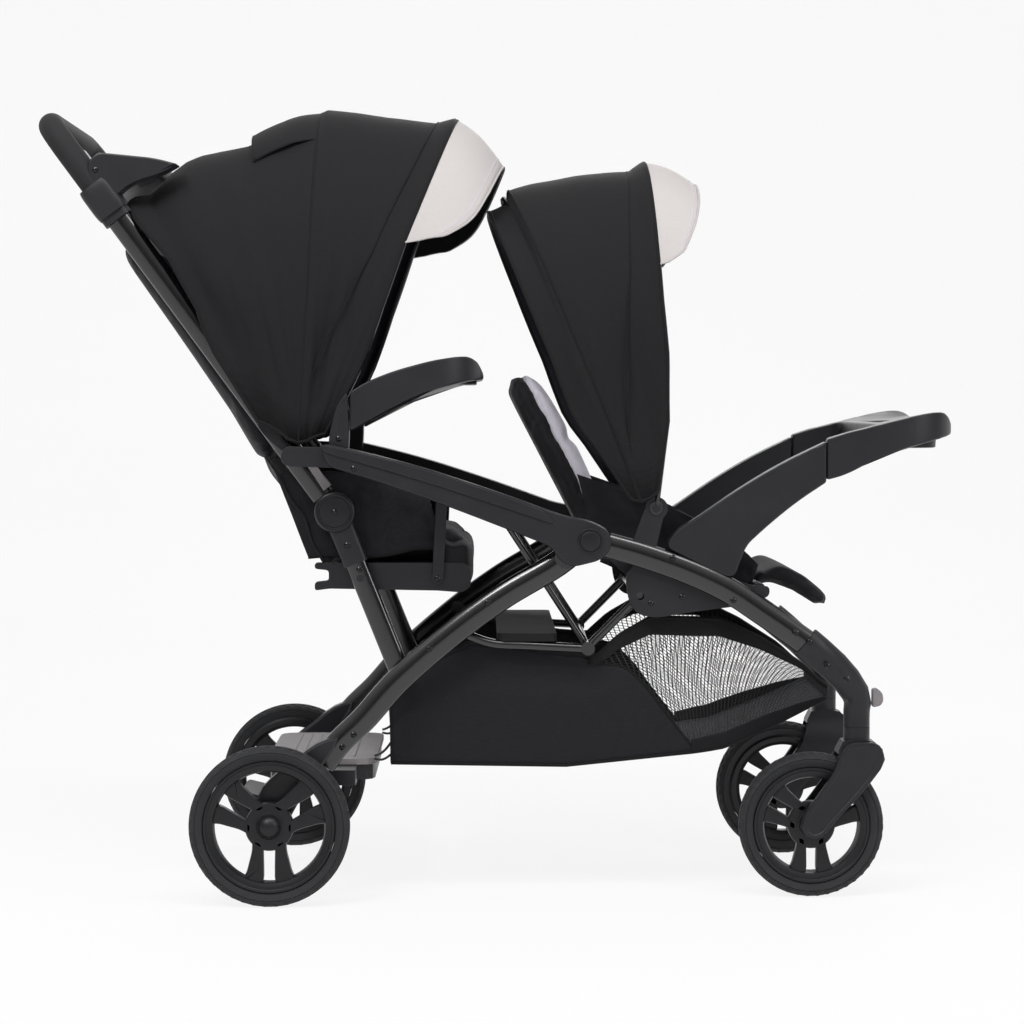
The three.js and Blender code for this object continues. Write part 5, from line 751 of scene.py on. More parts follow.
# Wheels
# The tyre's section up to its crown: shares of the band and of the width, with a shoulder groove
TYRE_SECTION = ((0.0, 0.14), (0.25, 0.06), (0.5, 0.02), (0.56, 0.05), (0.62, 0.02), (0.74, 0.04), (0.88, 0.1),
                (0.95, 0.17), (0.985, 0.26), (0.98, 0.3), (0.965, 0.31), (0.965, 0.34), (1.0, 0.36),
                (1.0, 0.5))
NOTCH_DEEP = 1.5
NOTCH_SHARE = 0.3
# Half a pair of spokes on a rim of the given inner radius: distance out from the axle, and to the side
SPOKE = ((20, 7.4), (31, 7.4), (52, 6.9), (76, 6.9), (76, 45), (67, 34), (58, 29), (44, 25.5), (31, 22),
         (14, 22))
SPOKE_RIM = 71
SPOKES = 6
# Radius of tyre, where the wheel begins along Y, its width and how far its axle cap stands out
WHEELS = (("rear", REAR_AXLE, 104, -270, 32, 11), ("front", FRONT_AXLE, 95, -199, 38, 2))


def wheel_profile(radius, band, low, wide):
    """The tyre's section as radius and depth pairs."""
    left = [(radius - band + r * band, low + out * wide) for r, out in TYRE_SECTION]
    return left + [(r, 2 * low + wide - y) for r, y in reversed(left[:-1])]


class STROLLER_OT_wheels(bpy.types.Operator):
    """Tyres with notched shoulders on rims with three pairs of spokes"""

    bl_idname = "stroller.wheels"
    bl_label = "Wheels"

    def build_tyre(self, bm, centre, radius, near, wide):
        band = sizes().tyre_band / MM
        count = sizes().notch_count
        add_lathe(bm, centre, wheel_profile(radius, band, near, wide), count * 4, closed=True)
        x, z = centre[0] * MM, centre[1] * MM
        middle = (near + wide / 2) * MM
        for vert in bm.verts:
            r = math.hypot(vert.co.x - x, vert.co.z - z) / MM
            turn = math.atan2(vert.co.z - z, vert.co.x - x) / (2 * math.pi) * count
            share = abs(vert.co.y - middle) / (wide / 2 * MM)
            if r > radius - band * 0.3 and share > 0.3 and (turn % 1.0) < NOTCH_SHARE:
                keep = 1 - NOTCH_DEEP / r
                vert.co.x = x + (vert.co.x - x) * keep
                vert.co.z = z + (vert.co.z - z) * keep

    def build_rim(self, bm, centre, radius, near, wide, cap):
        seat = radius - sizes().tyre_band / MM - 0.3
        inner = seat - 14.5
        low, high = near + wide * 0.1, near + wide * 0.9
        add_lathe(bm, centre, [(inner, low + 7), (inner + 2, low + 2.4), (inner + 6, low + 0.8),
                               (seat - 5, low + 0.2), (seat - 4, low - 0.8), (seat - 1, low - 0.6),
                               (seat, low + 1.2), (seat, high - 1.6), (seat - 3, high + 0.6),
                               (inner + 5, high - 1), (inner, high - 6)], 96, closed=True)
        grow = inner / SPOKE_RIM
        deep = low + 5
        for number in range(SPOKES):
            base = math.radians(270 + 120 * (number // 2))
            hand = 1 if number % 2 else -1
            outline = [(centre[0] + grow * (r * math.cos(base) - hand * s * math.sin(base)),
                        centre[1] + grow * (r * math.sin(base) + hand * s * math.cos(base)))
                       for r, s in SPOKE]
            add_shell(bm, rounded(outline, 12, 4), [(1.8, deep + 14), (0, deep + 12), (0, deep + 3.2),
                                                    (0.7, deep + 1.2), (3.4, deep)])
        hub = [(0, deep + 14), (27, deep + 14), (31.5, deep + 12), (31.5, deep + 3), (30.5, deep + 1),
               (28, deep), (0, deep)]
        cover = [(0, high), (19, high), (20, high - 2), (20, deep + 2), (18.8, deep - 0.6),
                 (16.6, deep - 1.2), (16, deep - 0.2), (0, deep - 0.2)]
        dome = [(14.8 * math.cos(a), deep - cap * math.sin(a)) for a in (k * math.pi / 16 for k in range(9))]
        add_lathe(bm, centre, hub, 48)
        add_lathe(bm, centre, cover, 48)
        add_lathe(bm, centre, [(14.8, deep + 1)] + dome, 40)

    def execute(self, context):
        for place, centre, radius, near, wide, cap in WHEELS:
            body = place + "_wheel_{side}"
            new_pair(f"{place}_foam_tyre", lambda bm: self.build_tyre(bm, centre, radius, near, wide), "tyre",
                     body, "tyre_rubber", [f"{place}_tyre"], sharp=28)
            new_pair(f"{place}_spoked_rim", lambda bm: self.build_rim(bm, centre, radius, near, wide, cap),
                     "dark_plastic", body, "black_plastic", [f"{place}_rim"], sharp=30)
        return {"FINISHED"}


# Canopies
class Fan:
    """Hoops that fan out from a centre low on the frame; tables by degrees give their reach and form.

    A seam is a table of degrees against the share of the way up from the pivots."""

    def __init__(self, centre, pivot, half, reach, low, power):
        self.centre, self.pivot, self.half = centre, pivot, half
        self.reach, self.low, self.power = reach, low, power

    def rise(self, turn):
        return max(math.sin(turn), 0.0) ** 0.69

    def point(self, degrees, turn, out=0.0):
        power = table_at(self.power, degrees)
        up = max(math.sin(turn), 0.0) ** (2 / power)
        side = math.copysign(abs(math.cos(turn)) ** (2 / power), math.cos(turn))
        low = table_at(self.low, degrees)
        reach = low + (table_at(self.reach, degrees) - low + out) * up
        angle = math.radians(degrees)
        return mm(self.centre[0] + reach * math.cos(angle), -(self.half + out) * side,
                  self.centre[1] + reach * math.sin(angle))

    def on_seam(self, seam, turn, out=0.0):
        return self.point(table_at(seam, self.rise(turn)), turn, out)

    def seam_line(self, seam, first=0.0, last=1.0, count=90, out=0.0):
        return [self.on_seam(seam, math.pi * (first + (last - first) * k / count), out)
                for k in range(count + 1)]


REAR_FAN = Fan((-252, 547), (-258, 606), 225,
               ((66, 520), (67.4, 522), (68.2, 525), (70.5, 511), (78, 501), (87.3, 499), (88.6, 492),
                (94.2, 474), (100.4, 459), (108, 460), (111, 457), (113.6, 450), (116, 440), (119, 432),
                (122, 452), (127, 466)),
               ((60, 74), (70, 66), (85, 54), (99, 52), (110, 60), (126, 98)),
               ((88, 2.9), (104, 3.4), (116, 5.5)))
FRONT_FAN = Fan((230, 388), (205, 513), 230,
                ((90, 580), (92.4, 586), (93.4, 588), (95.3, 577), (102.7, 584), (110.6, 588), (111.5, 588),
                 (112.2, 575), (118, 571)),
                ((91, 215), (92.6, 196), (94, 172), (97.8, 151), (103, 143), (108.5, 142), (112, 147),
                 (118, 166)),
                ((92, 3.0), (118, 3.6)))
REAR_EDGE = ((0, 66.5), (0.1, 64.4), (0.2, 63.9), (0.4, 66.2), (0.6, 67.4), (1, 67.8))
REAR_SEAM = ((0, 90), (0.15, 87.4), (0.38, 77.2), (0.56, 73.5), (0.81, 71.3), (1, 70.3))
REAR_BOW = ((0, 98), (0.08, 93), (0.2, 90.4), (0.45, 88.8), (1, 88.1))
REAR_HEM = ((0, 127), (0.08, 125), (0.25, 121.5), (0.5, 121), (0.7, 122.5), (0.85, 123), (0.93, 121),
            (1, 118.2))
FLAP_EDGE = ((0, 99), (1, 99.3))
FRONT_EDGE = ((0, 99), (0.03, 96), (0.1, 92.7), (0.3, 92.0), (0.5, 92.6), (1, 93.2))
FRONT_SEAM = ((0, 108), (0.06, 107.5), (0.35, 101.4), (0.64, 97.7), (1, 95.5))
STRIP_SEAM = ((0, 108.8), (0.1, 109.5), (0.4, 110.7), (1, 111.5))
FRONT_HEM = ((0, 113), (0.05, 115.5), (0.18, 118.6), (0.4, 116.7), (0.7, 115.7), (1, 115))


HEM_RADIUS = 2.4


def folds(degrees, turn, seed):
    """How far the cloth stands off its smooth form: slack gathers near the pivots, taut at the top."""
    rise = max(math.sin(turn), 0.0) ** 0.69
    slack = 0.2 + 0.8 * math.exp(-((rise - 0.28) / 0.2) ** 2)
    side = 11.0 if math.cos(turn) > 0 else 47.0
    slow = noise.noise(Vector((degrees * 0.115, rise * 1.5 + side, seed)))
    fine = noise.noise(Vector((degrees * 0.3, rise * 2.6 + side, seed + 7)))
    return (slow * 12.0 + fine * 3.2) * slack * min(1.0, rise * 8)


def cloth_panel(name, fan, first, last, seed, sag=3.0, lift=0.0, replaces=(), span=(0.0, 1.0),
                nu=56):
    """One sewn panel of canopy cloth between two seams of a fan, and the function that lays it."""
    def place(u, v):
        turn = math.pi * (span[0] + (span[1] - span[0]) * v)
        rise = fan.rise(turn)
        start, end = table_at(first, rise), table_at(last, rise)
        drop = sag * math.sin(math.pi * u) * math.sin(turn) ** 0.5
        held = min(1.0, 5 * u, 5 * (1 - u)) ** 0.7
        free = math.sin(math.pi * v) ** 0.4
        return fan.point(start + (end - start) * u, turn,
                         folds(start + (end - start) * u, turn, seed) * held - drop + lift * u * free)
    flat = cut_size(place)
    bm = bmesh.new()
    add_sheet(bm, nu, 120, place, flat)
    piece = new_piece(name, bm, ("cloth", "lining"), None, "black_fabric", replaces, sharp=180)
    add_modifier(piece, "SOLIDIFY", thickness=sizes().cloth_thick, offset=-1.0, material_offset=1,
                 use_even_offset=False)
    return piece, place


def edge_cord(name, points, radius, look="lining", body=None, slot=None, sides=10):
    """A sewn binding or seam cord along a line of points."""
    frames = []
    side = None
    for place, way in zip(points, ways_along(points)):
        side = way.orthogonal() if side is None else side - way * side.dot(way)
        side.normalize()
        frames.append((place, side.copy(), way.cross(side)))
    bm = bmesh.new()
    add_rings(bm, frames, 2 * radius * MM, 2 * radius * MM, sides)
    return new_piece(name, bm, look, body, slot)


def seam_cords(fan, rows):
    """Cords along whole seams: their names, seams, radii and how far they stand off."""
    return [edge_cord(name, fan.seam_line(seam, out=out), radius) for name, seam, radius, out in rows]


def low_cords(name, fan, first, last):
    """The bindings of the lower edge, from one seam round to another."""
    return [edge_cord(f"{name}_{left}", bottom_line(fan, first, last, left), HEM_RADIUS)
            for left in (False, True)]


def bottom_line(fan, first, last, left, count=24):
    """The cloth's lower edge on one side, from one seam round to another."""
    turn = math.pi if left else 0.0
    start, end = table_at(first, 0.0), table_at(last, 0.0)
    return [fan.point(start + (end - start) * k / count, turn) for k in range(count + 1)]


def spread(fan, pieces):
    """Bakes each cloth piece's placement into its own mesh."""
    def spot(degrees):
        angle = math.radians(degrees)
        return (fan.pivot[0] * MM + 0.3 * math.cos(angle), 0.0, fan.pivot[1] * MM + 0.3 * math.sin(angle))
    for piece in pieces:
        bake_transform(piece)


class STROLLER_OT_canopies(bpy.types.Operator):
    """Sewn cloth of both canopies over their wire bows, with bindings and seams"""

    bl_idname = "stroller.canopies"
    bl_label = "Canopies"

    def execute(self, context):
        back, _ = cloth_panel("rear_canopy_back_panel", REAR_FAN, REAR_BOW, REAR_HEM, 3,
                              replaces=["rear_canopy_fabric"])
        flap, flap_place = cloth_panel("rear_canopy_flap", REAR_FAN, REAR_BOW, FLAP_EDGE, 5, sag=-5.0,
                                       lift=7.0, span=(0.33, 0.67), nu=24)
        front, _ = cloth_panel("rear_canopy_front_panel", REAR_FAN, REAR_EDGE, REAR_BOW, 11)
        behind = [back, flap] + seam_cords(REAR_FAN, (("rear_canopy_hem", REAR_HEM, HEM_RADIUS, 0.0),
                                                      ("rear_canopy_bow_seam", REAR_BOW, 1.5, 0.4)))
        behind.append(edge_cord("rear_flap_binding", [flap_place(1.0, k / 60) for k in range(61)], 1.8))
        behind += low_cords("rear_canopy_low_back", REAR_FAN, REAR_BOW, REAR_HEM)
        ahead = [front] + seam_cords(REAR_FAN, (("rear_canopy_front_seam", REAR_SEAM, 1.1, 0.3),
                                                ("rear_canopy_edge", REAR_EDGE, HEM_RADIUS, 0.0)))
        ahead += low_cords("rear_canopy_low_front", REAR_FAN, REAR_EDGE, REAR_BOW)
        spread(REAR_FAN, behind)
        spread(REAR_FAN, ahead)

        main_panel, _ = cloth_panel("front_canopy_panel", FRONT_FAN, FRONT_EDGE, STRIP_SEAM, 23,
                                    replaces=["front_canopy_fabric"])
        strip, _ = cloth_panel("front_canopy_strip", FRONT_FAN, STRIP_SEAM, FRONT_HEM, 29, sag=2.0,
                               nu=16)
        pieces = [main_panel, strip] + seam_cords(FRONT_FAN, (
            ("front_canopy_hem", FRONT_HEM, HEM_RADIUS, 0.0),
            ("front_canopy_strip_seam", STRIP_SEAM, 2.0, 0.8),
            ("front_canopy_seam", FRONT_SEAM, 1.1, 0.3),
            ("front_canopy_edge", FRONT_EDGE, HEM_RADIUS, 0.0)))
        pieces += low_cords("front_canopy_low", FRONT_FAN, FRONT_EDGE, FRONT_HEM)
        spread(FRONT_FAN, pieces)

        for name, fan, seam, body in (("rear_canopy_middle_bow", REAR_FAN, REAR_BOW, "rear_middle_bow"),
                                      ("rear_canopy_front_bow", REAR_FAN, REAR_EDGE, "rear_front_bow"),
                                      ("front_canopy_front_bow", FRONT_FAN, FRONT_EDGE, "front_bow")):
            bm = bmesh.new()
            wire = fan.seam_line(seam, 0.012, 0.988, 80, -6.0)
            half = fan.half - 10
            ends = [mm(fan.pivot[0], sign * half, fan.pivot[1]) for sign in (-1, 1)]
            add_tube(bm, [ends[0]] + wire + [ends[1]], 0.007, sides=12, up_hint=Vector((1, 0, 0.4)))
            for y in (-half, half):
                add_lathe(bm, fan.pivot, [(0, y - 3), (9, y - 3), (10, y - 2), (10, y + 2), (9, y + 3),
                                          (0, y + 3)], 24)
            new_piece(f"{name}_wire", bm, "paint", body, "black_paint", [name])
        return {"FINISHED"}


REAR_BRIM = ((0.0, (63, -64)), (0.5, (62, -54)), (0.75, (57, -40)), (1.0, (32, -4)))
FRONT_BRIM = ((0.0, (68, -34)), (0.5, (64, -16)), (0.75, (52, -6)), (1.0, (24, -4)))


class STROLLER_OT_visors(bpy.types.Operator):
    """Stiffened pale brims on the front edge of each canopy"""

    bl_idname = "stroller.visors"
    bl_label = "Visors"

    def execute(self, context):
        for name, fan, seam, brim, span, body, node in (
                ("rear_brim", REAR_FAN, REAR_EDGE, REAR_BRIM, 0.345, "rear_front_bow", "rear_canopy_visor"),
                ("front_brim", FRONT_FAN, FRONT_EDGE, FRONT_BRIM, 0.333, "front_bow", "front_canopy_visor")):

            def place(u, v):
                turn = math.pi * (0.5 + (v - 0.5) * 2 * span)
                s = (abs(v - 0.5) * 2) ** 1.15
                forth, rise = smooth_at(brim, s)
                close = min(1.0, (1 - s) / 0.09) ** 0.5
                crown = 5 * math.sin(math.pi * u) * (1 - s * s)
                return fan.on_seam(seam, turn, 0.6) + mm(forth * u * close, 0,
                                                         (rise * (0.75 * u + 0.25 * u * u) + crown) * close)
            flat = cut_size(place)
            bm = bmesh.new()
            add_sheet(bm, 14, 110, place, flat)
            sheet = new_piece(name, bm, ("cream", "lining"), body, "visor_cream", [node], sharp=180)
            add_modifier(sheet, "SOLIDIFY", thickness=0.0022, offset=-1.0, material_offset=1)
            edge = [place(1.0, k / 110) for k in range(111)]
            edge_cord(f"{name}_binding", edge, 1.5, "cream", body, "visor_cream")
            stitch = [place(0.88, 0.04 + 0.92 * k / 90) + mm(0, 0, 0.5) for k in range(91)]
            edge_cord(f"{name}_stitch", stitch, 0.5, "pale", body, "visor_cream", sides=6)
        return {"FINISHED"}


# Padded pieces
def puff(piece, swell, voxel=0.006, pressure=4.0, frames=20):
    """Swells a closed shape by cloth pressure, no point further than the given distance."""
    add_modifier(piece, "REMESH", mode="VOXEL", voxel_size=voxel)
    apply_modifiers(piece)
    before = [v.co.copy() for v in piece.data.vertices]
    cloth = piece.modifiers.new("Cloth", "CLOTH")
    settings = cloth.settings
    settings.use_pressure = True
    settings.uniform_pressure_force = pressure
    settings.effector_weights.gravity = 0
    settings.tension_stiffness = 12
    settings.compression_stiffness = 12
    cloth.collision_settings.use_collision = False
    scene = bpy.context.scene
    cloth.point_cache.frame_start, cloth.point_cache.frame_end = 1, frames
    for number in range(1, frames + 1):
        scene.frame_set(number)
    found = piece.evaluated_get(bpy.context.evaluated_depsgraph_get())
    after = [v.co.copy() for v in found.data.vertices]
    piece.modifiers.remove(cloth)
    scene.frame_set(1)
    for vert, old, new in zip(piece.data.vertices, before, after):
        step = new - old
        if step.length > swell:
            step = step.normalized() * swell
        vert.co = old + step
    piece.data.update()


def apply_modifiers(piece):
    found = piece.evaluated_get(bpy.context.evaluated_depsgraph_get())
    mesh = bpy.data.meshes.new_from_object(found)
    mesh.name = piece.data.name
    old = piece.data
    piece.modifiers.clear()
    piece.data = mesh
    bpy.data.meshes.remove(old)
    piece.data.shade_smooth()


def pad_piece(name, place, body, replaces, channels, swell=None, look="pad_cloth"):
    """A stuffed pad: a rounded block bent to its place, swollen, then sewn down along its channels.

    place(u, v, w) gives a point from shares along, across and through; channels are (way, share) lines."""
    bm = bmesh.new()
    bmesh.ops.create_cube(bm, size=1.0)
    bmesh.ops.bevel(bm, geom=bm.edges[:], offset=0.12, segments=3, profile=0.5, affect="EDGES", material=-1)
    bmesh.ops.subdivide_edges(bm, edges=bm.edges[:], cuts=5, use_grid_fill=True)
    for vert in bm.verts:
        vert.co = place(*(part + 0.5 for part in vert.co))
    piece = new_piece(name, bm, look, sharp=180)
    puff(piece, sizes().swell if swell is None else swell)
    spots = [place(share, k / 60, 1.0) if way == "u" else place(k / 60, share, 1.0)
             for way, share in channels for k in range(61)]
    tree = KDTree(len(spots))
    for number, spot in enumerate(spots):
        tree.insert(spot, number)
    tree.balance()
    inward = (place(0.5, 0.5, 0.0) - place(0.5, 0.5, 1.0)).normalized()
    for vert in piece.data.vertices:
        vert.co += inward * SEWN_DEEP * math.exp(-(tree.find(vert.co)[2] / SEWN_WIDE) ** 2)
    piece.data.update()
    add_modifier(piece, "SUBSURF", levels=1, render_levels=1)
    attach(piece, body)
    if replaces:
        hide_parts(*replaces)


def crowned(share, fall):
    """One in the middle of a cushion, less by the given fall at its ends."""
    return 1 - fall * (2 * share - 1) ** 4


def hold(piece, body_a, body_b=None, start=None, end=None):
    """Lets a piece ride on one body; given a second body, it only has its placement baked into its mesh."""
    if body_b:
        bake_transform(piece)
    else:
        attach(piece, body_a)


def laid(name, place, rests_on, *held_by):
    """A sheet of seat cloth, riding on one body, or baked in place where two are given."""
    bm = bmesh.new()
    add_sheet(bm, 40, 44, place, cut_size(place))
    piece = new_piece(name, bm, "pad_cloth", None, "black_fabric", sharp=180)
    add_modifier(piece, "SOLIDIFY", thickness=0.003, offset=0.0)
    hold(piece, *held_by)
    cut_size(place)


BACK_LEAN = math.radians(117.5)
SEWN_DEEP = 0.006
SEWN_WIDE = 0.009
FOOT_LINE = ((0, (338, 424)), (0.15, (352, 433)), (0.35, (372, 434)), (0.6, (404, 420)), (0.85, (430, 399)),
             (1.0, (443, 388)))
# How far the rear back lies behind the handle tubes, by the share of the way up
REAR_BACK_BEHIND = ((-0.12, 56), (0, 45), (0.1, 36), (0.2, 28), (0.3, 22), (0.5, 19), (0.72, 17))
REAR_WING_LOW = ((0, (-250, 447)), (0.15, (-221, 449)), (0.4, (-179, 447)), (0.62, (-140, 451)),
                 (0.8, (-113, 458)), (0.92, (-88, 459)), (1, (-72, 464)))
REAR_WING_TOP = ((0, (-292, 556)), (0.3, (-230, 560)), (0.65, (-164, 554)), (0.88, (-110, 540)),
                 (1, (-92, 526)))
FRONT_WING_LOW = ((0, (135, 442)), (0.25, (190, 420)), (0.5, (250, 409)), (0.8, (310, 406)), (1, (336, 412)))
FRONT_WING_TOP = ((0, (104, 556)), (0.28, (170, 533)), (0.6, (248, 503)), (0.87, (317, 460)), (1, (344, 436)))


class STROLLER_OT_seats(bpy.types.Operator):
    """Padded backs, cushions and the footrest"""

    bl_idname = "stroller.seats"
    bl_label = "Seats"

    def execute(self, context):
        back_up = Vector((math.cos(BACK_LEAN), math.sin(BACK_LEAN)))
        back_ahead = Vector((back_up.y, -back_up.x))

        def on_back(u, v, along, ahead, half):
            spot = Vector(RECLINE) + back_up * along + back_ahead * ahead
            return mm(spot.x, (2 * v - 1) * half * (1 - 0.5 * max(0.0, u - 0.8)), spot.y)

        def front_back(u, v, w):
            return on_back(u, v, 14 + 262 * u, -12 + 19 * w * crowned(u, 0.2), 150)

        def lining(u, v, w):
            return on_back(u, v, 60 + 208 * u, 4 + (6 + 13 * math.sin(math.pi * u) ** 0.4) * w, 143)

        def front_cushion(u, v, w):
            return mm(203 + 119 * u, (2 * v - 1) * 150, 403 + 26 * w * crowned(u, 0.15))

        def foot_pad(u, v, w):
            x, z = (table_at([(stop, spot[axis]) for stop, spot in FOOT_LINE], u) for axis in (0, 1))
            thick = 22 * (1 - 0.55 * u)
            return mm(x - (1 - w) * thick * 0.5, (2 * v - 1) * 144, z - (1 - w) * thick - 2)

        def rear_cushion(u, v, w):
            drop = 70 * max(0.0, u - 0.8)
            return mm(-218 + 180 * u, (2 * v - 1) * 148, 442 - drop + (34 + drop) * w * crowned(u, 0.12))

        def nose_roll(u, v, w):
            gather = noise.noise(Vector((v * 34, w * 2.0, 3.0))) * 3.0 * math.sin(math.pi * w)
            return mm(-84 + 48 * u + gather * u, (2 * v - 1) * 178, 408 + 64 * w - 6 * u * u)

        def behind(share, y, half, off):
            x, z = between(KNUCKLE, HANDLE_TOP, share, table_at(REAR_BACK_BEHIND, share) + off)
            return mm(x, y * half, z)

        def rear_back(u, v, w):
            side = 2 * v - 1
            sag = 14 * (1 - side * side) * (1 - 0.5 * u)
            return behind(0.165 + 0.555 * u, side, 181, sag + 2 - 20 * w)

        def skirt(u, v):
            side = 2 * v - 1
            slack = noise.noise(Vector((u * 5, side * 2.2, 9))) * 7
            return behind(-0.12 + 0.30 * u, side, 177, 12 * (1 - side * side) + slack)

        pad_piece("front_back_pad", front_back, "front_seat_back", ["front_seat_back"],
                  [("u", 0.3), ("u", 0.62), ("v", 0.16), ("v", 0.84)])
        pad_piece("front_back_lining", lining, "front_seat_back", [],
                  [("u", 0.5), ("v", 0.2), ("v", 0.8)], 0.004, "pale")
        pad_piece("front_cushion", front_cushion, "front_frame", ["front_seat_cushion"],
                  [("u", 0.5), ("v", 0.2), ("v", 0.8)])
        pad_piece("foot_pad", foot_pad, "footrest", ["footrest"], [("u", 0.22)], 0.004)
        pad_piece("rear_cushion", rear_cushion, "rear_seat", ["rear_seat_cushion"],
                  [("u", 0.34), ("u", 0.67)])
        pad_piece("rear_seat_nose", nose_roll, "rear_seat", [], [("u", 0.5)], 0.003)
        pad_piece("rear_back_pad", rear_back, "handle", ["rear_seat_back"],
                  [("u", 0.25), ("u", 0.5), ("u", 0.75), ("v", 0.2), ("v", 0.8)], 0.006)
        laid("rear_back_skirt", skirt, "rear_seat_frame", "lower_struts", "handle", (-0.18, 0, 0.45),
             (-0.27, 0, 0.56))

        for name, low, top, half, rests_on, held_by in (
                ("rear_seat_wing", REAR_WING_LOW, REAR_WING_TOP, 171, "rear_seat_frame",
                 ("lower_struts", "rear_seat", (-0.26, 0, 0.5), (-0.1, 0, 0.46))),
                ("front_seat_wing", FRONT_WING_LOW, FRONT_WING_TOP, 158, "front_seat_base",
                 ("front_frame",))):
            for side, sign in SIDES:
                def wing(u, v):
                    spot = smooth_at(low, u).lerp(smooth_at(top, u), v)
                    pleat = math.sin(u * 30 + 2.2 * noise.noise(Vector((u * 6, v * 2, 5)))) * 2.4 * u * u
                    slack = noise.noise(Vector((u * 4, v * 3, 21 + sign))) * 5
                    ends = min(1, 6 * u, 6 * (1 - u), 7 * v, 7 * (1 - v))
                    return mm(spot.x, sign * (half + (pleat + slack) * ends), spot.y)
                laid(f"{name}_{side}", wing, rests_on, *held_by)
                piping = [wing(k / 60, 0.0) for k in range(61)]
                hold(edge_cord(f"{name}_piping_{side}", piping, HEM_RADIUS), *held_by)
        return {"FINISHED"}


# Basket, in metres along X and up Z
BAG_BACK = -0.142
BAG_NOSE = 0.438
BAG_LONG = BAG_NOSE - BAG_BACK
BAG_TOP = ((BAG_BACK, 0.25), (-0.128, 0.277), (-0.085, 0.312), (-0.037, 0.336), (0.03, 0.33), (0.09, 0.321),
           (0.13, 0.318), (0.16, 0.345), (0.2, 0.368), (0.29, 0.366), (0.345, 0.34), (0.4, 0.305),
           (0.436, 0.272))
BAG_LOW = ((BAG_BACK, 0.174), (0.09, 0.1705), (0.26, 0.188), (0.30, 0.194), (0.38, 0.228), (BAG_NOSE, 0.256))
BAG_SEAM = ((0.0, 0.262), (0.35, 0.215), (0.7, 0.17), (0.92, 0.128), (1.0, 0.1))
# Half widths of the bag by place along X: at its top and at its bottom, in millimetres
BAG_TOP_HALF = ((-0.14, 181), (0.28, 181), (0.44, 134))
BAG_LOW_HALF = ((-0.14, 162), (0.28, 162), (0.44, 128))
BAND_OFF = Vector((0, 0.0012, 0))
REAR_BAR_SHARES = ((0.13, -0.5), (0.3, -0.92), (0.55, -0.6))
TIES = ((0.184, 0.178), (0.2, 0.182))


def bag_half(x, share):
    top, low = table_at(BAG_TOP_HALF, x), table_at(BAG_LOW_HALF, x)
    return (low + (top - low) * min(1.0, share * 1.6)) * MM


def bag_side(x, share):
    """A point of the bag's right side, from its place along X and its share of the way up."""
    top, low = table_at(BAG_TOP, x), table_at(BAG_LOW, x)
    ripple = noise.noise(Vector((x * 14, share * 3, 4))) * 0.004 * share * (1.2 - share)
    along = math.pi * min(1, max(0, (x - BAG_BACK) / BAG_LONG))
    belly = 0.003 * math.sin(math.pi * share) * math.sin(along)
    return Vector((x, -(bag_half(x, share) + belly + ripple), low + (top - low) * share))


def seam_x(share):
    return table_at(BAG_SEAM, share)


def bag_panel(u, v):
    return bag_side(BAG_BACK + (seam_x(v) - BAG_BACK) * u, v)


def bag_window(u, v):
    return bag_side(seam_x(v) + (BAG_NOSE - seam_x(v)) * u, v)


def rim_band(u, v):
    dip = 0.04 * math.sin(math.pi * u)
    return bag_side(0.118 + 0.32 * u, 0.91 - dip + (0.09 + dip) * v) - BAND_OFF


def foot_band(u, v):
    return bag_side(0.255 + 0.183 * u, (0.1 + 0.12 * u) * v) - BAND_OFF


def bag_bottom(u, v):
    x = BAG_BACK + BAG_LONG * u
    sag = 0.003 * math.sin(math.pi * v) * math.sin(math.pi * u)
    return Vector((x, (2 * v - 1) * bag_half(x, 0), table_at(BAG_LOW, x) - sag + 0.003))


def bag_rear(u, v):
    low, top = BAG_LOW[0][1], BAG_TOP[0][1]
    bulge = math.sin(math.pi * v)
    return Vector((BAG_BACK - 0.006 * bulge * u, (2 * v - 1) * bag_half(BAG_BACK, u),
                   low + (top - low) * u - 0.02 * u * bulge))


def bag_nose(u, v):
    low, top = BAG_LOW[-1][1], BAG_TOP[-1][1]
    return Vector((BAG_NOSE, (2 * v - 1) * bag_half(BAG_NOSE, u), low + (top - low) * u))


def over_frame(piece):
    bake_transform(piece)


def sewn(name, place, nu, nv, look, paired=False, replaces=()):
    """One cloth panel of the bag, or the same on both sides."""
    def build(bm):
        add_sheet(bm, nu, nv, place, cut_size(place))
    if paired:
        pieces = new_pair(name, build, look, "", "black_fabric")
    else:
        bm = bmesh.new()
        build(bm)
        pieces = [new_piece(name, bm, look, None, "black_fabric", replaces, sharp=180)]
    for piece in pieces:
        if look != "net":
            add_modifier(piece, "SOLIDIFY", thickness=0.0014, offset=0.0, material_offset=1)
        over_frame(piece)
        cut_size(place)


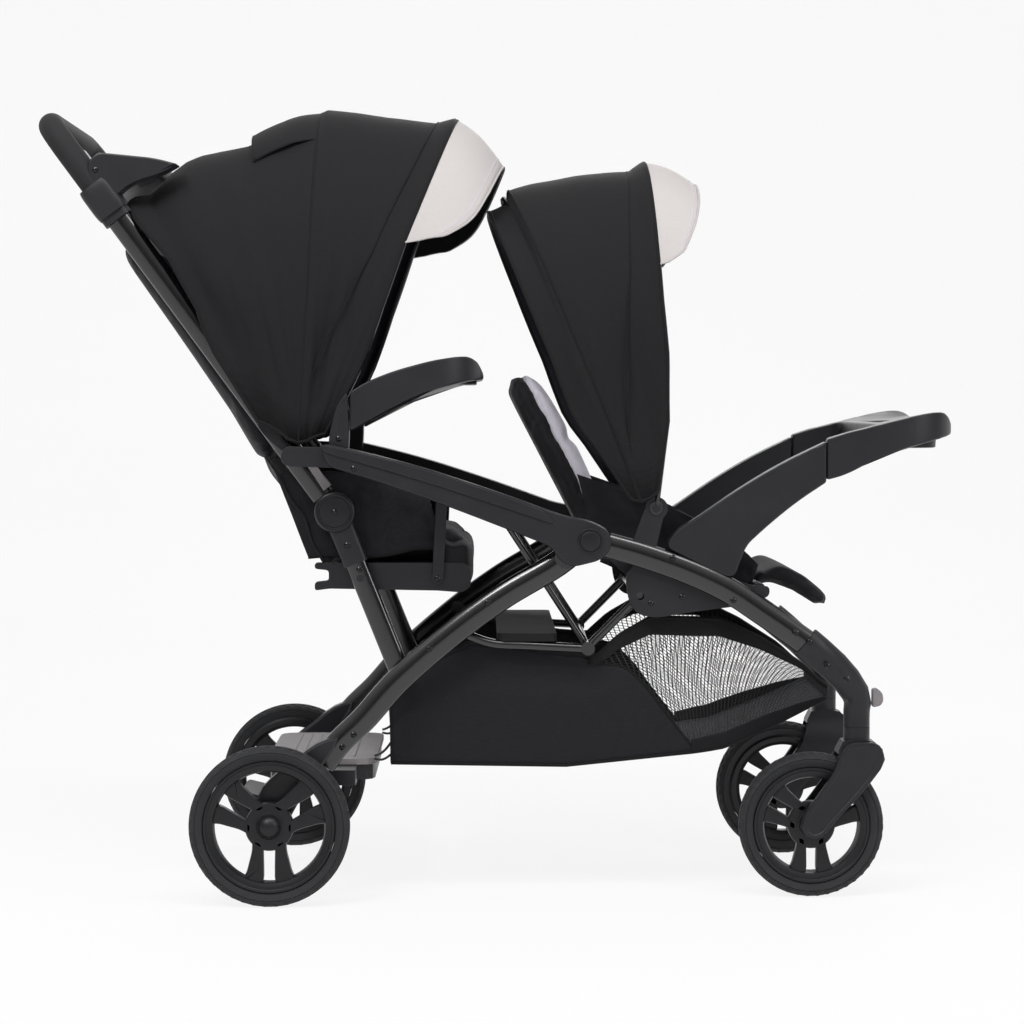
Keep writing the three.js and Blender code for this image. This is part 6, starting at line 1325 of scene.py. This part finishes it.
class STROLLER_OT_basket(bpy.types.Operator):
    """Sewn basket with a net window and a bound rim, and the bars that carry it"""

    bl_idname = "stroller.basket"
    bl_label = "Basket"

    def execute(self, context):
        sewn("basket_side_panel", bag_panel, 64, 26, ("bag_cloth", "lining"), True)
        sewn("basket_net_window", bag_window, 44, 26, "net", True)
        sewn("basket_rim_band", rim_band, 40, 6, ("cloth", "lining"), True)
        sewn("basket_foot_band", foot_band, 40, 6, ("cloth", "lining"), True)
        sewn("basket_bottom", bag_bottom, 60, 40, ("cloth", "lining"), replaces=["basket_bag"])
        sewn("basket_rear_wall", bag_rear, 20, 40, ("bag_cloth", "lining"))
        sewn("basket_nose_wall", bag_nose, 4, 40, ("cloth", "lining"))
        rim, foot = ([bag_side(BAG_BACK + BAG_LONG * k / 70, share) for k in range(71)]
                     for share in (1.0, 0.0))
        seam = [bag_side(seam_x(k / 40) + 0.001, k / 40) for k in range(41)]
        for side, sign in SIDES:
            for word, points, radius in (("rim", rim, 3.2), ("curved_seam", seam, 1.6),
                                         ("foot_seam", foot, 2.2)):
                placed = [Vector((p.x, p.y * -sign, p.z)) for p in points]
                over_frame(edge_cord(f"basket_{word}_{side}", placed, radius))

        rear_stops = [BASKET_REAR, *lay_shares(BASKET_REAR, BASKET_CORNER, 12, REAR_BAR_SHARES),
                      BASKET_CORNER]
        front_stops, stay_stops = ([end, between(end, BASKET_CORNER, 0.5), BASKET_CORNER]
                                   for end in (BASKET_FRONT, STAY_TOP))
        for name, stops, cross, y, radius, body, node in (
                ("basket_rear_bar", rear_stops, rear_stops[3], 200.5, 6, "basket_rear_tubes",
                 "basket_rear_tube"),
                ("basket_front_bar", front_stops, BASKET_FRONT, 187.5, 6, "basket_front_tube",
                 "basket_front_tube"),
                ("stay_bar", stay_stops, BASKET_CORNER, 175, 5, "stay_rod", "stay_rod")):
            bm = bmesh.new()
            for sign in (-1, 1):
                add_tube(bm, side_path(stops, sign * y, 30), radius * 2 * MM, sides=16)
                for end in (stops[0], stops[-1]):
                    add_lathe(bm, end, [(0, sign * y - radius), (9, sign * y - radius),
                                        (9, sign * y + radius), (0, sign * y + radius)], 20)
            line = [mm(cross[0], -y + 2 * y * k / 12, cross[1]) for k in range(13)]
            add_tube(bm, line, radius * 2 * MM, sides=16, up_hint=Vector((1, 0, 0)))
            new_piece(name, bm, "paint", body, "black_paint", [node])
        for side, sign in SIDES:
            for number, (z_from, z_to) in enumerate(TIES):
                line = [Vector((BAG_BACK - 0.022 * t, sign * 0.148,
                                z_from + (z_to - z_from) * t - 0.004 * math.sin(math.pi * t)))
                        for t in (k / 12 for k in range(13))]
                edge_cord(f"basket_tie_{number}_{side}", line, 1.6, "strap", "rear_frame", "black_fabric", 8)
        return {"FINISHED"}


# Moulded shells: outlines in shares of the rail, or in millimetres seen from the side
RAIL_DEEP = 40
RAIL = ((0.925, -0.7), (0.76, -0.8), (0.579, -0.83), (0.338, -0.73), (0.1, -0.56), (0.02, -0.65),
        (-0.05, -0.5), (-0.075, 0), (-0.05, 0.5), (0.03, 0.955), (0.075, 0.9), (0.112, 0.521),
        (0.267, 0.359), (0.47, 0.166), (0.712, 0.017), (0.88, -0.016))
RAIL_CAP = ((0.925, -0.64), (0.76, -0.75), (0.579, -0.78), (0.338, -0.68), (0.16, -0.53), (0.12, -0.2),
            (0.338, -0.3), (0.6, -0.4), (0.9, -0.42))
ARM = ((216, 463), (229.4, 483.8), (259, 501.7), (314, 540), (368.9, 572.8), (426, 600, 3), (426, 546.8, 3),
       (387, 520.9), (350.6, 491), (323, 465.8), (314.7, 446), (306, 420), (262, 440))
FRONT_TRAY = ((427, (549.7, 603.3)), (453, (558, 611.5)), (486.7, (575, 619.9)), (526.6, (589.7, 629.5)),
              (553.6, (597, 635.7)), (576, (602.8, 638)), (588, (606, 634)), (600, (609, 620)))
REAR_TRAY = ((-192, (613, 664)), (-171, (625.5, 677)), (-138.7, (642.5, 689.7)), (-104.8, (658.9, 699.5)),
             (-77.5, (668.5, 706)), (-41.8, (677.5, 710)), (-27.6, (679, 703)), (-19, (680.5, 688)))
PARENT_TRAY = ((-528, (925, 978)), (-506, (928, 975)), (-470, (939, 970.5)), (-444, (947, 966)))
FORK = ((452, 206), (441, 170), (419, 137), (399.2, 108.7), (397, 89.5, 8), (410.2, 78, 10), (425.6, 81.8, 8),
        (436.6, 96), (485, 149.7), (507, 185.5), (499.3, 202.2, 4), (490.5, 206, 3))
FORK_SECTION = [(3, -203), (0.4, -204), (0, -208.6), (0.5, -210.4), (1.6, -211), (4.6, -211), (5.6, -210),
                (8, -209.6)]
HUB_BUTTON = ((0, -254), (16.6, -254), (16.6, -256.4), (15.8, -257.2), (14.4, -257.3), (13.8, -256.5),
              (13.2, -256.5), (12.6, -257.4), (11, -258.1), (0, -258.6))
TRAY_POST = ((-195.9, 664), (-192, 613.3, 20), (-194.4, 577), (-219, 583), (-219, 609, 20), (-209, 647, 20))
SLEEVE_WALL = ((-533, 958), (-519.8, 974, 12), (-443.6, 966.5, 40), (-414, 958.5, 4), (-432.4, 947.7, 20),
               (-466.2, 937.2, 30), (-485.8, 926.9, 20), (-501.4, 907.3, 8), (-518.3, 909.9, 8))
# Child trays: plan, heights, node, body, middle of the cups, height of their floors and of the dish
TRAYS = (((427, 599.5, 196.5, 223.5, 103, 96), FRONT_TRAY, "front_tray", "front_frame", 548, 594, 622),
         ((-192, -19.3, 218.5, 241.5, 92, 88), REAR_TRAY, "rear_tray", "rear_tray", -65, 678, 698))
# Pins of the side rail: place, radius and where they begin along Y
RAIL_PINS = ((RAIL_END, 6, -209.8), (STAY_TOP, 5.5, -177), (HANGER_TOP, 5.5, -187), (HUB, 7, -208))
RAIL_INSIDE = -233


def oblong(x0, x1, z0, z1):
    return [(x0, z0), (x1, z0), (x1, z1), (x0, z1)]


def well(x, y, radius, low, high):
    """A round cutter between two heights (mm)."""
    def build(bm):
        made = bmesh.ops.create_cone(bm, segments=48, radius1=radius * MM, radius2=radius * MM,
                                     depth=(high - low) * MM, cap_ends=True)["verts"]
        bmesh.ops.translate(bm, verts=made, vec=mm(x, y, (low + high) / 2))
    return build


def dish(x0, x1, half, low, high):
    """A cutter with rounded corners between two heights (mm)."""
    return lambda bm: add_shell(bm, rounded(oblong(x0, x1, -half, half), 18, 8), [(0, low), (0, high)], mm)


def moulding(bm, outline, radius, steps, section):
    """A shell on an outline with its corners rounded and its long sides divided."""
    add_shell(bm, finely(rounded(outline, radius, steps), 8), section)


class STROLLER_OT_mouldings(bpy.types.Operator):
    """Side rails, arm panels, trays and fork faces"""

    bl_idname = "stroller.mouldings"
    bl_label = "Rails and trays"

    def side_rail(self, bm):
        moulding(bm, lay_shares(HUB, RAIL_END, RAIL_DEEP, RAIL), 70, 8, across(-232, -255.5, 3.4))
        moulding(bm, lay_shares(HUB, RAIL_END, RAIL_DEEP, RAIL_CAP), 40, 6, across(-253, -258.3, 1.8))
        tongue = link_outline(between(HUB, RAIL_END, 0.86, -14), RAIL_END, 26, 12)
        add_shell(bm, tongue, across(-232.5, -243, 1.2))
        for place, radius, start in RAIL_PINS:
            add_lathe(bm, place, [(0, start), (radius, start), (radius, RAIL_INSIDE), (0, RAIL_INSIDE)], 20)

    def tray_post(self, bm):
        add_shell(bm, rounded(TRAY_POST, 6, 6), across(-218.5, -241.5, 2.4))
        add_shell(bm, oblong(-200, -167, 627, 641), across(-224.6, -235.4, 1))

    def arm(self, bm):
        moulding(bm, ARM, 36, 8, across(-196.5, -223.6, 3.4))
        add_shell(bm, oblong(400, 452, 566, 586), across(-204.6, -215.4, 1))

    def sleeve(self, bm):
        top, low = ([between(KNUCKLE, HANDLE_TOP, share) for share in shares]
                    for shares in ((0.768, 0.8, 0.84), (0.752, 0.76, 0.772)))
        add_tube(bm, side_path(top, -STRUT_Y, 16), 0.041, 0.045, 32, 0.6,
                 lambda t: 1.0 - 0.06 * abs(2 * t - 1) ** 4)
        add_tube(bm, side_path(low, -STRUT_Y, 8), 0.031, 0.04, 32, 0.6)
        moulding(bm, SLEEVE_WALL, 10, 8, across(-174, -214, 3))

    def cups(self, bm, x, floor):
        """Two open cups under a tray, drawn from their rims down and up again inside."""
        low = floor - 4
        section = [(37.5, floor + 14), (36.5, low + 1), (34, low), (0.5, low), (0.5, low + 2.4),
                   (34.5, low + 3), (35.2, floor + 14)]
        for y in (-CUP_Y, CUP_Y):
            def point(ring, slot):
                radius, z = section[ring]
                turn = slot * math.pi / 24
                return mm(x + radius * math.cos(turn), y + radius * math.sin(turn), z)
            add_loft(bm, len(section), 48, point, caps=False)

    def execute(self, context):
        new_pair("side_rail_shell", self.side_rail, "plastic", "side_rails", "black_plastic", ["side_rail"],
                 sharp=40)
        new_pair("hub_button", lambda bm: add_lathe(bm, HUB, HUB_BUTTON, 44), "dark_plastic", "side_rails",
                 "black_plastic", sharp=28)
        new_pair("rear_tray_post", self.tray_post, "plastic", "side_rails", "black_plastic", sharp=40)
        new_pair("arm_shell", self.arm, "plastic", "front_frame", "black_plastic", ["arm_panel"], sharp=40)
        for plan, heights, node, body, x, floor, dish_low in TRAYS:
            bm = bmesh.new()
            add_tray(bm, u_outline(*plan), heights)
            tray = new_piece(f"{node}_shell", bm, "plastic", body, "black_plastic", [node], sharp=40)
            carve(tray, *[well(x, y, 35, floor, 800) for y in (-CUP_Y, CUP_Y)],
                  dish(x - 34, x + 30, 58, dish_low, 800))
            bm = bmesh.new()
            self.cups(bm, x, floor)
            new_piece(f"{node}_cups", bm, "dark_plastic", body, "black_plastic", sharp=40)

        bm = bmesh.new()
        add_tray(bm, rounded(oblong(-527.5, -444.5, -175.5, 175.5), 22, 8), PARENT_TRAY)
        tray = new_piece("parent_tray_bowl", bm, "plastic", "handle", "black_plastic", ["parent_tray"],
                         sharp=40)
        carve(tray, *[well(-486, y, 34, 938, 1100) for y in (-CUP_Y, CUP_Y)], dish(-521, -451, 62, 944, 1100))
        new_pair("parent_tray_sleeve", self.sleeve, "plastic", "handle", "black_plastic", sharp=40)
        fork = finely(rounded(FORK, 30, 8), 6)
        new_pair("fork_face", lambda bm: add_shell(bm, fork, FORK_SECTION), "plastic", "caster_{side}",
                 "black_plastic", sharp=40)
        return {"FINISHED"}


# Moulded shells that keep their packed form
KEPT = {
    "plastic": ("wheel_bracket_left", "wheel_bracket_right", "platform_pan", "brake_pedal", "rear_seat_frame",
                "seat_hanger_left", "seat_hanger_right", "caster_housing_left", "caster_housing_right",
                "front_seat_base", "front_canopy_mount", "caster_fork_left", "caster_fork_right",
                "basket_floor"),
    "matt": ("bench_seat",),
    "grey": ("standing_platform", "fold_trigger", "caster_lock_left", "caster_lock_right"),
    "steel": ("rear_axle",),
}
RIVET_RADIUS = 4.2
RIVET_TALL = 2.4


class STROLLER_OT_shells(bpy.types.Operator):
    """Soft edges and moulded finishes on the shells that keep their packed form"""

    bl_idname = "stroller.shells"
    bl_label = "Moulded shells"

    def execute(self, context):
        for key, names in KEPT.items():
            for name in names:
                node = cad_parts[name]
                node.data.materials.clear()
                node.data.materials.append(material(key))
                add_modifier(node, "WELD", merge_threshold=0.00002)
                add_modifier(node, "BEVEL", width=0.0009, segments=3, limit_method="ANGLE",
                             angle_limit=math.radians(30), harden_normals=False, miter_outer="MITER_ARC")
                add_modifier(node, "WEIGHTED_NORMAL", name="Normals", keep_sharp=True, weight=60)
                node.data.shade_smooth()
        return {"FINISHED"}


# Bodies that hold rivets, how far out those sit along Y, and where
RIVETS = (
    ("rear_frame", LEG_Y + 9.4, ((-90, 331), (-14, 391), (84, 457), (-203, 203), (-188, 219))),
    ("front_frame", LEG_Y + 9.4, ((226, 449), (305, 394))),
    ("front_frame", 231.6, ((427, 309), (452, 292))),
    ("lower_struts", STRUT_Y + 10.4, ((-197, 465),)),
    ("lower_struts", STRUT_Y + 8.8, ((-181, 433),)),
    ("handle", STRUT_Y + 14.4, (KNUCKLE,)),
    ("handle", 209.2, ((-302, 626),)),
    ("side_rails", 241.2, ((-206, 604),)),
    ("side_rails", 255.2, ((-186, 566),)),
    ("handle", 213.8, ((-521, 951),)),
    ("seat_hangers", 187, ((-79.5, 420),)),
    ("front_frame", 208, ((199, 389), (240, 397))),
    ("front_frame", 231.6, ((386, 352), (404, 340))),
    ("footrest", 150, ((341, 406),)),
)


class STROLLER_OT_fasteners(bpy.types.Operator):
    """Domed rivets where the frame's parts are joined"""

    bl_idname = "stroller.fasteners"
    bl_label = "Rivets"

    def execute(self, context):
        for number, (body, out, places) in enumerate(RIVETS):
            bm = bmesh.new()
            for x, z in places:
                for sign in (-1, 1):
                    add_dome(bm, mm(x, sign * out, z), RIVET_RADIUS, RIVET_TALL, (0, sign, 0))
            new_piece(f"rivets_{number}", bm, "rivet", body, "black_paint")
        return {"FINISHED"}


# Stage, in metres: the paper's profile along Y, and lamps with place, aim, two sizes and power
PAPER = ((-40.0, 0.0), (2.2, 0.0), (2.7, 0.08), (3.05, 0.38), (3.2, 0.9), (3.25, 4.5))
PAPER_HALF = 20.0
LAMPS = (
    ("key", (-1.5, -2.6, 2.9), (0, 0, 0.5), 1.0, 0.6, 42),
    ("fill", (2.6, -2.2, 1.5), (0, 0, 0.5), 0.5, 1.4, 20),
    ("top", (0.0, -1.5, 2.7), (0, 0, 0.5), 3.2, 0.5, 40),
    ("rim", (0.6, 2.6, 2.0), (0, 0, 0.6), 2.2, 1.0, 22),
)
AMBIENT = 0.34
CAMERA_PLACE = (-0.024, -3.93, 0.6576)
CAMERA_DOWN = math.radians(2.303)
CAMERA_TURN = math.radians(-0.641)
CAMERA_LENS = 100.55
CAMERA_SENSOR = 36.0


class STROLLER_OT_stage(bpy.types.Operator):
    """Pale floor, soft lights and the camera"""

    bl_idname = "stroller.stage"
    bl_label = "Studio"

    def paper(self):
        bm = bmesh.new()
        verts = [bm.verts.new((-PAPER_HALF, y, z)) for y, z in PAPER]
        edges = [bm.edges.new(pair) for pair in zip(verts, verts[1:])]
        made = bmesh.ops.extrude_edge_only(bm, edges=edges)["geom"]
        far = [g for g in made if isinstance(g, bmesh.types.BMVert)]
        bmesh.ops.translate(bm, verts=far, vec=(2 * PAPER_HALF, 0, 0))
        floor = new_piece("studio_sweep", bm, "paper", sharp=180)
        if floor.data.polygons[0].normal.z < 0:
            floor.data.flip_normals()

    def world(self, scene):
        """Plain light all round; rays that see the sky itself find it brighter overhead."""
        scene.world = bpy.data.worlds.new("studio")
        scene.world.use_nodes = True
        tree = scene.world.node_tree
        tree.nodes.clear()
        sky = add_node(tree, "ShaderNodeTexCoord").outputs["Generated"]
        way = add_node(tree, "ShaderNodeSeparateXYZ", {0: sky})
        glow = add_node(tree, "ShaderNodeMapRange", {"Value": way.outputs["Z"], "From Min": 0.05,
                                                     "From Max": 0.75, "To Min": 0.08, "To Max": 1.0})
        dim = add_node(tree, "ShaderNodeBackground", {"Color": (1, 1, 1, 1), "Strength": AMBIENT})
        studio = add_node(tree, "ShaderNodeBackground", {"Color": glow.outputs[0], "Strength": 1.0})
        mix = add_node(tree, "ShaderNodeMixShader", {0: seen_directly(tree), 1: dim.outputs[0],
                                                     2: studio.outputs[0]})
        add_node(tree, "ShaderNodeOutputWorld", {0: mix.outputs[0]})

    def execute(self, context):
        scene = context.scene
        self.paper()
        for name, place, aim, width, height, power in LAMPS:
            light = bpy.data.lights.new(name, "AREA")
            light.shape = "RECTANGLE"
            light.size, light.size_y, light.energy = width, height, power
            lamp = bpy.data.objects.new(name, light)
            lamp.location = place
            lamp.rotation_euler = (Vector(aim) - Vector(place)).to_track_quat("-Z", "Y").to_euler()
            scene.collection.objects.link(lamp)
        self.world(scene)
        lens = bpy.data.cameras.new("camera")
        lens.lens, lens.sensor_width = CAMERA_LENS, CAMERA_SENSOR
        camera = bpy.data.objects.new("camera", lens)
        camera.location = CAMERA_PLACE
        camera.rotation_euler = (math.pi / 2 - CAMERA_DOWN, 0, CAMERA_TURN)
        scene.collection.objects.link(camera)
        scene.camera = camera
        scene.view_settings.view_transform = "Standard"
        return {"FINISHED"}


OPERATORS = (STROLLER_OT_tubes, STROLLER_OT_grip, STROLLER_OT_wheels, STROLLER_OT_canopies,
             STROLLER_OT_visors, STROLLER_OT_seats, STROLLER_OT_basket, STROLLER_OT_mouldings,
             STROLLER_OT_shells, STROLLER_OT_fasteners, STROLLER_OT_stage)


class STROLLER_PT_panel(bpy.types.Panel):
    """Shows the stroller's sizes and a button for each step that builds it"""

    bl_idname = "STROLLER_PT_panel"
    bl_label = "Stroller"
    bl_space_type = "VIEW_3D"
    bl_region_type = "UI"
    bl_category = "Stroller"

    def draw(self, context):
        for name in StrollerSizes.__annotations__:
            self.layout.prop(context.scene.stroller_sizes, name)
        for operator in OPERATORS:
            self.layout.operator(operator.bl_idname)


CLASSES = (StrollerSizes,) + OPERATORS + (STROLLER_PT_panel,)


def register():
    for item in CLASSES:
        bpy.utils.register_class(item)
    bpy.types.Scene.stroller_sizes = PointerProperty(type=StrollerSizes)


def unregister():
    del bpy.types.Scene.stroller_sizes
    for item in reversed(CLASSES):
        bpy.utils.unregister_class(item)


def main():
    register()
    for operator in OPERATORS:
        group, name = operator.bl_idname.split(".")
        getattr(getattr(bpy.ops, group), name)()


if __name__ == "__main__":
    main()
